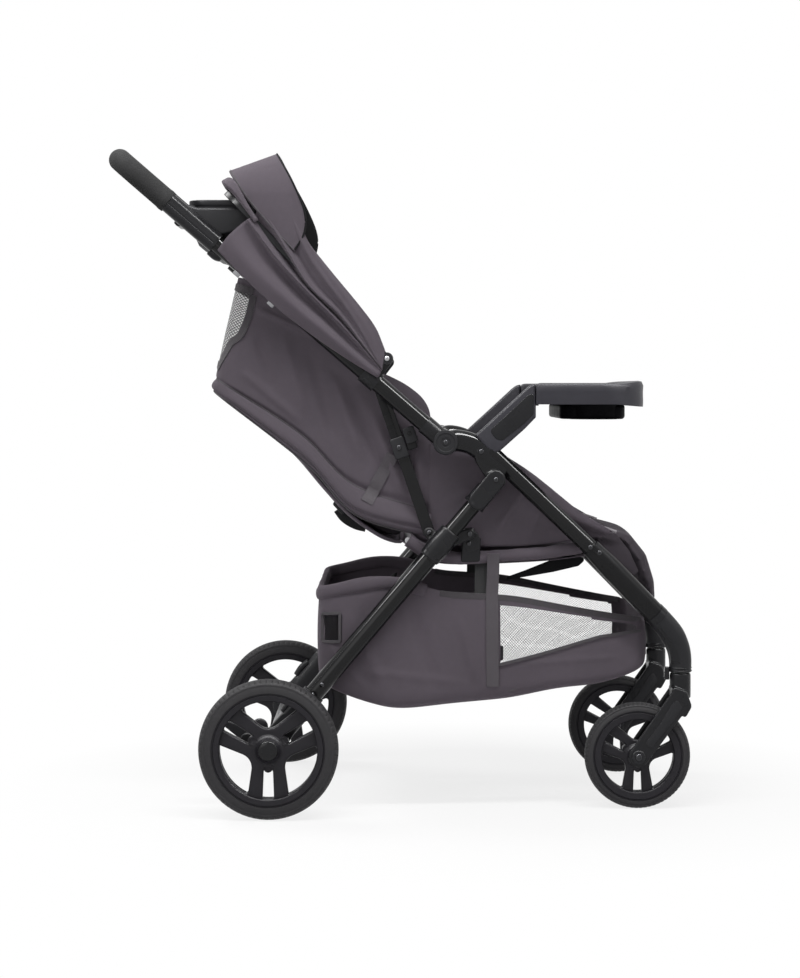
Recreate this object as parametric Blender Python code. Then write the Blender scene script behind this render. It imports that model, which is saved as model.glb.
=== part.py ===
# Folding stroller with a reclining seat, a folding canopy and a storage basket.
# Metres. +X is the travelling direction, +Y the child's left side, +Z up.
# The origin is on the ground below the middle of the stroller.
# Positive angles about +Y turn a part clockwise when it is seen from its right side.

import math

import bmesh
import bpy
from mathutils import Matrix, Vector

# Clearances between touching pieces
GAP = 0.0003
RUNNING_GAP = 0.0005

# Frame tubes
TUBE_RADIUS = 0.0135
TUBE_WALL = 0.0018
TUBE_SIDES = 12
FRAME_HALF_WIDTH = 0.236
LEG_RADIUS = 0.015
LEG_HALF_WIDTH = 0.243
LOWER_LEG_RADIUS = 0.0165

# Pivots of the frame, as X and Z at the right and left side alike
HANDLE_PIVOT = (0.0723, 0.5905)
REAR_LEG_PIVOT = (0.1513, 0.5317)
SEAT_PIVOT = (0.3013, 0.4243)
LINK_LOWER = (0.0463, 0.4462)
LINK_UPPER = (-0.0404, 0.7019)
SEAT_BRACKET_PIVOT = (0.1109, 0.4445)
RECLINE_PIVOT = (0.0128, 0.4327)
CANOPY_PIVOT = (-0.0206, 0.7231)
PIVOT_PIN_RADIUS = 0.0045
COVER_THICKNESS = 0.008

# Handle
HANDLE_ANGLE = math.radians(139.1)
HANDLE_REACH = 0.692
HANDLE_CORNER = 0.075
GRIP_START = 0.5816
GRIP_RADIUS = 0.018
SLEEVE_START = 0.481
SLEEVE_RADIUS = 0.0158
KNUCKLE_LENGTH = 0.062
KNUCKLE_RADIUS = 0.016
KNUCKLE_DISC = 0.020

# Parent console
CONSOLE_REAR = -0.338
CONSOLE_FRONT = -0.222
CONSOLE_TOP = 0.9765
CONSOLE_BOTTOM = 0.893
CONSOLE_HALF_WIDTH = 0.2235
CUP_RADIUS = 0.041
CUP_OFFSET = 0.135
CUP_DEPTH = 0.076
PHONE_WELL = (0.086, 0.120, 0.040)
TRIGGER_HALF_WIDTH = 0.040
TRIGGER_HINGE = (-0.3455, 0.951)

# Front legs, as X, distance from the middle, Z
FRONT_LEG_PATH = [
    (0.1420, 0.2360, 0.5759),
    (0.2800, 0.2360, 0.4446),
    (0.3013, 0.2358, 0.4243),
    (0.3380, 0.2250, 0.3870),
    (0.3738, 0.2120, 0.3504),
    (0.4065, 0.1985, 0.3167),
]
HOUSING_PATH = [
    (0.4069, 0.1983, 0.3163),
    (0.4220, 0.1925, 0.3005),
    (0.4380, 0.1860, 0.2800),
    (0.4478, 0.1820, 0.2590),
    (0.4516, 0.1802, 0.2400),
    (0.4518, 0.1800, 0.2193),
]
HOUSING_FOOT_RADIUS = 0.0170
HOUSING_RADII = [0.0178, 0.0186, 0.0190, 0.0186, 0.0178, HOUSING_FOOT_RADIUS]
LOCK_HALF_WIDTH = 0.0075
LOCK_BOTTOM = 0.2070

# Casters and wheels
CASTER_X = 0.4518
FRONT_HALF_TRACK = 0.180
FRONT_WHEEL_RADIUS = 0.085
FRONT_TYRE_WIDTH = 0.032
CASTER_TRAIL = 0.0693
STEM_RADIUS = 0.0170
STEM_TOP = 0.2180
STEM_BOTTOM = 0.1600
KINGPIN_RADIUS = 0.0055
KINGPIN_LENGTH = 0.026
FORK_GAP = 0.0200
FORK_PLATE = 0.0065
WHEEL_PIN_RADIUS = 0.0040
REAR_HALF_TRACK = 0.285
REAR_WHEEL_RADIUS = 0.110
REAR_TYRE_WIDTH = 0.036
REAR_AXLE = (-0.2063, 0.1100)
AXLE_RADIUS = 0.0085
AXLE_END_RADIUS = 0.0060

# Rear legs, collars and links
BRACKET_RADIUS = 0.0178
BRACKET_START = 0.0200
BRACKET_LENGTH = 0.054
LEG_END = 0.108
COLLAR_CENTRE = 0.136
COLLAR_LENGTH = 0.056
COLLAR_RADIUS = 0.0188
EAR_RADIUS = 0.0085
LINK_WIDTH = 0.0095
LINK_INNER = 0.2177
LINK_OUTER = 0.2217

# Brake
PEDAL_HINGE = (-0.2440, 0.1180)
PEDAL_LENGTH = 0.046
PEDAL_INNER = 0.150
PEDAL_OUTER = 0.205

# Child tray
TRAY_REAR = 0.2160
TRAY_FRONT = 0.392
TRAY_TOP = 0.6845
TRAY_BOTTOM = 0.6500
TRAY_HALF_WIDTH = 0.2500
TRAY_WELL_DEPTH = 0.052
TRAY_WELL_RADIUS = 0.042
TRAY_WELL_OFFSET = 0.130
ARM_INNER = 0.2230
ARM_OUTER = 0.2490
TONGUE_LENGTH = 0.028

# Seat
RAIL_RADIUS = 0.0095
RAIL_HALF_WIDTH = 0.2105
SEAT_PIN_RADIUS = 0.0050
RAIL_REAR_PATH = [(0.2300, 0.4125), (0.0950, 0.4035), (0.0400, 0.4130)]
SEAT_HALF_WIDTH = 0.2010
SEAT_REAR = 0.050
SEAT_FRONT = 0.318
SEAT_BOTTOM = 0.4000
SEAT_THICKNESS = 0.056
BACK_ANGLE = math.radians(140.4)
BACK_LENGTH = 0.385
BACK_HALF_WIDTH = 0.186
BACK_THICKNESS = 0.040
BOARD_HALF_WIDTH = 0.180
BOARD_THICKNESS = 0.0030
SIDE_PANEL = 0.2055
CLOTH = 0.0030
SURROUND_FOLD = 0.004

# Canopy, hoops as angle from the pivot and reach
BOW_WIDTH = 0.010
BOW_THICKNESS = 0.0030
SIDE_REAR_ANGLE = math.radians(147.0)
MID_BOW_ANGLE = math.radians(134.0)
FRONT_BOW_ANGLE = math.radians(127.5)
VISOR_EDGE_ANGLE = math.radians(118.8)
SIDE_REAR_REACH = 0.320
MID_BOW_REACH = 0.370
FRONT_BOW_REACH = 0.373
MID_BOW_OFFSET = 0.2530
FRONT_BOW_OFFSET = 0.2565
CANOPY_HALF_WIDTH = 0.2615
MID_CORNER = 0.050
FRONT_CORNER = 0.090
VISOR_REACH = 0.372
VISOR_ROWS = [(0.0, 0.034), (0.45, 0.050), (0.58, 0.075), (0.66, 0.190), (0.82, 0.235), (1.0, 0.262)]
CANOPY_CLOTH = 0.0030
CANOPY_TIP = 0.028
FOLD_DEPTH = 0.010

# Basket, as X, half width, floor height, rim height
BASKET_SECTIONS = [
    (-0.1290, 0.196, 0.2500, 0.3520),
    (-0.1240, 0.214, 0.2120, 0.3560),
    (-0.1104, 0.2240, 0.1930, 0.3600),
    (-0.0300, 0.2281, 0.1683, 0.3830),
    (0.0180, 0.2281, 0.1700, 0.3900),
    (0.0560, 0.2260, 0.1750, 0.3520),
    (0.1812, 0.2160, 0.1840, 0.3450),
    (0.2696, 0.2060, 0.2010, 0.3270),
    (0.3353, 0.1940, 0.2040, 0.3150),
    (0.3830, 0.1780, 0.2200, 0.3070),
    (0.3950, 0.1600, 0.2500, 0.3050),
]
BASKET_CLOTH = 0.0035
BASKET_CORNER = 0.030


def material(name, colour, roughness, metallic=0.0):
    """A Principled material with the part's own colour and finish."""
    made = bpy.data.materials.new(name)
    made.use_nodes = True
    shader = made.node_tree.nodes["Principled BSDF"]
    shader.inputs["Base Color"].default_value = (*colour, 1.0)
    shader.inputs["Roughness"].default_value = roughness
    shader.inputs["Metallic"].default_value = metallic
    return made


def make_materials():
    """The finishes of the frame, the mouldings and the soft goods."""
    return {
        "frame": material("frame_paint", (0.012, 0.012, 0.013), 0.28, 0.6),
        "plastic": material("black_plastic", (0.030, 0.030, 0.033), 0.45),
        "rim": material("rim_plastic", (0.035, 0.034, 0.038), 0.50),
        "tyre": material("tyre_foam", (0.030, 0.029, 0.031), 0.75),
        "foam": material("grip_foam", (0.018, 0.018, 0.018), 0.90),
        "fabric": material("grey_fabric", (0.100, 0.086, 0.100), 0.92),
        "lining": material("black_lining", (0.010, 0.010, 0.011), 0.95),
        "mesh": material("mesh_fabric", (0.060, 0.055, 0.062), 0.95),
        "steel": material("axle_steel", (0.350, 0.350, 0.360), 0.35, 1.0),
    }


def clear_scene():
    """Start from an empty scene."""
    for thing in list(bpy.data.objects):
        bpy.data.objects.remove(thing, do_unlink=True)


def object_from(bm, name, finish, smooth=True):
    """Turn a bmesh into a linked object whose faces point outwards."""
    bmesh.ops.recalc_face_normals(bm, faces=bm.faces)
    mesh = bpy.data.meshes.new(name)
    bm.to_mesh(mesh)
    bm.free()
    if smooth:
        mesh.shade_smooth()
        mesh.set_sharp_from_angle(angle=math.radians(35))
    made = bpy.data.objects.new(name, mesh)
    bpy.context.scene.collection.objects.link(made)
    if finish is not None:
        mesh.materials.append(finish)
    return made


def loft(name, rings, finish, endless=False, smooth=True):
    """Join rings of equal count into one closed skin, with flat ends or as an endless loop."""
    bm = bmesh.new()
    grid = [[bm.verts.new(point) for point in ring] for ring in rings]
    count = len(rings[0])
    spans = len(grid) if endless else len(grid) - 1
    for i in range(spans):
        low = grid[i]
        high = grid[(i + 1) % len(grid)]
        for j in range(count):
            k = (j + 1) % count
            bm.faces.new((low[j], low[k], high[k], high[j]))
    if not endless:
        bm.faces.new(list(reversed(grid[0])))
        bm.faces.new(grid[-1])
    return object_from(bm, name, finish, smooth)


def prism(name, outline, inner, outer, side, finish, smooth=False):
    """An X and Z outline given a thickness across the stroller, at one side."""
    low, high = sorted((side * inner, side * outer))
    bm = bmesh.new()
    face = bm.faces.new([bm.verts.new((x, low, z)) for x, z in outline])
    pushed = bmesh.ops.extrude_face_region(bm, geom=[face])
    moved = [v for v in pushed["geom"] if isinstance(v, bmesh.types.BMVert)]
    bmesh.ops.translate(bm, verts=moved, vec=(0.0, high - low, 0.0))
    return object_from(bm, name, finish, smooth)


def slab(name, outline, bottom, top, finish, smooth=False):
    """An X and Y outline given a height."""
    bm = bmesh.new()
    face = bm.faces.new([bm.verts.new((x, y, bottom)) for x, y in outline])
    pushed = bmesh.ops.extrude_face_region(bm, geom=[face])
    moved = [v for v in pushed["geom"] if isinstance(v, bmesh.types.BMVert)]
    bmesh.ops.translate(bm, verts=moved, vec=(0.0, 0.0, top - bottom))
    return object_from(bm, name, finish, smooth)


def arc(centre, radius, start, end, steps):
    """Points of an arc in degrees, both ends included."""
    points = []
    for i in range(steps + 1):
        a = math.radians(start + (end - start) * i / steps)
        points.append((centre[0] + radius * math.cos(a), centre[1] + radius * math.sin(a)))
    return points


def rounded_rectangle(low, high, radius, steps=3):
    """A rectangle between two corners with equal rounded corners."""
    points = []
    corners = [
        (high[0] - radius, high[1] - radius, 0),
        (low[0] + radius, high[1] - radius, 90),
        (low[0] + radius, low[1] + radius, 180),
        (high[0] - radius, low[1] + radius, 270),
    ]
    for x, y, start in corners:
        points += arc((x, y), radius, start, start + 90, steps)
    return points


def tangents(path):
    """Unit directions along a path, averaged at its inner points."""
    found = []
    for i in range(len(path)):
        before = path[max(i - 1, 0)]
        after = path[min(i + 1, len(path) - 1)]
        found.append((Vector(after) - Vector(before)).normalized())
    return found


def ring_path(path, radius, sides, wide=1.0, up=(0.0, 1.0, 0.0)):
    """Rings of a tube along a path; wide stretches the ring along the up direction."""
    rings = []
    for point, along in zip(path, tangents(path)):
        across = Vector(up) - along * along.dot(Vector(up))
        across.normalize()
        other = along.cross(across)
        size = radius(len(rings)) if callable(radius) else radius
        ring = []
        for j in range(sides):
            a = 2 * math.pi * (j + 0.5) / sides
            ring.append(Vector(point) + across * (size * wide * math.cos(a)) + other * (size * math.sin(a)))
        rings.append(ring)
    return rings


def tube(name, path, radius, finish, sides=TUBE_SIDES, bore=0.0, wide=1.0, up=(0.0, 1.0, 0.0)):
    """A round bar along a path, or an open tube when it has a bore."""
    rings = ring_path(path, radius, sides, wide, up)
    if bore > 0:
        inside = ring_path(path, bore, sides, wide, up)
        return loft(name, rings + inside[::-1], finish, endless=True)
    return loft(name, rings, finish)


def fillet_path(points, radius, steps):
    """A path with its inner corners rounded to one bend radius."""
    path = [Vector(points[0])]
    for i in range(1, len(points) - 1):
        corner = Vector(points[i])
        back = (Vector(points[i - 1]) - corner).normalized()
        ahead = (Vector(points[i + 1]) - corner).normalized()
        half = back.angle(ahead) / 2
        reach = radius / math.tan(half)
        middle = corner + (back + ahead).normalized() * (radius / math.sin(half))
        start = corner + back * reach - middle
        end = corner + ahead * reach - middle
        sweep = start.angle(end)
        for k in range(steps + 1):
            t = k / steps
            turned = start * (math.sin((1 - t) * sweep) / math.sin(sweep))
            turned += end * (math.sin(t * sweep) / math.sin(sweep))
            path.append(middle + turned)
    path.append(Vector(points[-1]))
    return path


def turned(name, profile, centre, steps, finish):
    """A profile of radius and Y turned about an axle that runs across the stroller."""
    rings = []
    for i in range(steps):
        a = 2 * math.pi * i / steps
        ring = [(centre[0] + r * math.cos(a), centre[1] + y, centre[2] + r * math.sin(a)) for r, y in profile]
        rings.append(ring)
    return loft(name, rings, finish, endless=True)


def rod(name, start, end, radius, finish, sides=12):
    """A straight round bar between two points."""
    along = (Vector(end) - Vector(start)).normalized()
    up = (0.0, 1.0, 0.0) if abs(along.y) < 0.9 else (1.0, 0.0, 0.0)
    return tube(name, [start, end], radius, finish, sides, up=up)


def boolean(target, tools, operation):
    """Cut or join tools into a target, and keep the tools out of the build."""
    for tool in tools:
        tool.hide_render = True
        tool.display_type = "WIRE"
        step = target.modifiers.new(operation.lower(), "BOOLEAN")
        step.operation = operation
        step.object = tool
        step.solver = "EXACT"
    return target


def side_name(base, side):
    """The name of a piece at the right side, -1, or the left side, 1."""
    return base + ("_right" if side < 0 else "_left")


def along_handle(reach, rise=0.0):
    """X and Z of a point on the handle, by its distance from the pivot and its rise above it."""
    c, s = math.cos(HANDLE_ANGLE), math.sin(HANDLE_ANGLE)
    return (HANDLE_PIVOT[0] + reach * c + rise * s, HANDLE_PIVOT[1] + reach * s - rise * c)


def leg_direction():
    """Unit X and Z direction down the rear leg."""
    x = REAR_AXLE[0] - REAR_LEG_PIVOT[0]
    z = REAR_AXLE[1] - REAR_LEG_PIVOT[1]
    size = math.hypot(x, z)
    return (x / size, z / size)


def along_leg(reach, lift=0.0):
    """X and Z of a point on the rear leg, by its distance from the pivot and its offset to the rear."""
    u = leg_direction()
    return (REAR_LEG_PIVOT[0] + u[0] * reach + u[1] * lift, REAR_LEG_PIVOT[1] + u[1] * reach - u[0] * lift)


def at_side(point, y):
    """A point in X and Z set at a distance across."""
    return (point[0], y, point[1])


def handle_tube(paint):
    """One bent tube: two sides from the knuckles and the cross piece under the grip."""
    y = FRAME_HALF_WIDTH
    start = along_handle(0.0225)
    end = along_handle(HANDLE_REACH)
    corners = [at_side(start, -y), at_side(end, -y), at_side(end, y), at_side(start, y)]
    path = fillet_path(corners, HANDLE_CORNER, 5)
    rings = handle_rings(path, TUBE_RADIUS)
    inside = handle_rings(path, TUBE_RADIUS - TUBE_WALL)
    return loft("handle_tube", rings + inside[::-1], paint, endless=True)


def handle_rings(path, radius, sides=TUBE_SIDES):
    """Rings of the handle, which all share the direction square to its plane."""
    c, s = math.cos(HANDLE_ANGLE), math.sin(HANDLE_ANGLE)
    return ring_path(path, radius, sides, up=(s, 0.0, -c))


def handle_grip(foam):
    """A foam sleeve over the top of the handle tube."""
    y = FRAME_HALF_WIDTH
    start = along_handle(GRIP_START + GAP)
    end = along_handle(HANDLE_REACH)
    corners = [at_side(start, -y), at_side(end, -y), at_side(end, y), at_side(start, y)]
    path = fillet_path(corners, HANDLE_CORNER, 5)
    rings = handle_rings(path, GRIP_RADIUS)
    inside = handle_rings(path, TUBE_RADIUS + GAP)
    return loft("handle_grip", rings + inside[::-1], foam, endless=True)


def stadium(start, end, first, second, steps=6):
    """An outline round two circles of X and Z."""
    lean = math.degrees(math.atan2(end[1] - start[1], end[0] - start[0]))
    return arc(end, second, lean - 90, lean + 90, steps) + arc(start, first, lean + 90, lean + 270, steps)


def handle_knuckle(side, plastic):
    """The fitting at the foot of a handle side: socket, round cover and pivot pin."""
    y = side * FRAME_HALF_WIDTH
    path = [at_side(along_handle(0.0210), y), at_side(along_handle(KNUCKLE_LENGTH), y)]
    socket = tube(side_name("handle_knuckle", side), path, KNUCKLE_RADIUS, plastic, 16)
    inner = FRAME_HALF_WIDTH + TUBE_RADIUS + 0.0010
    cover = prism("knuckle_cover", stadium(HANDLE_PIVOT, along_handle(0.046), KNUCKLE_DISC, 0.0125),
                  inner, inner + COVER_THICKNESS, side, None)
    pin = rod("knuckle_pin", at_side(HANDLE_PIVOT, side * (inner + 0.002)),
              at_side(HANDLE_PIVOT, side * (FRAME_HALF_WIDTH - 0.0140)), PIVOT_PIN_RADIUS, None)
    bore = tube("knuckle_bore", [at_side(along_handle(0.0220), y), at_side(along_handle(0.080), y)],
                TUBE_RADIUS + GAP, None, TUBE_SIDES, up=handle_up())
    boolean(socket, [cover, pin], "UNION")
    return boolean(socket, [bore], "DIFFERENCE")


def handle_up():
    """The direction square to the handle's plane."""
    return (math.sin(HANDLE_ANGLE), 0.0, -math.cos(HANDLE_ANGLE))


def parent_console(plastic):
    """The tray between the handle sides: two cup wells, a phone well, two sleeves, trigger lugs."""
    low = (CONSOLE_REAR, -CONSOLE_HALF_WIDTH)
    high = (CONSOLE_FRONT, CONSOLE_HALF_WIDTH)
    body = slab("parent_console", rounded_rectangle(low, high, 0.022), CONSOLE_BOTTOM, CONSOLE_TOP, plastic)
    shrink = body.modifiers.new("edge", "BEVEL")
    shrink.width = 0.006
    shrink.segments = 1
    joined = []
    for side in (-1, 1):
        ends = [at_side(along_handle(r), side * FRAME_HALF_WIDTH) for r in (SLEEVE_START, GRIP_START - GAP)]
        joined.append(tube("console_sleeve", ends, SLEEVE_RADIUS, None, 16))
        joined.append(trigger_lug(side))
    boolean(body, joined, "UNION")
    middle = (CONSOLE_REAR + CONSOLE_FRONT) / 2
    wells = []
    for side in (-1, 1):
        wells.append(rod("cup_well", (middle, side * CUP_OFFSET, CONSOLE_TOP - CUP_DEPTH),
                         (middle, side * CUP_OFFSET, CONSOLE_TOP + 0.01), CUP_RADIUS, None, 20))
        ends = [at_side(along_handle(r), side * FRAME_HALF_WIDTH) for r in (SLEEVE_START - 0.05, GRIP_START + 0.05)]
        wells.append(tube("sleeve_bore", ends, TUBE_RADIUS + GAP, None, TUBE_SIDES, up=handle_up()))
    well = rounded_rectangle((middle - PHONE_WELL[0] / 2, -PHONE_WELL[1] / 2),
                             (middle + PHONE_WELL[0] / 2, PHONE_WELL[1] / 2), 0.012)
    wells.append(slab("phone_well", well, CONSOLE_TOP - PHONE_WELL[2], CONSOLE_TOP + 0.01, None))
    wells.append(rod("trigger_hole", at_side(TRIGGER_HINGE, -TRIGGER_HALF_WIDTH - 0.012),
                     at_side(TRIGGER_HINGE, TRIGGER_HALF_WIDTH + 0.012), 0.0028, None, 10))
    return boolean(body, wells, "DIFFERENCE")


def trigger_lug(side):
    """A lug on the console's rear wall that carries one end of the fold trigger."""
    x, z = TRIGGER_HINGE
    outline = [(CONSOLE_REAR + 0.004, z - 0.009), (CONSOLE_REAR + 0.004, z + 0.009)]
    outline += arc((x, z), 0.0065, 90, 270, 5)
    inner = TRIGGER_HALF_WIDTH + RUNNING_GAP
    return prism("trigger_lug", outline, inner, inner + 0.006, side, None)


def fold_trigger(plastic):
    """The squeeze lever that releases the fold, on two short pins."""
    x, z = TRIGGER_HINGE
    outline = arc((x, z), 0.0055, -90, 90, 4) + [(x - 0.030, z + 0.0075), (x - 0.033, z + 0.002), (x - 0.028, z - 0.003)]
    lever = prism("fold_trigger", outline, -TRIGGER_HALF_WIDTH, TRIGGER_HALF_WIDTH, 1, plastic)
    reach = TRIGGER_HALF_WIDTH + 0.0055
    pin = rod("trigger_pin", at_side(TRIGGER_HINGE, -reach), at_side(TRIGGER_HINGE, reach), 0.0025, None, 10)
    return boolean(lever, [pin], "UNION")


def hub_housing(side, plastic):
    """The pod on the front leg that holds the handle pivot, the rear leg pivot and the tray arm."""
    h, r = HANDLE_PIVOT, REAR_LEG_PIVOT
    outline = arc(h, 0.0180, -45, -280, 10)
    outline += [(0.0850, 0.6140), (0.1040, 0.6145), (0.1240, 0.6060), (0.1420, 0.5900), (0.1790, 0.5628)]
    outline += arc(r, 0.0140, 15, -205, 9)
    outline += [(0.1240, 0.5470), (0.0990, 0.5570), (0.0958, 0.5720)]
    inner = FRAME_HALF_WIDTH - TUBE_RADIUS - 0.0015
    outer = FRAME_HALF_WIDTH + TUBE_RADIUS + 0.0005
    body = prism(side_name("hub_housing", side), outline, inner, outer, side, plastic)
    edge = body.modifiers.new("edge", "BEVEL")
    edge.width = 0.003
    edge.segments = 1
    holes = []
    for pivot in (h, r):
        holes.append(rod("pivot_hole", at_side(pivot, side * 0.20), at_side(pivot, side * 0.27),
                         PIVOT_PIN_RADIUS + GAP, None))
    path = [Vector((x, side * y, z)) for x, y, z in FRONT_LEG_PATH[:2]]
    start = path[0] - (path[1] - path[0]).normalized() * RUNNING_GAP
    holes.append(tube("leg_socket", [start, path[1]], TUBE_RADIUS + GAP, None, TUBE_SIDES))
    return boolean(body, holes, "DIFFERENCE")


def front_leg(side, paint):
    """The front leg: a round upper tube that widens into the oval lower leg at its rivet."""
    path = [(x, side * y, z) for x, y, z in FRONT_LEG_PATH]
    sizes = [TUBE_RADIUS] * 3 + [(TUBE_RADIUS + LOWER_LEG_RADIUS) / 2] + [LOWER_LEG_RADIUS] * (len(path) - 4)
    bores = [size - TUBE_WALL for size in sizes]
    rings = ring_path(path, lambda i: sizes[i], TUBE_SIDES)
    inside = ring_path(path, lambda i: bores[i], TUBE_SIDES)
    leg = loft(side_name("front_leg", side), rings + inside[::-1], paint, endless=True)
    hole = rod("seat_pin_hole", at_side(SEAT_PIVOT, side * (RAIL_HALF_WIDTH + RAIL_RADIUS)),
               at_side(SEAT_PIVOT, side * FRAME_HALF_WIDTH), SEAT_PIN_RADIUS + GAP, None, 10)
    return boolean(leg, [hole], "DIFFERENCE")


def caster_housing(side, plastic):
    """The boot that turns the front leg down to the caster, with the kingpin's bore."""
    path = [(x, side * y, z) for x, y, z in HOUSING_PATH]
    body = tube(side_name("caster_housing", side), path, lambda i: HOUSING_RADII[i], plastic, 16)
    foot = (CASTER_X, side * FRONT_HALF_TRACK)
    bore = rod("kingpin_bore", (*foot, STEM_TOP - 0.01), (*foot, STEM_TOP + KINGPIN_LENGTH + 0.002),
               KINGPIN_RADIUS + GAP, None)
    return boolean(body, [bore], "DIFFERENCE")


def swivel_lock(side, plastic):
    """The small slider behind the caster housing that stops the swivel."""
    x = CASTER_X - HOUSING_FOOT_RADIUS
    y = side * FRONT_HALF_TRACK
    low, high = (x - 0.0085, y - LOCK_HALF_WIDTH), (x - 0.0010, y + LOCK_HALF_WIDTH)
    return slab(side_name("swivel_lock", side), rounded_rectangle(low, high, 0.002, 1), LOCK_BOTTOM,
                LOCK_BOTTOM + 0.020, plastic)


def fork_outline():
    """The side of a fork, from the stem down to the wheel's axle."""
    hub = wheel_centre("front")
    return [
        (CASTER_X - 0.0165, 0.1930), (CASTER_X - 0.0120, 0.1975), (CASTER_X + 0.0080, 0.1900),
        (CASTER_X + 0.0165, 0.1660), (CASTER_X + 0.0040, 0.1440),
    ] + arc(hub, 0.0165, -42, -222, 8)


def wheel_centre(place):
    """X and Z of a wheel's axle."""
    if place == "front":
        return (CASTER_X - CASTER_TRAIL, FRONT_WHEEL_RADIUS)
    return REAR_AXLE


def caster_fork(side, plastic):
    """The swivelling fork: kingpin, stem, two arms and the wheel's pin, in one moulding."""
    y = side * FRONT_HALF_TRACK
    hub = wheel_centre("front")
    wide = FORK_GAP + FORK_PLATE
    arms = prism(side_name("caster_fork", side), fork_outline(), FRONT_HALF_TRACK - wide, FRONT_HALF_TRACK + wide,
                 side, plastic)
    slot = rod("wheel_slot", at_side(hub, y - FORK_GAP), at_side(hub, y + FORK_GAP), FRONT_WHEEL_RADIUS + 0.0040,
               None, 32)
    boolean(arms, [slot], "DIFFERENCE")
    stem = rod("fork_stem", (CASTER_X, y, STEM_BOTTOM), (CASTER_X, y, STEM_TOP), STEM_RADIUS, None, 16)
    kingpin = rod("kingpin", (CASTER_X, y, STEM_TOP - 0.004), (CASTER_X, y, STEM_TOP + KINGPIN_LENGTH),
                  KINGPIN_RADIUS, None)
    reach = wide - 0.001
    pin = rod("wheel_pin", at_side(hub, y - reach), at_side(hub, y + reach), WHEEL_PIN_RADIUS, None)
    return boolean(arms, [stem, kingpin, pin], "UNION")


def spoke_windows(centre, depth, rim_inner, slot_start, slot_width, hub_half, rim_half):
    """Cutters that leave three pairs of spokes: a window between pairs and a slot in each pair."""
    cutters = []
    x, y, z = centre
    swing = math.degrees(math.asin(rim_half / rim_inner))
    for pair in (-90, 30, 150):
        window = arc((0, 0), rim_inner, pair + swing, pair + 120 - swing, 5)
        middle = math.radians(pair + 60)
        root = hub_half / math.sin(math.radians(60)) * 1.04
        window.append((root * math.cos(middle), root * math.sin(middle)))
        outline = [(x + a, z + b) for a, b in window]
        cutters.append(prism("wheel_window", outline, y - depth, y + depth, 1, None))
        a = math.radians(pair)
        c, s = math.cos(a), math.sin(a)
        half = slot_width / 2
        slot = [(slot_start, -half), (rim_inner - 0.001, -half), (rim_inner - 0.001, half), (slot_start, half)]
        outline = [(x + u * c - v * s, z + u * s + v * c) for u, v in slot]
        cutters.append(prism("wheel_slot", outline, y - depth, y + depth, 1, None))
    return cutters


def wheel(place, side, finishes):
    """A foam tyre on a one-piece rim with three pairs of spokes."""
    front = place == "front"
    radius = FRONT_WHEEL_RADIUS if front else REAR_WHEEL_RADIUS
    width = FRONT_TYRE_WIDTH if front else REAR_TYRE_WIDTH
    track = FRONT_HALF_TRACK if front else REAR_HALF_TRACK
    steps = 24 if front else 28
    x, z = wheel_centre(place)
    centre = (x, side * track, z)
    seat = radius - (0.0125 if front else 0.0205)
    half = width / 2
    tread = [
        (seat + GAP, -half * 0.86), (seat + 0.35 * (radius - seat), -half), (radius - 0.004, -half * 0.80),
        (radius, -half * 0.42), (radius, half * 0.42), (radius - 0.004, half * 0.80),
        (seat + 0.35 * (radius - seat), half), (seat + GAP, half * 0.86),
    ]
    turned(side_name("tyre_" + place, side), tread, centre, steps, finishes["tyre"])
    bore = (WHEEL_PIN_RADIUS if front else AXLE_END_RADIUS) + GAP
    hub = 0.0155 if front else 0.0215
    ring = seat - (0.0145 if front else 0.0125)
    wall = half * 0.88
    web = 0.0065 if front else 0.0085
    hub_half = 0.0175 if front else 0.0178
    profile = [
        (bore, -hub_half), (hub, -hub_half), (hub + 0.002, -web), (ring, -web), (ring + 0.001, -wall), (seat, -wall),
        (seat, wall), (ring + 0.001, wall), (ring, web), (hub + 0.002, web), (hub, hub_half), (bore, hub_half),
    ]
    rim = turned(side_name("rim_" + place, side), profile, centre, steps, finishes["rim"])
    slot_start = 0.026 if front else 0.034
    slot_width = 0.0115 if front else 0.0140
    spread = (0.0160, 0.0255) if front else (0.0225, 0.0325)
    return boolean(rim, spoke_windows(centre, half, ring, slot_start, slot_width, *spread), "DIFFERENCE")


def rear_leg(side, paint):
    """The straight rear leg between its top bracket and the axle housing."""
    y = side * LEG_HALF_WIDTH
    length = math.dist(REAR_LEG_PIVOT, REAR_AXLE)
    ends = [at_side(along_leg(BRACKET_START + 0.003), y), at_side(along_leg(length - LEG_END + 0.040), y)]
    return tube(side_name("rear_leg", side), ends, LEG_RADIUS, paint, TUBE_SIDES, LEG_RADIUS - TUBE_WALL)


def rear_bracket(side, plastic):
    """The rear leg's top fitting: socket, outer ear and pivot pin."""
    y = side * LEG_HALF_WIDTH
    ends = [at_side(along_leg(BRACKET_START), y), at_side(along_leg(BRACKET_LENGTH), y)]
    socket = tube(side_name("rear_bracket", side), ends, BRACKET_RADIUS, plastic, 16)
    inner = FRAME_HALF_WIDTH + TUBE_RADIUS + 0.0010
    ear = prism("bracket_ear", stadium(REAR_LEG_PIVOT, along_leg(0.044), 0.0160, 0.0160),
                inner, inner + COVER_THICKNESS + 0.002, side, None)
    pin = rod("bracket_pin", at_side(REAR_LEG_PIVOT, side * (inner + 0.002)),
              at_side(REAR_LEG_PIVOT, side * (FRAME_HALF_WIDTH - 0.0140)), PIVOT_PIN_RADIUS, None)
    bore = tube("bracket_bore", [at_side(along_leg(BRACKET_START + 0.002), y), at_side(along_leg(0.08), y)],
                LEG_RADIUS + GAP, None, TUBE_SIDES)
    boolean(socket, [ear, pin], "UNION")
    return boolean(socket, [bore], "DIFFERENCE")


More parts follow.
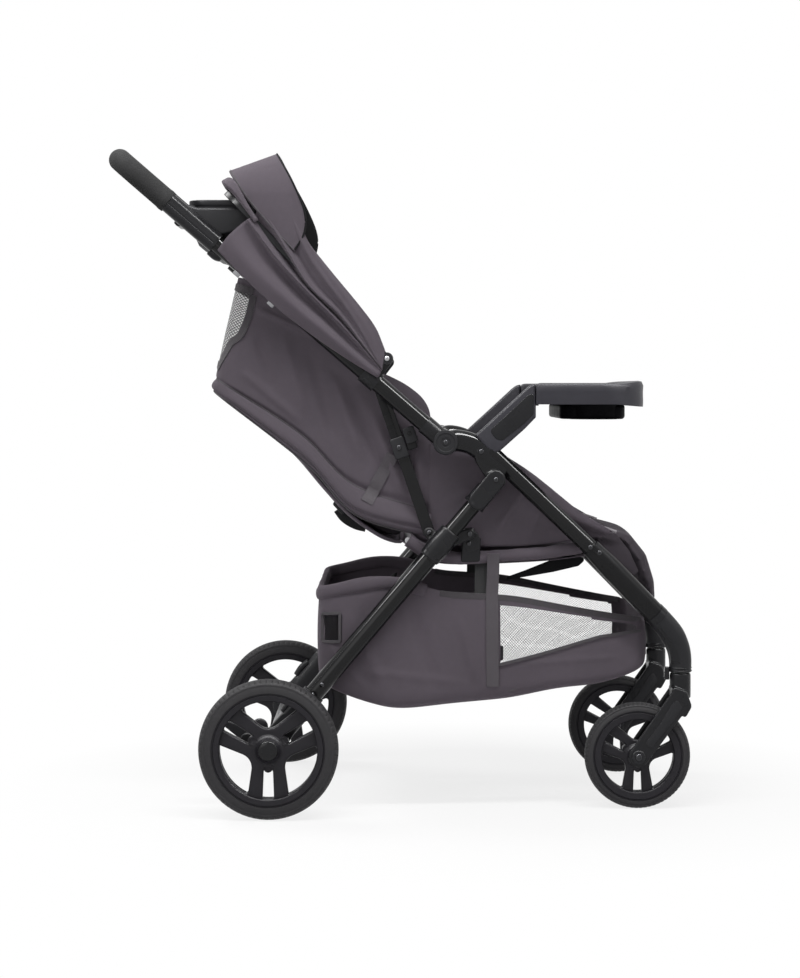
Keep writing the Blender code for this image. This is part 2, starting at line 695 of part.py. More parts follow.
def collar(side, plastic):
    """The sliding sleeve on the rear leg, with an ear for the link and one for the seat rail."""
    y = side * LEG_HALF_WIDTH
    half = COLLAR_LENGTH / 2
    ends = [at_side(along_leg(COLLAR_CENTRE - half), y), at_side(along_leg(COLLAR_CENTRE + half), y)]
    body = tube(side_name("collar", side), ends, COLLAR_RADIUS, plastic, 16)
    inner = LINK_OUTER + RUNNING_GAP
    foot = along_leg(COLLAR_CENTRE, 0.0)
    ears = [prism("link_ear", stadium(foot, LINK_LOWER, 0.011, EAR_RADIUS), inner, inner + 0.0105, side, None),
            prism("seat_ear", stadium(foot, SEAT_BRACKET_PIVOT, 0.011, EAR_RADIUS), inner + 0.0023, inner + 0.0105,
                  side, None)]
    boolean(body, ears, "UNION")
    rivet = rod("link_rivet", at_side(LINK_LOWER, side * (LINK_INNER - 0.0010)),
                at_side(LINK_LOWER, side * (inner + 0.004)), 0.0035, None)
    bore = tube("collar_bore", [at_side(along_leg(COLLAR_CENTRE - 0.05), y), at_side(along_leg(COLLAR_CENTRE + 0.05), y)],
                LEG_RADIUS + GAP, None, TUBE_SIDES)
    boolean(body, [rivet], "UNION")
    return boolean(body, [bore], "DIFFERENCE")


def fold_link(side, paint):
    """The flat bar from the collar to the handle that closes the frame."""
    body = prism(side_name("fold_link", side), stadium(LINK_LOWER, LINK_UPPER, LINK_WIDTH, LINK_WIDTH),
                 LINK_INNER, LINK_OUTER, side, paint)
    hole = rod("rivet_hole", at_side(LINK_LOWER, side * 0.21), at_side(LINK_LOWER, side * 0.23), 0.0038, None)
    return boolean(body, [hole], "DIFFERENCE")


def axle_housing(side, plastic):
    """The boot at the rear leg's foot that carries the axle; the right one also carries the pedal."""
    y = side * LEG_HALF_WIDTH
    length = math.dist(REAR_LEG_PIVOT, REAR_AXLE)
    top = length - LEG_END
    path = [at_side(along_leg(top), y), at_side(along_leg(length - 0.050), y), at_side(along_leg(length - 0.012), y)]
    sizes = [0.0180, 0.0185, 0.0175]
    body = tube(side_name("axle_housing", side), path, lambda i: sizes[i], plastic, 16)
    cap = rod("axle_boss", at_side(REAR_AXLE, side * (LEG_HALF_WIDTH - 0.0180)),
              at_side(REAR_AXLE, side * (LEG_HALF_WIDTH + 0.0205)), 0.0215, None, 20)
    joined = [cap]
    if side < 0:
        lug = prism("pedal_lug", stadium(REAR_AXLE, PEDAL_HINGE, 0.012, 0.0095), PEDAL_OUTER + 0.0205,
                    PEDAL_OUTER + 0.0320, side, None)
        pin = rod("pedal_pin", at_side(PEDAL_HINGE, side * PEDAL_INNER),
                  at_side(PEDAL_HINGE, side * (PEDAL_OUTER + 0.024)), 0.0050, None)
        joined += [lug, pin]
    boolean(body, joined, "UNION")
    holes = [
        tube("leg_bore", [at_side(along_leg(top - 0.01), y), at_side(along_leg(top + 0.0405), y)], LEG_RADIUS + GAP,
             None, TUBE_SIDES),
        rod("axle_bore", at_side(REAR_AXLE, side * 0.20), at_side(REAR_AXLE, side * 0.28), AXLE_RADIUS + GAP, None),
    ]
    return boolean(body, holes, "DIFFERENCE")


def rear_axle(steel):
    """The axle across the stroller, stepped down inside the rear wheels."""
    step = LEG_HALF_WIDTH + 0.0200
    end = REAR_HALF_TRACK + 0.0205
    path = [at_side(REAR_AXLE, y) for y in (-end, -step, -step + 0.0005, step - 0.0005, step, end)]
    sizes = [AXLE_END_RADIUS, AXLE_END_RADIUS, AXLE_RADIUS, AXLE_RADIUS, AXLE_END_RADIUS, AXLE_END_RADIUS]
    return tube("rear_axle", path, lambda i: sizes[i], steel, 12, up=(1.0, 0.0, 0.0))


def brake_pedal(plastic):
    """The foot pedal of the linked brake, turning on the right axle housing's pin."""
    x, z = PEDAL_HINGE
    outline = arc((x, z), 0.0090, -90, 70, 5)
    outline += [(x - 0.012, z + 0.0175), (x - PEDAL_LENGTH, z + 0.0310), (x - PEDAL_LENGTH - 0.002, z + 0.0230),
                (x - 0.020, z + 0.0020)]
    body = prism("brake_pedal", outline, PEDAL_INNER, PEDAL_OUTER, -1, plastic)
    bore = rod("pedal_bore", at_side(PEDAL_HINGE, -0.10), at_side(PEDAL_HINGE, -0.25), 0.0053, None)
    return boolean(body, [bore], "DIFFERENCE")


def tray_arm(side, plastic):
    """The arm that rises from the hub housing to the child tray, with the tray's socket."""
    outline = [(0.1250, 0.6065), (0.1600, 0.6385), (0.1995, 0.6750), (TRAY_REAR - GAP, 0.6833),
               (TRAY_REAR - GAP, 0.6300), (0.1980, 0.6120), (0.1590, 0.5795), (0.1435, 0.5908)]
    shifted = [(x + 0.0003, z + 0.0004) for x, z in outline[:1]] + outline[1:-1] + [(0.1440, 0.5916)]
    body = prism(side_name("tray_arm", side), shifted, ARM_INNER, ARM_OUTER, side, plastic)
    socket = tongue("tray_socket", side, GAP, 0.01)
    return boolean(body, [socket], "DIFFERENCE")


def tongue(name, side, slack, ahead):
    """The tray's tongue, or with some slack the socket that it slides into."""
    low, high = 0.6480 - slack, 0.6620 + slack
    tip = TRAY_REAR - TONGUE_LENGTH - slack
    outline = [(tip, low), (TRAY_REAR + ahead, low), (TRAY_REAR + ahead, high), (tip, high)]
    return prism(name, outline, ARM_INNER + 0.006 - slack, ARM_OUTER - 0.006 + slack, side, None)


def child_tray(plastic):
    """The snack tray in front of the child, on a tongue at each side."""
    deck = slab("child_tray", tray_outline(), TRAY_BOTTOM, TRAY_TOP, plastic)
    edge = deck.modifiers.new("edge", "BEVEL")
    edge.width = 0.004
    edge.segments = 1
    edge.limit_method = "ANGLE"
    boolean(deck, [tongue("tray_tongue", side, 0.0, 0.012) for side in (-1, 1)], "UNION")
    x = (TRAY_REAR + TRAY_FRONT) / 2 + 0.012
    wells = [rod("tray_well_hole", (x, side * TRAY_WELL_OFFSET, TRAY_BOTTOM - 0.01),
                 (x, side * TRAY_WELL_OFFSET, TRAY_TOP + 0.01), TRAY_WELL_RADIUS + 0.003 + GAP, None, 20)
             for side in (-1, 1)]
    return boolean(deck, wells, "DIFFERENCE")


def tray_outline():
    """The tray seen from above: square to its arms, rounded in front, hollowed towards the child."""
    w = TRAY_HALF_WIDTH
    corner = 0.075
    points = [(TRAY_REAR, -w)] + arc((TRAY_FRONT - corner, -w + corner), corner, -90, 0, 4)
    points += arc((TRAY_FRONT - corner, w - corner), corner, 0, 90, 4) + [(TRAY_REAR, w)]
    for i in range(7):
        y = (w - 0.040) * math.cos(math.pi * i / 6)
        points.append((TRAY_REAR + 0.030 * math.sin(math.pi * i / 6) + 0.0001, y))
    return points


def tray_cups(plastic):
    """The black liner under the tray: two cup wells joined by a bridge."""
    x = (TRAY_REAR + TRAY_FRONT) / 2 + 0.012
    top = TRAY_BOTTOM - GAP
    bottom = TRAY_TOP - 0.002 - TRAY_WELL_DEPTH - 0.006
    w = TRAY_WELL_OFFSET + 0.030
    base = slab("tray_liner", rounded_rectangle((x - 0.055, -w), (x + 0.050, w), 0.030), bottom + 0.002, top, plastic)
    cups = [rod("cup_wall", (x, side * TRAY_WELL_OFFSET, bottom), (x, side * TRAY_WELL_OFFSET, TRAY_TOP - 0.002),
                TRAY_WELL_RADIUS + 0.003, None, 20) for side in (-1, 1)]
    boolean(base, cups, "UNION")
    bores = [rod("cup_bore", (x, side * TRAY_WELL_OFFSET, bottom + 0.003), (x, side * TRAY_WELL_OFFSET, TRAY_TOP + 0.02),
                 TRAY_WELL_RADIUS, None, 20) for side in (-1, 1)]
    return boolean(base, bores, "DIFFERENCE")


def seat_rail(side, paint):
    """The side rail of the seat: pivot eye, bent bar, bracket to the collar, eye for the back rod."""
    y = side * RAIL_HALF_WIDTH
    points = [at_side(p, y) for p in [SEAT_PIVOT] + RAIL_REAR_PATH + [RECLINE_PIVOT]]
    path = fillet_path(points, 0.040, 2)
    body = tube(side_name("seat_rail", side), path, RAIL_RADIUS, paint, 10)
    x, z = SEAT_BRACKET_PIVOT
    plate = [(x - 0.014, 0.4000), (x + 0.016, 0.4010), (x + 0.0175, z - 0.008), (x + 0.004, z + 0.0085),
             (x - 0.010, z + 0.0070)]
    bracket = prism("seat_bracket", plate, 0.2120, LINK_OUTER + RUNNING_GAP * 2, side, None)
    pin = rod("seat_pin", at_side(SEAT_PIVOT, y), at_side(SEAT_PIVOT, side * (FRAME_HALF_WIDTH - 0.0060)),
              SEAT_PIN_RADIUS, None, 10)
    boolean(body, [bracket], "UNION")
    hole = rod("rod_hole", at_side(RECLINE_PIVOT, side * 0.19), at_side(RECLINE_PIVOT, side * (RAIL_HALF_WIDTH + 0.002)),
               0.0053, None)
    boolean(body, [hole], "DIFFERENCE")
    boolean(body, [pin], "UNION")
    return body


def back_rod(steel):
    """The rod across the seat's rear on which the backrest turns."""
    reach = RAIL_HALF_WIDTH + 0.0010
    return rod("back_rod", at_side(RECLINE_PIVOT, -reach), at_side(RECLINE_PIVOT, reach), 0.0050, steel, 12)


def pad_ring(centre, normal, half, thickness, crown, wing=0.0, steps=10):
    """One cross section of a pad: flat beneath, crowned above, with raised sides when it has wings."""
    n = Vector((normal[0], 0.0, normal[1]))
    base = Vector(at_side(centre, 0.0))
    ring = []
    for i in range(steps + 1):
        t = -1 + 2 * i / steps
        rise = thickness * (0.72 + crown * (1 - t * t)) + wing * max(0.0, abs(t) - 0.55)
        if i in (0, steps):
            rise *= 0.62
        ring.append(base + Vector((0, t * half, 0)) + n * rise)
    ring.append(base + Vector((0, half * 0.97, 0)) + n * thickness * 0.15)
    ring.append(base + Vector((0, half * 0.60, 0)))
    ring.append(base + Vector((0, -half * 0.60, 0)))
    ring.append(base + Vector((0, -half * 0.97, 0)) + n * thickness * 0.15)
    return ring


def seat_pad(fabric):
    """The seat cushion between the rails, crowned, with a lip at the front."""
    rings = []
    stations = [
        (0.00, 0.45, 0.0), (0.03, 0.78, 0.16), (0.10, 0.94, 0.26), (0.28, 1.00, 0.30), (0.48, 0.97, 0.28),
        (0.52, 0.97, 0.28), (0.75, 1.00, 0.30), (0.90, 0.96, 0.28), (0.97, 0.88, 0.20), (1.00, 0.74, 0.10),
    ]
    for t, swell, crown in stations:
        x = SEAT_REAR + (SEAT_FRONT - SEAT_REAR) * t
        half = SEAT_HALF_WIDTH * (0.93 if t in (0.0, 1.0) else 1.0)
        rings.append(pad_ring((x, SEAT_BOTTOM), (0.0, 1.0), half, SEAT_THICKNESS * swell, crown))
    return loft("seat_pad", rings, fabric)


def back_frame():
    """Unit directions of the reclined backrest: along it, and out of its front."""
    c, s = math.cos(BACK_ANGLE), math.sin(BACK_ANGLE)
    return (c, s), (s, -c)


def back_point(reach, rise):
    """X and Z of a point of the backrest by its distance from the rod and its rise to the front."""
    along, out = back_frame()
    foot = (RECLINE_PIVOT[0] - 0.0050, RECLINE_PIVOT[1] - 0.0080)
    return (foot[0] + along[0] * reach + out[0] * rise, foot[1] + along[1] * reach + out[1] * rise)


def backrest(fabric):
    """The padded back: a stiff board in its cover, crowned in front, with side wings."""
    along, out = back_frame()
    stations = [
        (0.0068, 0.50, 0.00, 0.000), (0.018, 0.78, 0.12, -0.008), (0.045, 0.90, 0.18, -0.016),
        (0.100, 0.96, 0.24, -0.020), (0.160, 0.98, 0.24, -0.012), (0.230, 1.00, 0.25, 0.000),
        (0.300, 1.00, 0.25, 0.000), (0.350, 0.96, 0.22, 0.000), (0.375, 0.80, 0.14, 0.001),
        (0.385, 0.55, 0.05, 0.004),
    ]
    rings = []
    for reach, swell, crown, sag in stations:
        half = BACK_HALF_WIDTH * (0.95 if reach in (stations[0][0], stations[-1][0]) else 1.0)
        centre = back_point(reach, sag)
        depth = BACK_THICKNESS * swell - sag
        rings.append(pad_ring(centre, out, half, depth, crown, 0.030))
    return loft("backrest", rings, fabric)


def calf_rest(fabric):
    """The padded apron from the seat's front edge down to the footrest."""
    stations = [
        ((0.3184, 0.4310), (0.00, 1.00), 0.188, 0.80), ((0.3300, 0.4350), (0.20, 0.97), 0.190, 0.95),
        ((0.3600, 0.4260), (0.60, 0.80), 0.188, 1.00), ((0.3800, 0.3960), (0.90, 0.43), 0.183, 1.00),
        ((0.3930, 0.3550), (0.96, 0.28), 0.174, 0.95), ((0.4030, 0.3220), (0.96, 0.28), 0.160, 0.60),
    ]
    rings = [pad_ring(centre, Vector(out).normalized(), half, 0.017 * swell, 0.25)
             for centre, out, half, swell in stations]
    return loft("calf_rest", rings, fabric)


def footrest(plastic):
    """The moulded bar that carries the child's feet, its ends shaped to the legs."""
    outline = [(0.3990, 0.2960), (0.4180, 0.2830), (0.4380, 0.2760), (0.4410, 0.2820), (0.4260, 0.2940), (0.4050, 0.3050)]
    bar = prism("footrest", outline, -0.1800, 0.1800, 1, plastic)
    ends = []
    for side in (-1, 1):
        path = [(x, side * y, z) for x, y, z in HOUSING_PATH]
        ends.append(tube("housing_clearance", path, lambda i: HOUSING_RADII[i] + GAP, None, 16))
        path = [(x, side * y, z) for x, y, z in FRONT_LEG_PATH[-2:]]
        ends.append(tube("leg_clearance", path, LOWER_LEG_RADIUS + GAP, None, 16))
        outside = [(x, z) for x, z in rounded_rectangle((0.38, 0.26), (0.46, 0.32), 0.002, 1)]
        ends.append(prism("end_trim", outside, 0.1790, 0.2000, side, None))
    return boolean(bar, ends, "DIFFERENCE")


def seat_side(side, fabric):
    """The fabric side of the seat, hung from the front leg down to the rail."""
    stations = [
        ((0.0500, 0.4450), (0.0500, 0.5500), 0.0000), ((0.1300, 0.4560), (0.1480, 0.5560), 0.0000),
        ((0.1700, 0.4430), (0.1750, 0.5580), 0.0050), ((0.2000, 0.4330), (0.2117, 0.5418), 0.0165),
        ((0.2500, 0.4380), (0.2510, 0.5105), 0.0165), ((0.2930, 0.4420), (0.2903, 0.4792), 0.0140),
        ((0.3250, 0.4380), (0.3400, 0.4480), 0.0030),
    ]
    rings = []
    for low, high, flare in stations:
        ring = []
        for offset in (0.0, CLOTH):
            line = []
            for t, lean in ((0.0, 0.0), (0.30, 0.15), (0.62, 1.0), (1.0, 1.0)):
                x = low[0] + (high[0] - low[0]) * t
                z = low[1] + (high[1] - low[1]) * t
                line.append((x, side * (SIDE_PANEL + flare * lean - offset), z))
            ring += line if offset == 0.0 else line[::-1]
        rings.append(ring)
    return loft(side_name("seat_side", side), rings, fabric)


def seat_surround(fabric):
    """The fabric that closes the seat behind: both sides under the handle and the vented panel across."""
    rows = [
        ((0.0480, 0.4470), (-0.0900, 0.5010), (-0.2960, 0.6930)),
        ((0.0480, 0.5050), (-0.0850, 0.5450), (-0.2975, 0.7000)),
        ((0.0460, 0.5750), (-0.0800, 0.5950), (-0.2990, 0.7080)),
        ((0.0300, 0.6500), (-0.0850, 0.6500), (-0.2950, 0.7280)),
        ((-0.0100, 0.6950), (-0.1100, 0.6980), (-0.2880, 0.7520)),
        ((-0.0700, 0.7330), (-0.1500, 0.7450), (-0.2780, 0.7850)),
        ((-0.1500, 0.7950), (-0.2050, 0.8000), (-0.2690, 0.8200)),
        ((-0.2180, 0.8450), (-0.2300, 0.8470), (-0.2590, 0.8530)),
    ]
    corner = 0.030
    rings = []
    for i, (front, middle, back) in enumerate(rows):
        ring = []
        fold = SURROUND_FOLD * math.sin(math.pi * i / (len(rows) - 1)) ** 2
        half = SIDE_PANEL if i < len(rows) - 2 else FRAME_HALF_WIDTH - TUBE_RADIUS
        for offset in (0.0, CLOTH):
            outer = half - offset
            rear = (back[0] + offset, back[1])
            near = (rear[0] + (middle[0] - rear[0]) * 0.30, rear[1] + (middle[1] - rear[1]) * 0.30)
            half_way = ((front[0] + middle[0]) / 2, (front[1] + middle[1]) / 2)
            path = []
            for side in (-1, 1):
                leg = [(front[0], side * outer, front[1]), (half_way[0], side * (outer - fold), half_way[1]),
                       (middle[0], side * outer, middle[1]), (near[0], side * outer, near[1]),
                       (rear[0] + 0.004, side * (outer - 0.012), rear[1]), (rear[0], side * (outer - corner), rear[1])]
                path += leg if side < 0 else leg[::-1]
            ring += path if offset == 0.0 else path[::-1]
        rings.append(ring)
    return loft("seat_surround", rings, fabric)


def canopy_clamp(side, plastic):
    """The clamp on the handle side that carries the canopy's pivot pin."""
    r = (CANOPY_PIVOT[0] - HANDLE_PIVOT[0]) * math.cos(HANDLE_ANGLE) + (CANOPY_PIVOT[1] - HANDLE_PIVOT[1]) * math.sin(HANDLE_ANGLE)
    y = side * FRAME_HALF_WIDTH
    ends = [at_side(along_handle(r - 0.014), y), at_side(along_handle(r + 0.014), y)]
    body = tube(side_name("canopy_clamp", side), ends, 0.0165, plastic, 14)
    outer = MID_BOW_OFFSET - BOW_THICKNESS / 2 - RUNNING_GAP
    arm = prism("clamp_arm", stadium(along_handle(r), CANOPY_PIVOT, 0.0120, 0.0100), outer - 0.012, outer, side, None)
    pin = rod("canopy_pin", at_side(CANOPY_PIVOT, side * (outer - 0.004)),
              at_side(CANOPY_PIVOT, side * (FRONT_BOW_OFFSET + BOW_THICKNESS / 2 + 0.0010)), 0.0030, None, 10)
    bore = tube("clamp_bore", [at_side(along_handle(r - 0.03), y), at_side(along_handle(r + 0.03), y)],
                TUBE_RADIUS + GAP, None, TUBE_SIDES, up=handle_up())
    boolean(body, [arm, pin], "UNION")
    low, high = sorted((side * 0.2000, side * (FRAME_HALF_WIDTH - 0.0098)))
    relief = slab("clamp_relief", rounded_rectangle((-0.12, low), (0.06, high), 0.001, 1), 0.60, 0.80, None)
    return boolean(body, [bore, relief], "DIFFERENCE")


def hoop_path(angle, reach, half, start, corner, steps=4):
    """A canopy hoop: up one side from the pivot, over with rounded corners and down the other."""
    c, s = math.cos(angle), math.sin(angle)
    points = []
    for side in (-1, 1):
        leg = [(start, side * half), (start + (reach - corner - start) * 0.5, side * half)]
        for k in range(steps + 1):
            a = math.pi / 2 * k / steps
            leg.append((reach - corner + corner * math.sin(a), side * (half - corner + corner * math.cos(a))))
        points += leg if side < 0 else leg[::-1]
    return [(CANOPY_PIVOT[0] + r * c, y, CANOPY_PIVOT[1] + r * s) for r, y in points]


def strip_rings(path, angle, width, thickness):
    """Rings of a flat strip whose broad side lies across the hoop's plane."""
    broad = Vector((-math.sin(angle), 0.0, math.cos(angle))) * (width / 2)
    rings = []
    for point, along in zip(path, tangents(path)):
        thin = along.cross(broad).normalized() * (thickness / 2)
        base = Vector(point)
        rings.append([base - broad - thin, base + broad - thin, base + broad + thin, base - broad + thin])
    return rings


def canopy_bow(name, angle, reach, half, corner, paint):
    """A flat hoop of the canopy with an eye round each pivot pin."""
    path = hoop_path(angle, reach, half, -0.006, corner)
    body = loft(name, strip_rings(path, angle, BOW_WIDTH, BOW_THICKNESS), paint)
    holes = [rod("bow_eye", at_side(CANOPY_PIVOT, side * 0.24), at_side(CANOPY_PIVOT, side * 0.27), 0.0034, None, 10)
             for side in (-1, 1)]
    return boolean(body, holes, "DIFFERENCE")


def canopy_fabric(fabric):
    """The rear of the canopy: a pleated side outside each handle tube and the folded roof across."""
    parts = []
    for side in (-1, 1):
        rings = []
        columns = 12
        for i in range(columns + 1):
            t = i / columns
            angle = SIDE_REAR_ANGLE + (MID_BOW_ANGLE - SIDE_REAR_ANGLE) * t
            reach = SIDE_REAR_REACH + (MID_BOW_REACH + 0.005 - SIDE_REAR_REACH) * t
            wave = FOLD_DEPTH * math.sin(math.pi * 2.5 * t) ** 2
            ring = []
            for r, rise in ((CANOPY_TIP, 0.0), (reach * 0.5, 0.6), (reach, 1.0)):
                ring.append((r, CANOPY_HALF_WIDTH + wave * rise))
            for r, rise in ((reach, 1.0), (reach * 0.5, 0.6), (CANOPY_TIP, 0.0)):
                ring.append((r, CANOPY_HALF_WIDTH + wave * rise - CANOPY_CLOTH))
            c, s = math.cos(angle), math.sin(angle)
            rings.append([(CANOPY_PIVOT[0] + r * c, side * y, CANOPY_PIVOT[1] + r * s) for r, y in ring])
        parts.append(loft("canopy_fabric" if side < 0 else "canopy_side", rings, fabric if side < 0 else None))
    c, s = math.cos(MID_BOW_ANGLE), math.sin(MID_BOW_ANGLE)
    x = CANOPY_PIVOT[0] + (MID_BOW_REACH + 0.0080) * c - 0.010
    z = CANOPY_PIVOT[1] + (MID_BOW_REACH + 0.0080) * s + 0.001
    rings = []
    for i in range(15):
        y = -1 + 2 * i / 14
        drop = 0.020 * max(0.0, abs(y) - 0.80) ** 2 / 0.04
        section = []
        for k in range(8):
            a = math.pi / 4 * k
            section.append((x + 0.0125 * math.cos(a) + drop * 0.3, (CANOPY_HALF_WIDTH - 0.0005) * y,
                            z - drop + 0.0090 * math.sin(a)))
        rings.append(section)
    roll = loft("canopy_roll", rings, None)
    return boolean(parts[0], [roll, parts[1]], "UNION")


def canopy_visor(fabric):
    """The canopy's front band over its front hoop, and the stiff visor that stands up from it."""
    first = MID_BOW_ANGLE - 0.014
    rings = []
    for t, start in VISOR_ROWS:
        angle = first + (VISOR_EDGE_ANGLE - first) * t
        reach = MID_BOW_REACH + (VISOR_REACH - MID_BOW_REACH) * t + 0.0075 + 0.004 * math.sin(math.pi * t)
        corner = MID_CORNER + (FRONT_CORNER - MID_CORNER) * t
        outer = hoop_path(angle, reach, CANOPY_HALF_WIDTH + 0.0005, start, corner)
        inner = hoop_path(angle, reach - CANOPY_CLOTH, CANOPY_HALF_WIDTH + 0.0005 - CANOPY_CLOTH * 0.8, start,
                          corner - CANOPY_CLOTH * 0.8)
        rings.append(outer + inner[::-1])
    return loft("canopy_visor", rings, fabric)


def basket(fabric):
    """The storage basket: a sewn bag with an open top, between the legs."""
    outer = basket_skin("basket", 0.0, 0.0, fabric)
    inner = basket_skin("basket_inside", BASKET_CLOTH, 0.05, None)
    boolean(outer, [inner], "DIFFERENCE")
    return outer


def basket_skin(name, inset, lift, finish):
    """The basket's outer form, or the smaller form of its inside."""
    rings = []
    last = len(BASKET_SECTIONS) - 1
    for i, (x, half, low, high) in enumerate(BASKET_SECTIONS):
        shift = inset if i == 0 else (-inset if i == last else 0.0)
        w = half - inset
        floor = low + inset
        corner = min(BASKET_CORNER, (high - floor) * 0.4)
        top = high + lift
        side = [(w, top), (w, floor + corner), (w - corner * 0.30, floor + corner * 0.30), (w - corner, floor)]
        ring = [(x + shift, y, z) for y, z in side] + [(x + shift, -y, z) for y, z in side[::-1]]
        rings.append(ring)
    return loft(name, rings, finish)


def back_board(plastic):
    """The stiff outer shell behind the backrest, hung on the back rod; the pad is raised off it."""
    under = [(0.0062, 0.0000), (0.018, -0.0080), (0.045, -0.0160), (0.100, -0.0200), (0.160, -0.0120),
             (0.230, 0.0000), (0.375, 0.0000)]
    top = [(reach, rise - 2 * GAP) for reach, rise in under]
    bottom = [(reach, rise - 2 * GAP - BOARD_THICKNESS) for reach, rise in under]
    rod_centre = (0.00125, 0.00935)
    hem = arc(rod_centre, 0.0050 + GAP, -60, -150, 3) + [(-0.0052, 0.0045), (-0.0042, -0.0036)]
    outline = [back_point(*p) for p in top[::-1] + [(0.0056, 0.0040)] + hem + bottom]
    return prism("back_board", outline, -BOARD_HALF_WIDTH, BOARD_HALF_WIDTH, 1, plastic)


def recline_toggle(plastic):
    """The strap adjuster under the back's outer shell."""
    corners = [back_point(0.104, -0.0236), back_point(0.132, -0.0196), back_point(0.130, -0.0290), back_point(0.106, -0.0325)]
    return prism("recline_toggle", corners, 0.080, 0.106, -1, plastic)


def bodies(made):
    """Parent every piece to an empty that stands on its body's joint."""
    places = {
        "front_frame": (0.0, 0.0, 0.0),
        "handle": at_side(HANDLE_PIVOT, 0.0),
        "rear_frame": at_side(REAR_LEG_PIVOT, 0.0),
        "collars": at_side(along_leg(COLLAR_CENTRE), 0.0),
        "fold_links": at_side(LINK_LOWER, 0.0),
        "seat_frame": at_side(SEAT_PIVOT, 0.0),
        "back_hinge": at_side(RECLINE_PIVOT, 0.0),
        "backrest": at_side(RECLINE_PIVOT, 0.0),
        "canopy_mid": at_side(CANOPY_PIVOT, 0.0),
        "canopy_front": at_side(CANOPY_PIVOT, 0.0),
        "tray": (TRAY_REAR, 0.0, TRAY_TOP),
        "trigger": at_side(TRIGGER_HINGE, 0.0),
        "brake": at_side(PEDAL_HINGE, 0.0),
    }
    for side in (-1, 1):
        places[side_name("caster", side)] = (CASTER_X, side * FRONT_HALF_TRACK, STEM_TOP)
        places[side_name("lock", side)] = (CASTER_X, side * FRONT_HALF_TRACK, STEM_TOP)
        places[side_name("front_wheel", side)] = at_side(wheel_centre("front"), side * FRONT_HALF_TRACK)
        places[side_name("rear_wheel", side)] = at_side(REAR_AXLE, side * REAR_HALF_TRACK)
    for body, members in made.items():
        empty = bpy.data.objects.new("body_" + body, None)
        empty.location = places[body]
        bpy.context.scene.collection.objects.link(empty)
        for member in members:
            member.parent = empty
            member.matrix_parent_inverse = Matrix.Translation(places[body]).inverted()


def build():
    """Make every piece, grouped by the body that it moves with."""
    clear_scene()
    m = make_materials()
    sides = (-1, 1)
    made = {
        "front_frame": [front_leg(s, m["frame"]) for s in sides]
        + [hub_housing(s, m["plastic"]) for s in sides]
        + [caster_housing(s, m["plastic"]) for s in sides]
        + [tray_arm(s, m["plastic"]) for s in sides]
        + [seat_side(s, m["fabric"]) for s in sides]
        + [footrest(m["plastic"]), calf_rest(m["fabric"]), basket(m["fabric"])],
        "handle": [handle_tube(m["frame"]), handle_grip(m["foam"]), parent_console(m["plastic"])]
        + [handle_knuckle(s, m["plastic"]) for s in sides]
        + [canopy_clamp(s, m["plastic"]) for s in sides]
        + [seat_surround(m["fabric"])],
        "rear_frame": [rear_leg(s, m["frame"]) for s in sides]
        + [rear_bracket(s, m["plastic"]) for s in sides]
        + [axle_housing(s, m["plastic"]) for s in sides]
        + [rear_axle(m["steel"])],
        "collars": [collar(s, m["plastic"]) for s in sides],
        "fold_links": [fold_link(s, m["frame"]) for s in sides],
        "seat_frame": [seat_rail(s, m["frame"]) for s in sides] + [seat_pad(m["fabric"])],
        "back_hinge": [back_rod(m["steel"]), back_board(m["plastic"]), recline_toggle(m["plastic"])],
        "backrest": [backrest(m["fabric"])],
        "tray": [child_tray(m["plastic"]), tray_cups(m["plastic"])],
        "trigger": [fold_trigger(m["plastic"])],
        "brake": [brake_pedal(m["plastic"])],
    }
    made["handle"].append(canopy_fabric(m["fabric"]))
    made["canopy_mid"] = [canopy_bow("canopy_mid_bow", MID_BOW_ANGLE, MID_BOW_REACH, MID_BOW_OFFSET, MID_CORNER,
                                     m["frame"])]
    made["canopy_front"] = [
        canopy_bow("canopy_front_bow", FRONT_BOW_ANGLE, FRONT_BOW_REACH, FRONT_BOW_OFFSET, 0.065, m["frame"]),
        canopy_visor(m["fabric"]),
    ]
    for s in sides:
        made[side_name("caster", s)] = [caster_fork(s, m["plastic"])]
        made[side_name("lock", s)] = [swivel_lock(s, m["plastic"])]
        for place in ("front", "rear"):
            rim = wheel(place, s, m)
            tyre = bpy.data.objects[side_name("tyre_" + place, s)]
            made[side_name(place + "_wheel", s)] = [tyre, rim]
    bodies(made)


build()
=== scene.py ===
"""Folding stroller: surface model and materials over the fixed frame.

Metres. +X is the travelling direction, +Y the child's left, +Z up.
"""

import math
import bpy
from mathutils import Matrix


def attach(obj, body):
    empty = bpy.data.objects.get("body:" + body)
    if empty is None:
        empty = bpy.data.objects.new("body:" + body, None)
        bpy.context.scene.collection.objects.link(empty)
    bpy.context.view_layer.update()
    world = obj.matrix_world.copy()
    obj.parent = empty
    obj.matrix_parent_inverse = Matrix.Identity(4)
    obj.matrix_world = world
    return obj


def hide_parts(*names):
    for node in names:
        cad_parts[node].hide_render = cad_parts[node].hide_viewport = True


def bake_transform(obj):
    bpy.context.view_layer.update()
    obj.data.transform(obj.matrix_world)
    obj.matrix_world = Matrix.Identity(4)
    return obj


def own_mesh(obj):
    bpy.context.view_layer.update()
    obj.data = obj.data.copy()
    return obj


bl_info = {
    "name": "Folding Stroller",
    "version": (1, 0, 0),
    "blender": (4, 5, 0),
    "location": "View3D > Sidebar > Stroller",
    "description": "Builds the stroller's tubes, mouldings, wheels and soft goods",
    "category": "Object",
}

import bmesh
import bpy
import numpy as np
from bpy.props import FloatProperty, FloatVectorProperty, IntProperty, PointerProperty
from mathutils import Vector

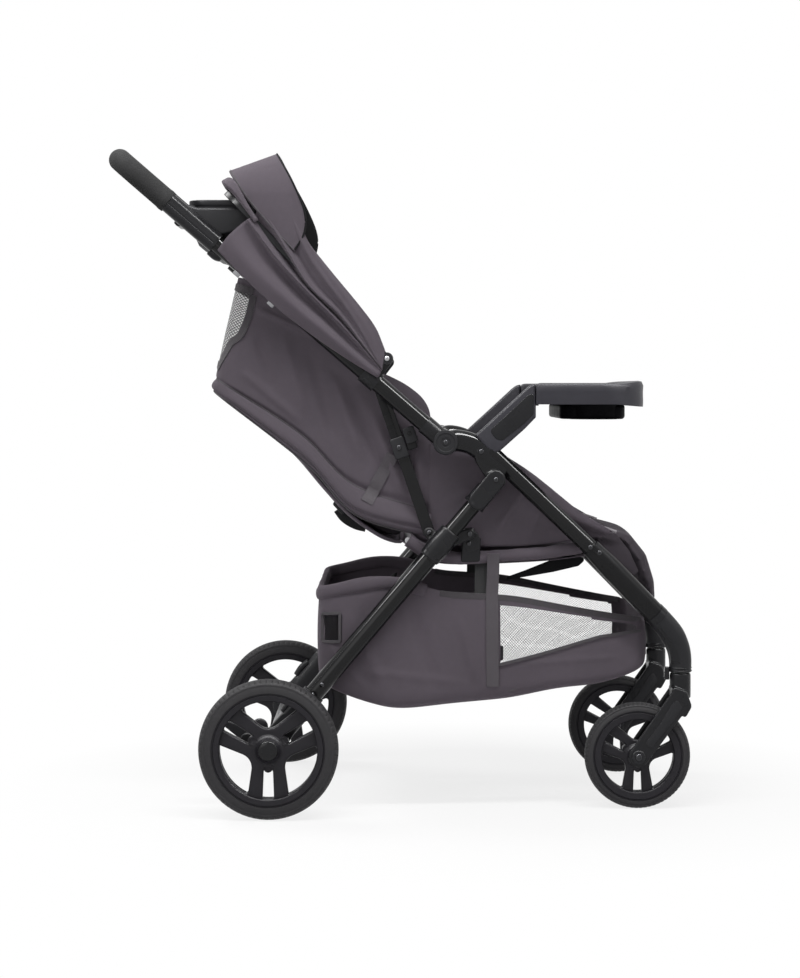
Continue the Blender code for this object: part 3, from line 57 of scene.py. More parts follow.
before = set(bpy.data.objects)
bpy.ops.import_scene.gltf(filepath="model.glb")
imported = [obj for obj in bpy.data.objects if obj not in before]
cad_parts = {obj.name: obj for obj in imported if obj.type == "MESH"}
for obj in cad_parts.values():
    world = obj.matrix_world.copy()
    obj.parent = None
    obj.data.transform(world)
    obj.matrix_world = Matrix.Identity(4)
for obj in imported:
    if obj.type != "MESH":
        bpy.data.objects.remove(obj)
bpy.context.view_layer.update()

SIDES = (-1, 1)

# Pivots and centres, X and Z
HANDLE_PIVOT = (0.0723, 0.5905)
REAR_LEG_PIVOT = (0.1513, 0.5317)
SEAT_PIVOT = (0.3013, 0.4243)
LINK_LOWER = (0.0463, 0.4462)
LINK_UPPER = (-0.0404, 0.7019)
SEAT_BRACKET = (0.1109, 0.4445)
RECLINE_PIVOT = (0.0128, 0.4327)
CANOPY_PIVOT = (-0.0206, 0.7231)
REAR_AXLE = (-0.2063, 0.1100)
FRONT_AXLE = (0.3825, 0.0850)
CASTER_X = 0.4518
TRIGGER_HINGE = (-0.3455, 0.951)
PEDAL_HINGE = (-0.2440, 0.1180)

# Distances from the middle
FRAME_HALF = 0.236
LEG_HALF = 0.243
FRONT_TRACK = 0.180
REAR_TRACK = 0.285
RAIL_HALF = 0.2105

HANDLE_ANGLE = math.radians(139.1)
BACK_ANGLE = math.radians(140.4)

# Distances along the handle from its pivot
TUBE_START = 0.0180
GRIP_START = 0.5816
HANDLE_TOP = 0.692

# Radius at which a turned profile closes on its axis
TIP = 0.0001
# Steps of the simulation that swells a cushion
SWELL_STEPS = 20


# ---------------------------------------------------------------------------
# Settings
# ---------------------------------------------------------------------------


class StrollerFrameSettings(bpy.types.PropertyGroup):
    """Sizes of the tubes and the wheels."""

    tube_radius: FloatProperty(
        name="Tube Radius", description="Outside radius of the upper frame tubes",
        default=0.0135, min=0.010, max=0.016, unit="LENGTH")
    grip_radius: FloatProperty(
        name="Grip Radius", description="Outside radius of the foam grip",
        default=0.0180, min=0.015, max=0.019, unit="LENGTH")
    leg_radius: FloatProperty(
        name="Leg Radius", description="Outside radius of the rear legs",
        default=0.0150, min=0.012, max=0.0152, unit="LENGTH")
    front_wheel_radius: FloatProperty(
        name="Front Wheel Radius", description="Outside radius of the front tyres",
        default=0.085, min=0.070, max=0.088, unit="LENGTH")
    rear_wheel_radius: FloatProperty(
        name="Rear Wheel Radius", description="Outside radius of the rear tyres",
        default=0.110, min=0.090, max=0.113, unit="LENGTH")
    tread_blocks: IntProperty(
        name="Tread Blocks", description="Blocks round each tyre", default=72, min=24, max=120)


class StrollerClothSettings(bpy.types.PropertyGroup):
    """Sizes of the soft goods."""

    pleat_depth: FloatProperty(
        name="Pleat Depth", description="Depth of the folds in the canopy's sides",
        default=0.011, min=0.0, max=0.014, unit="LENGTH")
    cushion_pressure: FloatProperty(
        name="Cushion Pressure", description="Pressure that swells the cushions",
        default=4.0, min=0.0, max=8.0)
    piping_radius: FloatProperty(
        name="Piping Radius", description="Radius of the piping cords along the seams",
        default=0.0024, min=0.001, max=0.004, unit="LENGTH")
    webbing_width: FloatProperty(
        name="Webbing Width", description="Width of the straps",
        default=0.0200, min=0.010, max=0.030, unit="LENGTH")


class StrollerColourSettings(bpy.types.PropertyGroup):
    """Colours of the finishes."""

    paint: FloatVectorProperty(
        name="Paint", description="Gloss paint of the frame tubes", default=(0.006, 0.006, 0.0065),
        size=3, min=0.0, max=1.0, subtype="COLOR")
    plastic: FloatVectorProperty(
        name="Plastic", description="Moulded fittings", default=(0.016, 0.016, 0.018),
        size=3, min=0.0, max=1.0, subtype="COLOR")
    cloth: FloatVectorProperty(
        name="Cloth", description="Woven cover of the seat, canopy and basket",
        default=(0.092, 0.078, 0.093), size=3, min=0.0, max=1.0, subtype="COLOR")
    lining: FloatVectorProperty(
        name="Lining", description="Dark lining and bindings", default=(0.008, 0.008, 0.009),
        size=3, min=0.0, max=1.0, subtype="COLOR")
    tyre: FloatVectorProperty(
        name="Tyre", description="Foam of the tyres", default=(0.028, 0.027, 0.029),
        size=3, min=0.0, max=1.0, subtype="COLOR")
    floor: FloatVectorProperty(
        name="Floor", description="Studio floor", default=(0.86, 0.86, 0.86),
        size=3, min=0.0, max=1.0, subtype="COLOR")


# ---------------------------------------------------------------------------
# Points, paths and sections, worked out as whole arrays
# ---------------------------------------------------------------------------


def along_handle(reach, rise=0.0):
    """X and Z on the handle: the pivot plus reach along the tube and rise square to it."""
    c, s = math.cos(HANDLE_ANGLE), math.sin(HANDLE_ANGLE)
    return (HANDLE_PIVOT[0] + reach * c + rise * s, HANDLE_PIVOT[1] + reach * s - rise * c)


def along_leg(reach, lift=0.0):
    """X and Z on the rear leg: the pivot plus reach down the leg and lift square to it, to the rear."""
    x, z = REAR_AXLE[0] - REAR_LEG_PIVOT[0], REAR_AXLE[1] - REAR_LEG_PIVOT[1]
    size = math.hypot(x, z)
    u = (x / size, z / size)
    return (REAR_LEG_PIVOT[0] + u[0] * reach + u[1] * lift, REAR_LEG_PIVOT[1] + u[1] * reach - u[0] * lift)


LEG_LENGTH = math.dist(REAR_LEG_PIVOT, REAR_AXLE)


def back_point(reach, rise):
    """X and Z on the reclined back: reach along it from the rod and rise out of its front."""
    c, s = math.cos(BACK_ANGLE), math.sin(BACK_ANGLE)
    return (RECLINE_PIVOT[0] - 0.0050 + c * reach + s * rise,
            RECLINE_PIVOT[1] - 0.0080 + s * reach - c * rise)


def at(point, y):
    """A point in X and Z set at a distance across."""
    return (point[0], y, point[1])


def side_name(base, side):
    """The name of a piece at the right side, -1, or the left side, 1."""
    return base + ("_right" if side < 0 else "_left")


def mirrored(points, side):
    """Points with Y multiplied by the side."""
    out = np.array(points, float)
    out[..., 1] *= side
    return out


def travelled(path):
    """The distance along a path from its first point to each of its points."""
    return np.concatenate([[0.0], np.cumsum(np.linalg.norm(np.diff(path, axis=0), axis=1))])


def even(path, count):
    """Points set at equal distances along a path: lengths are summed, then read back linearly."""
    path = np.asarray(path, float)
    reach = travelled(path)
    want = np.linspace(0.0, reach[-1], count)
    return np.stack([np.interp(want, reach, path[:, k]) for k in range(path.shape[1])], axis=1)


def between(low, high, t):
    """Values a share t of the way from one to another."""
    return low + (high - low) * t


def upright(points, y=0.0):
    """Points given in X and Z, set at a distance across."""
    points = np.asarray(points, float)
    return np.column_stack([points[:, 0], np.zeros(len(points)) + y, points[:, 1]])


def level(points, z):
    """Points given in X and Y, set at a height."""
    return np.column_stack([points, np.full(len(points), z)])


def curve(points, count, spaced=True):
    """A smooth curve through points: the cubic whose slope at each point is half its neighbours' span."""
    p = np.asarray(points, float)
    ext = np.vstack([2 * p[:1] - p[1:2], p, 2 * p[-1:] - p[-2:-1]])
    t = np.linspace(0.0, len(p) - 1.0, 24 * (len(p) - 1) + 1 if spaced else count)
    i = np.minimum(t.astype(int), len(p) - 2)
    f = (t - i)[:, None]
    a, b, c, d = ext[i], ext[i + 1], ext[i + 2], ext[i + 3]
    fine = 0.5 * (2 * b + (c - a) * f + (2 * a - 5 * b + 4 * c - d) * f**2 + (3 * b - a - 3 * c + d) * f**3)
    return even(fine, count) if spaced else fine


def fillet(points, radius, steps=8, closed=False):
    """A path whose corners become arcs: each arc touches both sides at radius / tan(half the corner)."""
    p = np.asarray(points, float)
    n = len(p)
    sizes = radius if hasattr(radius, "__len__") else [radius] * n
    out = []
    for i in range(n):
        if not closed and i in (0, n - 1):
            out.append(p[i][None, :])
            continue
        back, ahead = p[i - 1] - p[i], p[(i + 1) % n] - p[i]
        lb, la = np.linalg.norm(back), np.linalg.norm(ahead)
        back, ahead = back / lb, ahead / la
        half = math.acos(max(-1.0, min(1.0, float(back @ ahead)))) / 2
        if half > 1.555 or sizes[i] <= 0:
            out.append(p[i][None, :])
            continue
        r = min(sizes[i], 0.49 * min(lb, la) * math.tan(half))
        middle = p[i] + (back + ahead) / np.linalg.norm(back + ahead) * (r / math.sin(half))
        first = p[i] + back * (r / math.tan(half)) - middle
        last = p[i] + ahead * (r / math.tan(half)) - middle
        sweep = math.pi - 2 * half
        t = np.linspace(0.0, 1.0, steps + 1)[:, None]
        out.append(middle + (first * np.sin((1 - t) * sweep) + last * np.sin(t * sweep)) / math.sin(sweep))
    return np.vstack(out)


def rounded(points, radius, steps=5):
    """A closed outline whose corners become arcs."""
    return fillet(points, radius, steps, closed=True)


def arc(centre, radius, start, end, steps):
    """Points of a circle's arc between two angles in degrees, as centre + radius (cos, sin)."""
    a = np.radians(np.linspace(start, end, steps + 1))
    return np.stack([centre[0] + radius * np.cos(a), centre[1] + radius * np.sin(a)], axis=1)


def arch(reach, half, corner, start, leg_points, top_points):
    """An arch's outline: up one leg, round the corner, across and down again.

    Each point is its reach from the pivot and its distance from the middle.
    """
    leg = np.column_stack([np.linspace(start, reach - corner, leg_points), np.full(leg_points, half)])
    a = np.linspace(0.0, np.pi / 2, 13)[1:]
    turn = np.column_stack([reach - corner + corner * np.sin(a), half - corner + corner * np.cos(a)])
    across = np.linspace(half - corner, corner - half, top_points + 2)[1:-1]
    top = np.column_stack([np.full(top_points, reach), across])
    near = np.vstack([leg, turn])
    return np.vstack([near, top, near[::-1] * (1, -1)])


def round_trip(loop, count):
    """Points set at equal distances round a closed outline."""
    return even(np.vstack([loop, loop[:1]]), count + 1)[:-1]


def stadium(start, end, first, second, steps=14):
    """An outline round two circles in X and Z: two half circles joined by straight sides."""
    lean = math.degrees(math.atan2(end[1] - start[1], end[0] - start[0]))
    return np.vstack([arc(end, second, lean - 90, lean + 90, steps),
                      arc(start, first, lean + 90, lean + 270, steps)])


def rounded_box(low, high, radius, steps=8):
    """A rectangle between two corners with rounded corners."""
    corners = [(low[0], low[1]), (high[0], low[1]), (high[0], high[1]), (low[0], high[1])]
    return rounded(corners, radius, steps)


def circle(radius, sides=32):
    """A round section, radius (cos, sin)."""
    a = 2 * np.pi * np.arange(sides) / sides
    return np.stack([radius * np.cos(a), radius * np.sin(a)], axis=1)


def oval(wide, high, sides=32, power=2.0):
    """A section |a / wide|^p + |b / high|^p = 1, round at power 2 and squarer above it."""
    a = 2 * np.pi * np.arange(sides) / sides
    c, s = np.cos(a), np.sin(a)
    return np.stack([wide * np.sign(c) * np.abs(c) ** (2 / power),
                     high * np.sign(s) * np.abs(s) ** (2 / power)], axis=1)


def bump(t, centre, width):
    """A smooth hill of height 1: exp of minus the squared distance from its centre in widths."""
    return np.exp(-(((t - centre) / width) ** 2))


def smooth_step(t, low, high):
    """0 below low, 1 above high, and 3x^2 - 2x^3 between them."""
    x = np.clip((t - low) / (high - low), 0.0, 1.0)
    return x * x * (3 - 2 * x)


# ---------------------------------------------------------------------------
# Shells: arrays of points and faces
# ---------------------------------------------------------------------------


def grid(points, wrap_u=False, wrap_v=False, cap=False, finish=0, flip=False):
    """Quads between the rows u and columns v of a grid of points, with UV in metres of arc length."""
    p = np.asarray(points, float)
    nu, nv = p.shape[:2]
    i, j = np.meshgrid(np.arange(nu if wrap_u else nu - 1), np.arange(nv if wrap_v else nv - 1),
                       indexing="ij")
    i, j = i.ravel(), j.ravel()
    ci, cj = np.stack([i, i + 1, i + 1, i], axis=1), np.stack([j, j, j + 1, j + 1], axis=1)
    if flip:
        ci, cj = ci[:, ::-1], cj[:, ::-1]
    faces = (ci % nu) * nv + cj % nv
    du = np.linalg.norm(np.diff(p, axis=0, append=p[:1]), axis=2).mean(axis=1)
    dv = np.linalg.norm(np.diff(p, axis=1, append=p[:, :1]), axis=2).mean(axis=0)
    u = np.concatenate([[0.0], np.cumsum(du)])
    v = np.concatenate([[0.0], np.cumsum(dv)])
    uv = np.stack([u[ci], v[cj]], axis=2).reshape(-1, 2)
    loops, sizes = [faces.ravel()], [np.full(len(faces), 4)]
    if cap:
        first, last = np.arange(nv)[::-1], np.arange(nv) + (nu - 1) * nv
        loops += [first, last]
        sizes.append(np.array([nv, nv]))
        uv = np.vstack([uv, np.zeros((2 * nv, 2))])
    return {"co": p.reshape(-1, 3), "loops": np.concatenate(loops), "sizes": np.concatenate(sizes),
            "uv": uv, "finish": finish}


def frames(path, up, closed=False):
    """Two unit directions square to a path, the first nearest to up."""
    along = np.roll(path, -1, axis=0) - np.roll(path, 1, axis=0) if closed else np.gradient(path, axis=0)
    along /= np.linalg.norm(along, axis=1)[:, None]
    up = np.broadcast_to(np.asarray(up, float), path.shape)
    across = up - along * np.sum(along * up, axis=1)[:, None]
    across /= np.linalg.norm(across, axis=1)[:, None]
    return across, np.cross(along, across)


def swept(path, section, up=(0.0, 1.0, 0.0), scale=None):
    """A section carried along a path: point + scale (a across + b other) at every station."""
    path = np.asarray(path, float)
    across, other = frames(path, up)
    size = np.ones(len(path)) if scale is None else np.asarray(scale, float)
    section = np.asarray(section, float)
    if section.ndim == 2:
        section = np.broadcast_to(section, (len(path), *section.shape))
    a = section[:, :, 0] * size[:, None]
    b = section[:, :, 1] * size[:, None]
    return path[:, None, :] + a[:, :, None] * across[:, None, :] + b[:, :, None] * other[:, None, :]


def bar(path, section, up=(0.0, 1.0, 0.0), scale=None, round_end=0.0, finish=0):
    """A closed bar along a path; its ends are drawn in along a quarter circle of radius round_end."""
    path = np.asarray(path, float)
    size = np.ones(len(path)) if scale is None else np.asarray(scale, float)
    if not hasattr(section, "__len__"):
        section = circle(section)
    if round_end > 0:
        half = float(np.abs(np.asarray(section)).max())
        a = np.radians(np.linspace(8, 90, 6))
        inset = round_end * (1 - np.sin(a))
        shrink = 1 - round_end * (1 - np.cos(np.pi / 2 - a)) / half
        lead = (path[1] - path[0]) / np.linalg.norm(path[1] - path[0])
        tail = (path[-2] - path[-1]) / np.linalg.norm(path[-2] - path[-1])
        path = np.vstack([path[0] + lead * inset[:, None], path[1:-1], path[-1] + tail * inset[::-1, None]])
        size = np.concatenate([size[0] * shrink, size[1:-1], size[-1] * shrink[::-1]])
    return grid(swept(path, section, up, size), wrap_v=True, cap=True, finish=finish)


def turned(profile, centre, axis="Y", sides=48, finish=0, start=0.0):
    """A closed profile of radius and height turned about an axis through a centre."""
    p = np.asarray(profile, float)
    a = 2 * np.pi * np.arange(sides) / sides + start
    r, h = p[:, 0], p[:, 1]
    c, s = np.cos(a)[:, None], np.sin(a)[:, None]
    if axis == "Y":
        parts = (centre[0] + r * c, centre[1] + h + 0 * c, centre[2] + r * s)
    elif axis == "Z":
        parts = (centre[0] + r * c, centre[1] + r * s, centre[2] + h + 0 * c)
    else:
        parts = (centre[0] + h + 0 * c, centre[1] + r * c, centre[2] + r * s)
    return grid(np.stack(parts, axis=2), wrap_u=True, wrap_v=True, finish=finish)


def dome(centre, radius, height, side, sides=24, finish=0, recess=0.0):
    """A round head on a face that looks along Y: a flat edge, a domed top and a socket in its middle."""
    top = np.linspace(0.0, 1.0, 7)
    r = radius * np.cos(top * np.pi / 2) ** 0.6
    h = height * (0.25 + 0.75 * np.sin(top * np.pi / 2))
    profile = [(TIP, 0.0), (radius, 0.0)] + list(zip(r[:-1], h[:-1]))
    if recess > 0:
        floor = height * (1 - recess)
        profile = profile[:-2] + [(radius * 0.42, height * 0.96), (radius * 0.36, floor), (TIP, floor)]
    else:
        profile.append((TIP, height))
    return turned([(a, side * b) for a, b in profile], centre, "Y", sides, finish)


def drum(centre, low, high, face, radius, sides):
    """A disc between two distances from the middle, its edges cut back to the radius of its faces."""
    profile = [(TIP, low), (face, low), (radius, low + 0.002), (radius, high - 0.002), (face, high),
               (TIP, high)]
    return turned(profile, at(centre, 0.0), sides=sides)


def torus(path, radius, up, finish=0, sides=12):
    """A closed loop of round section along a path."""
    across, other = frames(path, up, closed=True)
    ring = circle(radius, sides)[None, :, :, None]
    rows = path[:, None, :] + ring[:, :, 0] * across[:, None, :] + ring[:, :, 1] * other[:, None, :]
    return grid(rows, wrap_u=True, wrap_v=True, finish=finish)


def placed(name, data):
    """A new object with its data, linked to the scene."""
    made = bpy.data.objects.new(name, data)
    bpy.context.scene.collection.objects.link(made)
    return made


def evaluated(made):
    """An object with its modifiers worked out."""
    return made.evaluated_get(bpy.context.evaluated_depsgraph_get())


def points_of(mesh):
    """A mesh's points as rows of X, Y and Z."""
    co = np.empty(len(mesh.vertices) * 3)
    mesh.vertices.foreach_get("co", co)
    return co.reshape(-1, 3)


def arrays_of(made):
    """Points, corner indices and face sizes of an object's final shape; the object is then deleted."""
    mesh = bpy.data.meshes.new_from_object(evaluated(made))
    bpy.data.objects.remove(made)
    index = np.empty(len(mesh.loops), int)
    mesh.loops.foreach_get("vertex_index", index)
    sizes = np.empty(len(mesh.polygons), int)
    mesh.polygons.foreach_get("loop_total", sizes)
    co = points_of(mesh)
    bpy.data.meshes.remove(mesh)
    return co, index, sizes


def shell_of(co, index, sizes, finish):
    """A shell from arrays, with UV from its X and Z."""
    return {"co": co, "loops": index, "sizes": sizes, "uv": co[index][:, [0, 2]], "finish": finish}


def plate(loops, low, high, bevel=0.0015, origin=(0, 0, 0), u=(1, 0, 0), v=(0, 0, 1), finish=0, steps=2):
    """A flat outline with its holes, given a thickness and rounded edges.

    Outlines lie in the plane of u and v. Low and high are heights along v x u, which is +Y for u = X and
    v = Z.
    """
    flat = bpy.data.curves.new("outline", "CURVE")
    flat.dimensions = "2D"
    flat.fill_mode = "BOTH"
    bevel = min(bevel, (high - low) * 0.45)
    flat.extrude = (high - low) / 2 - bevel
    flat.bevel_depth = bevel
    flat.bevel_resolution = steps
    flat.offset = -bevel
    for loop in loops:
        spline = flat.splines.new("POLY")
        spline.points.add(len(loop) - 1)
        four = np.column_stack([loop, np.zeros(len(loop)), np.ones(len(loop))])
        spline.points.foreach_set("co", four.ravel())
        spline.use_cyclic_u = True
    co, index, sizes = arrays_of(placed("outline", flat))
    bpy.data.curves.remove(flat)
    a, b = np.array(u, float), np.array(v, float)
    middle = (low + high) / 2
    co = np.array(origin, float) + co[:, :1] * a + co[:, 1:2] * b + (middle - co[:, 2:3]) * np.cross(b, a)
    return shell_of(co, index, sizes, finish)


def side_plate(loops, side, inner, outer, bevel=0.0015, **more):
    """A plate at one side, between two distances from the middle; its outlines are in X and Z."""
    return plate(loops, *sorted((side * inner, side * outer)), bevel, **more)


def level_plate(loops, low, high, bevel=0.0015, **more):
    """A plate between two heights; its outlines are in X and Y."""
    return plate(loops, -high, -low, bevel, v=(0, 1, 0), **more)


def mesh_from(name, shells, closed=True):
    """One mesh from shells; closed shells get faces that point outwards."""
    mesh = bpy.data.meshes.new(name)
    offsets = np.cumsum([0] + [len(s["co"]) for s in shells])
    co = np.vstack([s["co"] for s in shells])
    loops = np.concatenate([s["loops"] + offsets[k] for k, s in enumerate(shells)])
    sizes = np.concatenate([s["sizes"] for s in shells])
    finish = np.concatenate([np.full(len(s["sizes"]), s["finish"]) for s in shells])
    mesh.vertices.add(len(co))
    mesh.vertices.foreach_set("co", co.ravel())
    mesh.loops.add(len(loops))
    mesh.loops.foreach_set("vertex_index", loops.astype(np.int32))
    mesh.polygons.add(len(sizes))
    starts = np.concatenate([[0], np.cumsum(sizes)[:-1]])
    mesh.polygons.foreach_set("loop_start", starts.astype(np.int32))
    mesh.polygons.foreach_set("material_index", finish.astype(np.int32))
    mesh.update(calc_edges=True)
    layer = mesh.uv_layers.new(name="cloth")
    layer.data.foreach_set("uv", np.vstack([s["uv"] for s in shells]).ravel())
    bm = bmesh.new()
    bm.from_mesh(mesh)
    bmesh.ops.remove_doubles(bm, verts=bm.verts, dist=1e-6)
    if closed:
        bmesh.ops.recalc_face_normals(bm, faces=bm.faces)
    bm.to_mesh(mesh)
    bm.free()
    mesh.validate()
    return mesh


def piece(name, shells, finishes, body, replaces=(), closed=True, angle=40.0, thick=0.0,
          offset=-1.0):
    """An object made of shells that moves with a body and stands for the named nodes."""
    if not isinstance(shells, list):
        shells = [shells]
    if not isinstance(finishes, list):
        finishes = [finishes]
    mesh = mesh_from(name, shells, closed)
    for finish in finishes:
        mesh.materials.append(FINISH[finish])
    mesh.shade_smooth()
    mesh.set_sharp_from_angle(angle=math.radians(angle))
    made = placed(name, mesh)
    if thick > 0:
        wall = made.modifiers.new("thickness", "SOLIDIFY")
        wall.thickness = thick
        wall.offset = offset
        wall.use_even_offset = False
    if body:
        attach(made, body)
    if replaces:
        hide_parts(*([replaces] if isinstance(replaces, str) else replaces))
    return made


def cloth_piece(name, shells, finishes, body, replaces=(), thick=0.0, offset=-1.0, lined=False):
    """An open cloth surface, smooth all over; a lined one shows its second finish inside."""
    made = piece(name, shells, finishes, body, replaces, closed=False, angle=180, thick=thick,
                 offset=offset)
    if lined:
        made.modifiers["thickness"].material_offset = 1
    return made


def melted(name, shells, voxel):
    """A new object of overlapping shells, joined into one skin on a voxel grid."""
    blank = placed(name, mesh_from(name, shells))
    melt = blank.modifiers.new("melt", "REMESH")
    melt.mode = "VOXEL"
    melt.voxel_size = voxel
    return blank


def moulded(shells, voxel=0.0012, smooth=6):
    """Overlapping shells melted into one skin, then relaxed towards their neighbours."""
    blank = melted("blank", shells, voxel)
    mesh = blank.data
    relax = blank.modifiers.new("relax", "SMOOTH")
    relax.factor = 0.5
    relax.iterations = smooth
    skin = shell_of(*arrays_of(blank), 0)
    bpy.data.meshes.remove(mesh)
    return skin


def cushion(name, rows, body, replaces, voxel=0.005, cap=0.009):
    """A pad swollen by simulated pressure, with its travel capped, then subdivided once.

    The rest shape is remeshed to one voxel size; every point then moves by at most cap.
    """
    blank = melted(name + "_blank", [grid(np.stack(rows), wrap_v=True, cap=True)], voxel)
    rest = bpy.data.meshes.new_from_object(evaluated(blank))
    bpy.data.objects.remove(blank)
    made = placed(name, rest)
    scene = bpy.context.scene
    co = points_of(rest)
    swell = made.modifiers.new("swell", "CLOTH")
    swell.settings.quality = 4
    swell.settings.use_pressure = True
    swell.settings.uniform_pressure_force = scene.stroller_cloth.cushion_pressure
    swell.settings.effector_weights.gravity = 0.0
    for step in range(1, SWELL_STEPS + 1):
        scene.frame_set(step)
    shift = points_of(evaluated(made).data) - co
    made.modifiers.remove(swell)
    scene.frame_set(1)
    size = np.linalg.norm(shift, axis=1)
    moved = co + shift * np.minimum(1.0, cap / np.maximum(size, 1e-9))[:, None]
    rest.vertices.foreach_set("co", moved.ravel())
    rest.update()
    rest.materials.append(FINISH["pad"])
    rest.shade_smooth()
    smoothing = made.modifiers.new("subdivision", "SUBSURF")
    smoothing.levels = smoothing.render_levels = 1
    if body:
        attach(made, body)
    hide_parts(*([replaces] if isinstance(replaces, str) else replaces))
    return made


# ---------------------------------------------------------------------------
# Finishes
# ---------------------------------------------------------------------------

FINISH = {}
GROUP = {}


def new_group(name, inputs, outputs):
    """A shader node group with its sockets, and its two end nodes."""
    made = bpy.data.node_groups.new(name, "ShaderNodeTree")
    for label, kind, value in inputs:
        socket = made.interface.new_socket(name=label, in_out="INPUT", socket_type=kind)
        if value is not None:
            socket.default_value = value
    for label, kind in outputs:
        made.interface.new_socket(name=label, in_out="OUTPUT", socket_type=kind)
    return made, made.nodes.new("NodeGroupInput"), made.nodes.new("NodeGroupOutput")


class Nodes:
    """Short calls for adding and joining nodes in one tree."""

    def __init__(self, tree):
        self.tree = tree

    def add(self, kind, **settings):
        node = self.tree.nodes.new(kind)
        for key, value in settings.items():
            setattr(node, key, value)
        return node

    def join(self, out, into):
        self.tree.links.new(out, into)

    def put(self, socket, value):
        if isinstance(value, bpy.types.NodeSocket):
            self.join(value, socket)
        elif value is not None:
            socket.default_value = value

    def math(self, operation, a, b=None, c=None):
        node = self.add("ShaderNodeMath", operation=operation)
        for k, value in enumerate((a, b, c)):
            self.put(node.inputs[k], value)
        return node.outputs[0]

    def noise(self, vector, scale, detail=3.0, rough=0.55):
        node = self.add("ShaderNodeTexNoise")
        self.put(node.inputs["Vector"], vector)
        self.put(node.inputs["Scale"], scale)
        node.inputs["Detail"].default_value = detail
        node.inputs["Roughness"].default_value = rough
        return node.outputs["Fac"]

    def map_range(self, value, low, high, to_low=0.0, to_high=1.0):
        node = self.add("ShaderNodeMapRange")
        self.put(node.inputs["Value"], value)
        for label, number in (("From Min", low), ("From Max", high), ("To Min", to_low),
                              ("To Max", to_high)):
            self.put(node.inputs[label], number)
        return node.outputs["Result"]

    def blend(self, factor, a, b, mode="MIX"):
        node = self.add("ShaderNodeMix", data_type="RGBA", blend_type=mode)
        self.put(node.inputs["Factor"], factor)
        self.put(node.inputs["A"], a)
        self.put(node.inputs["B"], b)
        return next(o for o in node.outputs if o.type == "RGBA")


def weave_group():
    """Plain weave: rounded threads |sin| along each axis, the upper one picked by the sign of sin x sin y."""
    tree, start, end = new_group(
        "plain_weave",
        [("Vector", "NodeSocketVector", None), ("Threads per Metre", "NodeSocketFloat", 1400.0)],
        [("Height", "NodeSocketFloat"), ("Shade", "NodeSocketFloat")])
    n = Nodes(tree)
    scaled = n.add("ShaderNodeVectorMath", operation="SCALE")
    n.join(start.outputs[0], scaled.inputs[0])
    n.join(start.outputs[1], scaled.inputs["Scale"])
    split = n.add("ShaderNodeSeparateXYZ")
    n.join(scaled.outputs[0], split.inputs[0])
    waves = [n.math("SINE", n.math("MULTIPLY", split.outputs[k], math.pi)) for k in (0, 1)]
    over = n.map_range(n.math("MULTIPLY", waves[0], waves[1]), -0.2, 0.2)
    warp, weft = n.math("ABSOLUTE", waves[0]), n.math("ABSOLUTE", waves[1])
    height = n.math("ADD", n.math("MULTIPLY", warp, over),
                    n.math("MULTIPLY", weft, n.math("SUBTRACT", 1.0, over)))
    slub = n.noise(start.outputs[0], 900.0, 1.0)
    n.join(n.math("ADD", height, n.math("MULTIPLY", slub, 0.35)), end.inputs[0])
    n.join(n.map_range(over, 0.0, 1.0, 0.90, 1.06), end.inputs[1])
    return tree


def mottle_group():
    """Colour times a wide and a fine noise, so that a surface is never one flat colour."""
    tree, start, end = new_group(
        "mottle",
        [("Color", "NodeSocketColor", (0.5, 0.5, 0.5, 1)), ("Vector", "NodeSocketVector", None),
         ("Scale", "NodeSocketFloat", 12.0), ("Amount", "NodeSocketFloat", 0.15)],
        [("Color", "NodeSocketColor"), ("Mask", "NodeSocketFloat")])
    n = Nodes(tree)
    wide = n.noise(start.outputs[1], start.outputs[2], 2.0)
    fine = n.noise(start.outputs[1], n.math("MULTIPLY", start.outputs[2], 14.0), 3.0)
    both = n.math("ADD", n.math("MULTIPLY", wide, 0.65), n.math("MULTIPLY", fine, 0.35))
    swing = n.math("MULTIPLY", n.math("SUBTRACT", both, 0.5), n.math("MULTIPLY", start.outputs[3], 4.0))
    level = n.math("ADD", 1.0, swing)
    scaled = n.add("ShaderNodeVectorMath", operation="SCALE")
    n.join(start.outputs[0], scaled.inputs[0])
    n.join(level, scaled.inputs["Scale"])
    n.join(scaled.outputs[0], end.inputs[0])
    n.join(both, end.inputs[1])
    return tree


def grain_group():
    """Moulded grain: small cells softened by fine noise."""
    tree, start, end = new_group(
        "moulded_grain",
        [("Vector", "NodeSocketVector", None), ("Scale", "NodeSocketFloat", 900.0)],
        [("Height", "NodeSocketFloat"), ("Mask", "NodeSocketFloat")])
    n = Nodes(tree)
    cells = n.add("ShaderNodeTexVoronoi")
    n.join(start.outputs[0], cells.inputs["Vector"])
    n.join(start.outputs[1], cells.inputs["Scale"])
    fine = n.noise(start.outputs[0], n.math("MULTIPLY", start.outputs[1], 1.7), 2.0)
    n.join(n.math("ADD", n.math("MULTIPLY", cells.outputs["Distance"], 0.7), n.math("MULTIPLY", fine, 0.5)),
           end.inputs[0])
    n.join(n.noise(start.outputs[0], 30.0, 2.0), end.inputs[1])
    return tree


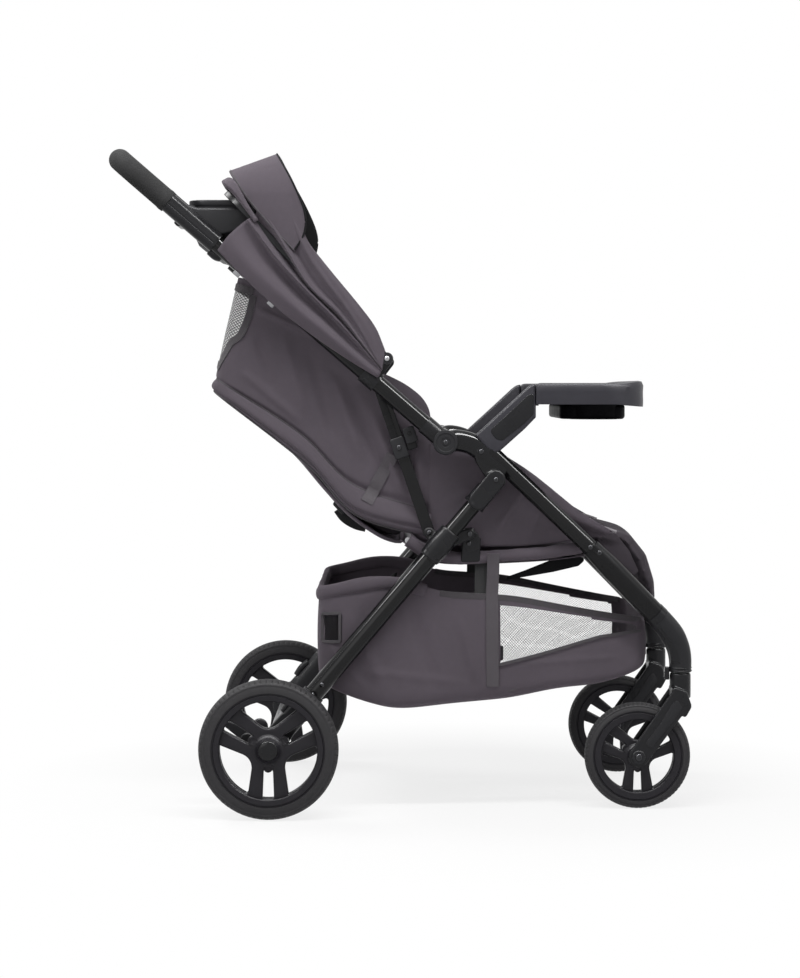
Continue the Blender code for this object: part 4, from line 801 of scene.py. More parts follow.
def net_group():
    """Diamond net: threads where |sin| of x + y or of x - y is small, holes elsewhere."""
    tree, start, end = new_group(
        "net",
        [("Vector", "NodeSocketVector", None), ("Holes per Metre", "NodeSocketFloat", 300.0),
         ("Thread", "NodeSocketFloat", 0.35)],
        [("Thread", "NodeSocketFloat"), ("Height", "NodeSocketFloat")])
    n = Nodes(tree)
    scaled = n.add("ShaderNodeVectorMath", operation="SCALE")
    n.join(start.outputs[0], scaled.inputs[0])
    n.join(start.outputs[1], scaled.inputs["Scale"])
    split = n.add("ShaderNodeSeparateXYZ")
    n.join(scaled.outputs[0], split.inputs[0])
    x, y = split.outputs[0], split.outputs[1]
    lines = [n.math("ABSOLUTE", n.math("SINE", n.math("MULTIPLY", n.math(op, x, y), math.pi)))
             for op in ("ADD", "SUBTRACT")]
    near = n.math("MINIMUM", lines[0], lines[1])
    thread = n.math("LESS_THAN", near, start.outputs[2])
    n.join(thread, end.inputs[0])
    n.join(n.math("SUBTRACT", 1.0, near), end.inputs[1])
    return tree


def base_material(name, roughness, metallic=0.0, coat=0.0, coat_rough=0.1, sheen=0.0, specular=0.5):
    """A material with its surface values set."""
    made = bpy.data.materials.new(name)
    made.use_nodes = True
    n = Nodes(made.node_tree)
    shader = made.node_tree.nodes["Principled BSDF"]
    shader.inputs["Roughness"].default_value = roughness
    shader.inputs["Metallic"].default_value = metallic
    shader.inputs["Coat Weight"].default_value = coat
    shader.inputs["Coat Roughness"].default_value = coat_rough
    shader.inputs["Sheen Weight"].default_value = sheen
    shader.inputs["Sheen Roughness"].default_value = 0.45
    shader.inputs["Specular IOR Level"].default_value = specular
    return made, n, shader


def placed_group(n, name, values):
    """A group node with its inputs set by label."""
    node = n.add("ShaderNodeGroup")
    node.node_tree = GROUP[name]
    for label, value in values.items():
        n.put(node.inputs[label], value)
    return node


def hard_finish(name, colour, roughness, scale=900.0, depth=0.0002, metallic=0.0, coat=0.0, amount=0.10,
                specular=0.5, rough_swing=0.05, coat_rough=0.08):
    """Paint, plastic or foam: mottled colour, grain as a bump and a roughness that wanders a little."""
    made, n, shader = base_material(name, roughness, metallic, coat, coat_rough, specular=specular)
    place = n.add("ShaderNodeTexCoord").outputs["Object"]
    mottle = placed_group(n, "mottle",
                          {"Color": (*colour, 1.0), "Vector": place, "Scale": 9.0, "Amount": amount})
    n.join(mottle.outputs["Color"], shader.inputs["Base Color"])
    grain = placed_group(n, "grain", {"Vector": place, "Scale": scale})
    n.join(n.map_range(grain.outputs["Mask"], 0.3, 0.7, roughness - rough_swing, roughness + rough_swing),
           shader.inputs["Roughness"])
    relief = n.add("ShaderNodeBump")
    relief.inputs["Strength"].default_value = 0.6
    relief.inputs["Distance"].default_value = depth
    n.join(grain.outputs["Height"], relief.inputs["Height"])
    n.join(relief.outputs["Normal"], shader.inputs["Normal"])
    return made


def cloth_finish(name, colour, roughness=0.85, threads=1400.0, depth=0.0003, amount=0.10, sheen=0.25,
                 by_uv=True, wrinkle=0.0, specular=0.08):
    """Woven cloth: mottled colour, thread shading and relief, and soft creases from stretched noise."""
    made, n, shader = base_material(name, roughness, sheen=sheen, specular=specular)
    shader.inputs["Sheen Tint"].default_value = (*[min(1.0, c * 3 + 0.2) for c in colour], 1.0)
    coords = n.add("ShaderNodeTexCoord")
    place = coords.outputs["Object"]
    weave = placed_group(n, "weave", {"Vector": coords.outputs["UV"] if by_uv else place,
                                      "Threads per Metre": threads})
    mottle = placed_group(n, "mottle",
                          {"Color": (*colour, 1.0), "Vector": place, "Scale": 7.0, "Amount": amount})
    shade = n.add("ShaderNodeVectorMath", operation="SCALE")
    n.join(mottle.outputs["Color"], shade.inputs[0])
    n.join(weave.outputs["Shade"], shade.inputs["Scale"])
    n.join(shade.outputs[0], shader.inputs["Base Color"])
    n.join(n.map_range(mottle.outputs["Mask"], 0.3, 0.7, roughness - 0.05, min(1.0, roughness + 0.08)),
           shader.inputs["Roughness"])
    relief = n.add("ShaderNodeBump")
    relief.inputs["Strength"].default_value = 0.5
    relief.inputs["Distance"].default_value = depth
    n.join(weave.outputs["Height"], relief.inputs["Height"])
    if wrinkle > 0:
        crease = n.add("ShaderNodeBump")
        crease.inputs["Strength"].default_value = 0.7
        crease.inputs["Distance"].default_value = wrinkle
        stretch = n.add("ShaderNodeMapping")
        stretch.inputs["Scale"].default_value = (14.0, 14.0, 7.0)
        stretch.inputs["Rotation"].default_value = (0.0, math.radians(35), 0.0)
        n.join(place, stretch.inputs["Vector"])
        n.join(n.noise(stretch.outputs[0], 1.0, 2.5, 0.5), crease.inputs["Height"])
        n.join(crease.outputs["Normal"], relief.inputs["Normal"])
    n.join(relief.outputs["Normal"], shader.inputs["Normal"])
    return made


def net_finish(name, colour, holes, thread):
    """Open net on the piece's own UV map: the thread mask is the alpha."""
    made, n, shader = base_material(name, 0.8, sheen=0.1, specular=0.3)
    coords = n.add("ShaderNodeTexCoord")
    net = placed_group(n, "net",
                       {"Vector": coords.outputs["UV"], "Holes per Metre": holes, "Thread": thread})
    mottle = placed_group(n, "mottle",
                          {"Color": (*colour, 1.0), "Vector": coords.outputs["Object"],
                           "Scale": 9.0, "Amount": 0.1})
    n.join(mottle.outputs["Color"], shader.inputs["Base Color"])
    n.join(net.outputs["Thread"], shader.inputs["Alpha"])
    relief = n.add("ShaderNodeBump")
    relief.inputs["Distance"].default_value = 0.0004
    n.join(net.outputs["Height"], relief.inputs["Height"])
    n.join(relief.outputs["Normal"], shader.inputs["Normal"])
    return made


def webbing_finish(name, colour, ribs=700.0):
    """Woven tape on its own UV map: ribs across and a fine weave."""
    made, n, shader = base_material(name, 0.7, sheen=0.2, specular=0.3)
    coords = n.add("ShaderNodeTexCoord")
    weave = placed_group(n, "weave", {"Vector": coords.outputs["UV"], "Threads per Metre": ribs})
    mottle = placed_group(n, "mottle",
                          {"Color": (*colour, 1.0), "Vector": coords.outputs["Object"],
                           "Scale": 20.0, "Amount": 0.12})
    shade = n.add("ShaderNodeVectorMath", operation="SCALE")
    n.join(mottle.outputs["Color"], shade.inputs[0])
    n.join(weave.outputs["Shade"], shade.inputs["Scale"])
    n.join(shade.outputs[0], shader.inputs["Base Color"])
    relief = n.add("ShaderNodeBump")
    relief.inputs["Strength"].default_value = 0.8
    relief.inputs["Distance"].default_value = 0.0006
    n.join(weave.outputs["Height"], relief.inputs["Height"])
    n.join(relief.outputs["Normal"], shader.inputs["Normal"])
    return made


class StrollerFinishes(bpy.types.Operator):
    """Build the shader groups and every finish"""

    bl_idname = "stroller.finishes"
    bl_label = "Finishes"

    def execute(self, context):
        colour = context.scene.stroller_colour
        GROUP["weave"] = weave_group()
        GROUP["mottle"] = mottle_group()
        GROUP["grain"] = grain_group()
        GROUP["net"] = net_group()
        cloth = tuple(colour.cloth)
        plastic = tuple(colour.plastic)
        lining = tuple(colour.lining)
        dark = tuple(0.55 * c for c in cloth)
        FINISH["paint"] = hard_finish("gloss_paint", tuple(colour.paint), 0.13, 260.0, 0.00002, amount=0.05,
                                      rough_swing=0.02, specular=0.20)
        FINISH["satin"] = hard_finish("satin_paint", (0.0065, 0.0065, 0.0072), 0.30, 700.0, 0.00006,
                                      specular=0.16)
        FINISH["plastic"] = hard_finish("grained_plastic", plastic, 0.46, 1100.0, 0.00020, specular=0.16)
        FINISH["smooth_plastic"] = hard_finish("smooth_plastic", tuple(0.75 * c for c in plastic), 0.28,
                                               500.0, 0.00005, specular=0.17)
        FINISH["gloss_plastic"] = hard_finish("gloss_plastic", (0.005, 0.005, 0.006), 0.12, 300.0, 0.00002,
                                              specular=0.24)
        FINISH["liner"] = hard_finish("liner_plastic", (0.005, 0.005, 0.006), 0.40, 300.0, 0.00002,
                                      specular=0.02)
        FINISH["tray_plastic"] = hard_finish("tray_plastic", (0.024, 0.023, 0.030), 0.44, 1200.0, 0.00018,
                                             specular=0.24)
        FINISH["rim"] = hard_finish("rim_plastic", (0.014, 0.013, 0.016), 0.38, 1000.0, 0.00015,
                                    specular=0.17)
        FINISH["foam"] = hard_finish("grip_foam", (0.018, 0.018, 0.0185), 0.92, 1500.0, 0.0005, amount=0.16,
                                     specular=0.2)
        FINISH["tyre"] = hard_finish("tyre_foam", tuple(colour.tyre), 0.62, 1300.0, 0.0003, amount=0.14,
                                     specular=0.16)
        FINISH["steel"] = hard_finish("zinc_steel", (0.38, 0.38, 0.39), 0.32, 500.0, 0.00003, metallic=1.0)
        FINISH["rivet"] = hard_finish("dark_rivet", (0.045, 0.045, 0.048), 0.22, 500.0, 0.00002,
                                      metallic=1.0)
        FINISH["clip"] = hard_finish("grey_clip", (0.20, 0.20, 0.21), 0.45, 800.0, 0.0001)
        FINISH["cloth"] = cloth_finish("grey_cloth", cloth, wrinkle=0.006)
        FINISH["canopy"] = cloth_finish("canopy_cloth", tuple(1.04 * c for c in cloth), wrinkle=0.004,
                                        sheen=0.35)
        FINISH["pad"] = cloth_finish("pad_cloth", dark, by_uv=False, threads=1100.0, wrinkle=0.004)
        FINISH["lining"] = cloth_finish("black_lining", lining, wrinkle=0.002, sheen=0.1)
        FINISH["binding"] = webbing_finish("twill_binding", tuple(0.45 * c for c in cloth), 900.0)
        FINISH["webbing"] = webbing_finish("webbing", tuple(0.62 * c for c in cloth), 650.0)
        FINISH["black_webbing"] = webbing_finish("black_webbing", (0.008, 0.008, 0.009), 650.0)
        FINISH["piping"] = cloth_finish("pale_piping", (0.30, 0.28, 0.30), threads=1800.0)
        FINISH["net"] = net_finish("window_net", (0.040, 0.037, 0.041), 130.0, 0.46)
        FINISH["basket_net"] = net_finish("basket_net", (0.020, 0.019, 0.022), 230.0, 0.20)
        return {"FINISHED"}


# ---------------------------------------------------------------------------
# Handle and console
# ---------------------------------------------------------------------------

HANDLE_UP = (math.sin(HANDLE_ANGLE), 0.0, -math.cos(HANDLE_ANGLE))


def handle_loop(start, corner=0.075):
    """The handle's path: up one side, across in a rounded corner and down the other."""
    low, high = along_handle(start), along_handle(HANDLE_TOP)
    ends = [at(low, -FRAME_HALF), at(high, -FRAME_HALF), at(high, FRAME_HALF), at(low, FRAME_HALF)]
    return even(fillet(ends, corner, 24), 260)


class StrollerHandle(bpy.types.Operator):
    """Bent handle tube, foam grip, round pivot covers and canopy clamps"""

    bl_idname = "stroller.handle"
    bl_label = "Handle"

    def execute(self, context):
        size = context.scene.stroller_frame
        piece("handle_tube_paint", bar(handle_loop(TUBE_START), size.tube_radius, HANDLE_UP), "paint",
              "handle", "handle_tube")
        path = handle_loop(GRIP_START)
        reach = travelled(path)
        lip = 1 + 0.035 * (bump(reach, 0.006, 0.004) + bump(reach, reach[-1] - 0.006, 0.004))
        piece("handle_grip_foam",
              bar(path, circle(size.grip_radius, 40), HANDLE_UP, lip * 0.995, round_end=0.004), "foam",
              "handle", "handle_grip")
        for side in SIDES:
            self.foot(side)
            self.clamp(side)
        return {"FINISHED"}

    def foot(self, side):
        """The handle's foot: a socket round the tube and the round cover of its pivot."""
        foot = upright([along_handle(reach) for reach in (0.012, 0.030, 0.044)], side * FRAME_HALF)
        socket = bar(foot, circle(0.0152), HANDLE_UP, round_end=0.003)
        face = side * (FRAME_HALF + 0.0145)
        profile = [(TIP, 0.0), (0.0185, 0.0), (0.0200, 0.0012), (0.0200, 0.0062), (0.0188, 0.0080),
                   (0.0150, 0.0084), (0.0142, 0.0074), (0.0080, 0.0074), (0.0074, 0.0066), (TIP, 0.0066)]
        cover = turned([(r, side * h) for r, h in profile], at(HANDLE_PIVOT, face), finish=1)
        bolt = dome(at(HANDLE_PIVOT, face + side * 0.0064), 0.0042, 0.0022, side, finish=2, recess=0.6)
        piece(side_name("pivot_cover", side), [socket, cover, bolt], ["smooth_plastic", "plastic", "rivet"],
              "handle", side_name("handle_knuckle", side))

    def clamp(self, side):
        """The canopy's clamp: a split ring round the tube, an ear and its pivot screw."""
        c, s = math.cos(HANDLE_ANGLE), math.sin(HANDLE_ANGLE)
        reach = (CANOPY_PIVOT[0] - HANDLE_PIVOT[0]) * c + (CANOPY_PIVOT[1] - HANDLE_PIVOT[1]) * s
        spots = upright([along_handle(reach + k) for k in (-0.014, 0.0, 0.014)], side * FRAME_HALF)
        ring = bar(spots, circle(0.0164), HANDLE_UP, round_end=0.002)
        ear = side_plate([stadium(along_handle(reach), CANOPY_PIVOT, 0.0122, 0.0100)], side, 0.2395, 0.2510,
                         0.0025)
        profile = [(TIP, 0.2510), (0.0088, 0.2510), (0.0092, 0.2520), (0.0090, 0.2592), (TIP, 0.2594)]
        disc = turned([(r, side * h) for r, h in profile], at(CANOPY_PIVOT, 0.0), sides=32, finish=1)
        bolt = dome(at(CANOPY_PIVOT, side * 0.2592), 0.0040, 0.0022, side, finish=2, recess=0.6)
        piece(side_name("canopy_clamp_moulding", side), [ring, ear, disc, bolt],
              ["smooth_plastic", "plastic", "steel"], "handle", side_name("canopy_clamp", side))


CONSOLE_X = -0.280
CONSOLE_CUP_Y = 0.135
# Half sizes of the console's middle well
WELL_X, WELL_Y = 0.0430, 0.0600


def console_rows():
    """Rows of rounded rectangles down the console's wall: a lip, a step in, then a tapering bowl."""
    rows = [
        (0.9765, -0.0015, 0.024), (0.9755, 0.0000, 0.024), (0.9690, 0.0000, 0.024),
        (0.9680, -0.0012, 0.024), (0.9672, -0.0030, 0.024), (0.9640, -0.0036, 0.024),
        (0.9400, -0.0050, 0.024), (0.9200, -0.0085, 0.026), (0.9050, -0.0150, 0.028),
        (0.8965, -0.0250, 0.030), (0.8930, -0.0360, 0.022),
    ]
    out = []
    for z, grow, corner in rows:
        wide = 0.2235 + grow * 0.3
        loop = rounded_box((-0.338 - grow, -wide), (-0.222 + grow, wide), corner, 10)
        out.append(level(round_trip(loop, 160), z))
    return np.stack(out)


class StrollerConsole(bpy.types.Operator):
    """Console with two cup wells, a middle well, its sleeves and the fold trigger"""

    bl_idname = "stroller.console"
    bl_label = "Console"

    def execute(self, context):
        rows = console_rows()
        wall = grid(rows, wrap_v=True)
        floor = grid(np.stack([rows[-1], rows[-1] * (0.5, 0.9, 1.0) + (-0.14, 0.0, 0.0)]), wrap_v=True,
                     cap=True)
        inner = [rounded_box((-0.3365, -0.2225), (-0.2235, 0.2225), 0.023, 10)]
        for side in SIDES:
            inner.append(arc((CONSOLE_X, side * CONSOLE_CUP_Y), 0.0405, 0, 354, 59))
        inner.append(rounded_box((CONSOLE_X - WELL_X, -WELL_Y), (CONSOLE_X + WELL_X, WELL_Y), 0.014, 8))
        shells = [wall, floor, level_plate(inner, 0.9715, 0.9755, 0.0012)]
        for side in SIDES:
            shells += self.cup((CONSOLE_X, side * CONSOLE_CUP_Y))
        shells += self.well()
        for side in SIDES:
            shells += self.sleeve(side)
        piece("console_moulding", shells, ["plastic", "smooth_plastic"], "handle", "parent_console")
        self.trigger()
        return {"FINISHED"}

    def cup(self, centre):
        """A cup well with three rings on its floor."""
        profile = [(0.0418, 0.9768), (0.0405, 0.9750), (0.0395, 0.9300), (0.0375, 0.9060), (0.0330, 0.9010),
                   (TIP, 0.9005), (TIP, 0.8990), (0.0350, 0.8992), (0.0392, 0.9050), (0.0415, 0.9300),
                   (0.0430, 0.9700), (0.0436, 0.9760)]
        rings = [torus(level(arc(centre, r, 0, 350, 35), 0.9010), 0.0008, (0, 0, 1), sides=8)
                 for r in (0.010, 0.018, 0.026)]
        return [turned(profile, (*centre, 0.0), "Z", 64), *rings]

    def well(self):
        """The middle well: a double wall, closed at the foot inside and outside."""
        rows = []
        for z, grow in ((0.9768, 0.0008), (0.9740, -0.0006), (0.9500, -0.0020), (0.9400, -0.0040),
                        (0.9370, -0.0100)):
            loop = rounded_box((CONSOLE_X - WELL_X - grow, -WELL_Y - grow),
                               (CONSOLE_X + WELL_X + grow, WELL_Y + grow), 0.014)
            rows.append(level(round_trip(loop, 80), z))
        inside = np.stack(rows)
        centre = np.array([CONSOLE_X, 0.0, 0.0])
        outside = (inside - centre) * (1.03, 1.02, 1.0) + centre - (0, 0, 0.0012)
        wall = grid(np.concatenate([inside, outside[::-1]]), wrap_u=True, wrap_v=True)
        feet = [grid(np.stack([loop, (loop - centre) * (0.02, 0.02, 1.0) + centre]), wrap_v=True, cap=True)
                for loop in (inside[-1], outside[-1])]
        return [wall, *feet]

    def sleeve(self, side):
        """The sleeve round a handle side: a two-part shell with its seam, and a fairing to the console."""
        y = side * FRAME_HALF
        path = even([at(along_handle(0.4810), y), at(along_handle(0.5812), y)], 14)
        shell = bar(path, oval(0.0163, 0.0160, 40, 2.6), HANDLE_UP, round_end=0.0022, finish=1)
        seam = [at(along_handle(r, -0.0030), side * (FRAME_HALF + 0.0153)) for r in (0.4850, 0.5790)]
        cover = [at(along_handle(r, 0.0040), side * (FRAME_HALF + 0.0088))
                 for r in (0.4840, 0.5000, 0.5500, 0.5795)]
        web = [along_handle(0.488, 0.010), along_handle(0.575, 0.010), (-0.322, 0.9640), (-0.240, 0.9640),
               (-0.232, 0.9300)]
        foot = upright([(-0.3020, 0.8960), (-0.2930, 0.8880), (-0.2860, 0.8860)], side * 0.2250)
        return [shell, bar(even(seam, 4), 0.0009, HANDLE_UP),
                bar(curve(cover, 16), oval(0.0088, 0.0080, 24, 3.0), HANDLE_UP, round_end=0.002, finish=1),
                side_plate([rounded(web, 0.010, 6)], side, 0.2150, 0.2330, 0.0050, steps=4),
                bar(curve(foot, 10), oval(0.0100, 0.0085, 24, 2.5), (0, 1, 0), round_end=0.006, finish=1)]

    def trigger(self):
        """The squeeze lever behind the console, with its finger pad, and the two lugs that carry it."""
        x, z = TRIGGER_HINGE
        outline = [(x + 0.005, z - 0.005), (x + 0.005, z + 0.0055), (x - 0.030, z + 0.0078),
                   (x - 0.033, z + 0.002), (x - 0.028, z - 0.0035)]
        lever = plate([rounded(outline, [0.004, 0.004, 0.003, 0.003, 0.004])], -0.0400, 0.0400, 0.0020,
                      steps=3)
        ribs = [bar([(x - 0.030 + k * 0.006, y, z + 0.0082 - k * 0.0004) for y in (-0.030, 0.0, 0.030)],
                    circle(0.0011, 10), (0, 0, 1), finish=1) for k in range(4)]
        piece("fold_trigger_lever", [lever, *ribs], ["smooth_plastic", "plastic"], "trigger",
              "fold_trigger")
        loop = rounded([(-0.334, z - 0.011), (-0.334, z + 0.011), (x - 0.007, z + 0.006),
                        (x - 0.007, z - 0.006)], 0.005)
        lugs = []
        for side in SIDES:
            lugs.append(side_plate([loop], side, 0.0406, 0.0465, 0.0012))
            lugs.append(dome((x, side * 0.0464, z), 0.0032, 0.0014, side, 20, finish=1))
        piece("trigger_lugs", lugs, ["plastic", "rivet"], "handle")


# ---------------------------------------------------------------------------
# Front frame
# ---------------------------------------------------------------------------

FRONT_LEG = [(0.1420, 0.2360, 0.5759), (0.2800, 0.2360, 0.4446), (0.3013, 0.2358, 0.4243),
             (0.312, 0.2335, 0.4135)]
CASTER_HOUSING = [(0.4069, 0.1983, 0.3163), (0.4220, 0.1925, 0.3005), (0.4380, 0.1860, 0.2800),
                  (0.4478, 0.1820, 0.2590), (0.4516, 0.1802, 0.2400), (0.4518, 0.1800, 0.2193)]


class StrollerFrontFrame(bpy.types.Operator):
    """Pivot housings, front legs, caster boots, tray arms and footrest"""

    bl_idname = "stroller.front_frame"
    bl_label = "Front Frame"

    def execute(self, context):
        for side in SIDES:
            self.housing(side)
            self.leg(side, context.scene.stroller_frame.tube_radius)
            self.boot(side)
            self.tray_arm(side)
        self.footrest()
        return {"FINISHED"}

    def housing(self, side):
        """The curved housing: an oval arm from the handle's pivot to the leg, melted into two bosses."""
        points = [HANDLE_PIVOT, (0.0920, 0.5930), (0.1150, 0.5870), (0.1370, 0.5715), (0.1560, 0.5540),
                  (0.1700, 0.5450)]
        spine = curve(upright(points, side * FRAME_HALF), 40)
        arm = bar(spine, oval(0.0140, 0.0178, 36, 2.0), scale=np.linspace(1.0, 0.96, 40), round_end=0.006)
        low, high = sorted((side * 0.2216, side * 0.2502))
        first = drum(HANDLE_PIVOT, low, high, 0.0165, 0.0180, 40)
        second = drum(REAR_LEG_PIVOT, low, high, 0.0135, 0.0148, 40)
        outline = [(0.1080, 0.5780), (0.1500, 0.5560), (0.1600, 0.5400), (0.1480, 0.5280), (0.1330, 0.5380)]
        web = plate([rounded(outline, 0.010, 6)], low + 0.004, high - 0.004, 0.004, steps=3)
        skin = moulded([arm, first, second, web], 0.0014, 26)
        screw_place = (0.1287, 0.5757)
        screw = dome(at(screw_place, side * 0.2492), 0.0042, 0.0024, side, finish=1, recess=0.5)
        profile = [(TIP, 0.2480), (0.0062, 0.2480), (0.0066, 0.2494), (0.0050, 0.2498), (TIP, 0.2494)]
        dimple = turned([(r, side * h) for r, h in profile], at(screw_place, 0.0), sides=28)
        piece(side_name("pivot_housing", side), [skin, dimple, screw], ["gloss_plastic", "rivet"],
              "front_frame", side_name("hub_housing", side))

    def leg(self, side, radius):
        """A gloss tube above the rivets, and below them a wider satin leg of oval section."""
        upper = bar(even(curve(mirrored(FRONT_LEG, side), 60), 40), radius)
        spots = []
        for reach, lift in ((0.0, 0.0), (0.017, 0.004), (0.033, -0.002)):
            x = SEAT_PIVOT[0] + 0.7071 * reach + lift * 0.7071
            z = SEAT_PIVOT[1] - 0.7071 * reach + lift * 0.7071
            y = 0.2358 - max(0.0, reach - 0.004) * 0.30 + radius
            spots.append(dome((x, side * y, z), 0.0040, 0.0026, side, finish=1, recess=0.4))
        piece(side_name("front_leg_tube", side), [upper, *spots], ["paint", "rivet"], "front_frame",
              side_name("front_leg", side))
        lower = mirrored([(0.3020, 0.2353, 0.4236), (0.3190, 0.2308, 0.4065), (0.3380, 0.2250, 0.3870),
                          (0.3560, 0.2187, 0.3686), (0.3738, 0.2120, 0.3504), (0.3900, 0.2055, 0.3337),
                          (0.4068, 0.1984, 0.3164)], side)
        path = curve(lower, 48)
        grow = 0.0142 + 0.0024 * smooth_step(np.linspace(0, 1, 48), 0.0, 0.35)
        skin = bar(path, oval(1.0, 1.06, 40, 2.4), scale=grow, round_end=0.003)
        edge = bar(even(path[2:-2], 30) + (0.0, side * 0.0145, 0.0), circle(0.0010, 10))
        piece(side_name("front_leg_lower", side), [skin, edge], ["satin"], "front_frame")

    def boot(self, side):
        """The caster boot: a swelling sleeve that turns down to the swivel, with a panel and two rings."""
        path = curve(mirrored(CASTER_HOUSING, side), 48)
        grow = curve([(r, 0, 0) for r in (0.0174, 0.0184, 0.0190, 0.0187, 0.0178, 0.0171)], 48)[:, 0]
        section = oval(1.0, 1.02, 48, 2.3)
        skin = bar(path, section, scale=grow, round_end=0.0025)
        panel = bar(path[10:42] + (-0.004, side * 0.0036, 0.0), oval(0.80, 0.74, 40, 2.6),
                    scale=grow[10:42], round_end=0.004, finish=1)
        rings = [torus(level(arc((CASTER_X, side * FRONT_TRACK), r, 0, 352, 44), z), 0.0012, (0, 0, 1),
                       finish=1, sides=10) for z, r in ((0.2262, 0.0176), (0.2215, 0.0178))]
        cap = bar(path[:6], section, scale=grow[:6] * 1.035, round_end=0.002, finish=1)
        piece(side_name("caster_boot", side), [skin, panel, cap, *rings], ["plastic", "smooth_plastic"],
              "front_frame", side_name("caster_housing", side))

    def tray_arm(self, side):
        """The tray's arm: a flat moulding with a raised rim and an inset side panel."""
        outline = [(0.1190, 0.6010), (0.1600, 0.6385), (0.1995, 0.6750), (0.2080, 0.6815), (0.2154, 0.6830),
                   (0.2154, 0.6300), (0.1980, 0.6120), (0.1600, 0.5780), (0.1500, 0.5715), (0.1360, 0.5830)]
        rim = rounded(outline, [0.003, 0.02, 0.02, 0.02, 0.001, 0.002, 0.02, 0.004, 0.003, 0.004])
        body = side_plate([rim], side, 0.2232, 0.2484, 0.0035, steps=4)
        inset = [(0.1420, 0.6090), (0.1660, 0.6310), (0.2000, 0.6630), (0.2120, 0.6700), (0.2120, 0.6350),
                 (0.1960, 0.6190), (0.1620, 0.5930), (0.1520, 0.5960)]
        panel = side_plate([rounded(inset, 0.006)], side, 0.2470, 0.2492, 0.0008, finish=1)
        piece(side_name("tray_arm_moulding", side), [body, panel], ["tray_plastic", "smooth_plastic"],
              "front_frame", side_name("tray_arm", side))

    def footrest(self):
        """The bar under the child's feet: an aerofoil section with ribs along its top."""
        section = rounded([(0.3990, 0.2960), (0.4180, 0.2830), (0.4380, 0.2760), (0.4410, 0.2820),
                           (0.4260, 0.2940), (0.4050, 0.3050)], 0.004)
        body = plate([section], -0.1640, 0.1640, 0.003, steps=3)
        ribs = [bar([(0.4070 + k * 0.0065, y, 0.3040 - k * 0.0046) for y in (-0.150, 0.0, 0.150)],
                    circle(0.0012, 10), (0, 0, 1), finish=1) for k in range(5)]
        piece("footrest_bar", [body, *ribs], ["plastic", "smooth_plastic"], "front_frame", "footrest")


# ---------------------------------------------------------------------------
# Casters and wheels
# ---------------------------------------------------------------------------


# A wheel's centre and track, the tyre's half width and inner radius, the rim's inner radius, the radius of
# the hub, half the thickness of the spokes, half the hub's length, the cap's radius and the openings' sizes
WHEELS = {
    "front": {"centre": FRONT_AXLE, "track": FRONT_TRACK, "half": 0.0160, "seat": 0.0725, "inner": 0.0585,
              "hub": 0.0128, "web": 0.0062, "face": 0.0174, "cap": 0.0118,
              "holes": (0.0225, 0.0054, 0.0168, 0.0250)},
    "rear": {"centre": REAR_AXLE, "track": REAR_TRACK, "half": 0.0180, "seat": 0.0895, "inner": 0.0770,
             "hub": 0.0168, "web": 0.0080, "face": 0.0178, "cap": 0.0156,
             "holes": (0.0290, 0.0072, 0.0235, 0.0320)},
}
# Angles of the three pairs of spokes
SPOKE_PAIRS = (-90, 30, 150)


def fork_side():
    """The outline of a fork arm from the swivel down to the axle's boss."""
    points = [(CASTER_X - 0.0165, 0.1930), (CASTER_X - 0.0120, 0.1975), (CASTER_X + 0.0080, 0.1900),
              (CASTER_X + 0.0165, 0.1660), (CASTER_X + 0.0040, 0.1440)]
    boss = arc(FRONT_AXLE, 0.0165, -42, -222, 18)
    return np.vstack([rounded(points, [0.004, 0.006, 0.010, 0.010, 0.004]), boss])


def rim_holes(inner, slot_start, slot_half, hub_half, rim_half):
    """Loops of the wheel's openings: a window between the spoke pairs and a slot within each pair."""
    loops = []
    swing = math.degrees(math.asin(rim_half / inner))
    for pair in SPOKE_PAIRS:
        window = arc((0, 0), inner, pair + swing, pair + 120 - swing, 22)
        middle = math.radians(pair + 60)
        root = hub_half / math.sin(math.radians(60)) * 1.02
        corner = (root * math.cos(middle), root * math.sin(middle))
        points = np.vstack([window[:1], window[1:-1:3], window[-1:], [corner]])
        loops.append(rounded(points, [0.008] + [0.0] * (len(points) - 3) + [0.008, hub_half * 0.95], 9))
        c, s = math.cos(math.radians(pair)), math.sin(math.radians(pair))
        outer, wide = inner - 0.0005, slot_half * 1.25
        box = [(slot_start, -slot_half), (outer, -wide), (outer, wide), (slot_start, slot_half)]
        slot = rounded(box, [slot_half * 0.95, 0.003, 0.003, slot_half * 0.95], 8)
        loops.append(np.column_stack([slot[:, 0] * c - slot[:, 1] * s, slot[:, 0] * s + slot[:, 1] * c]))
    return loops


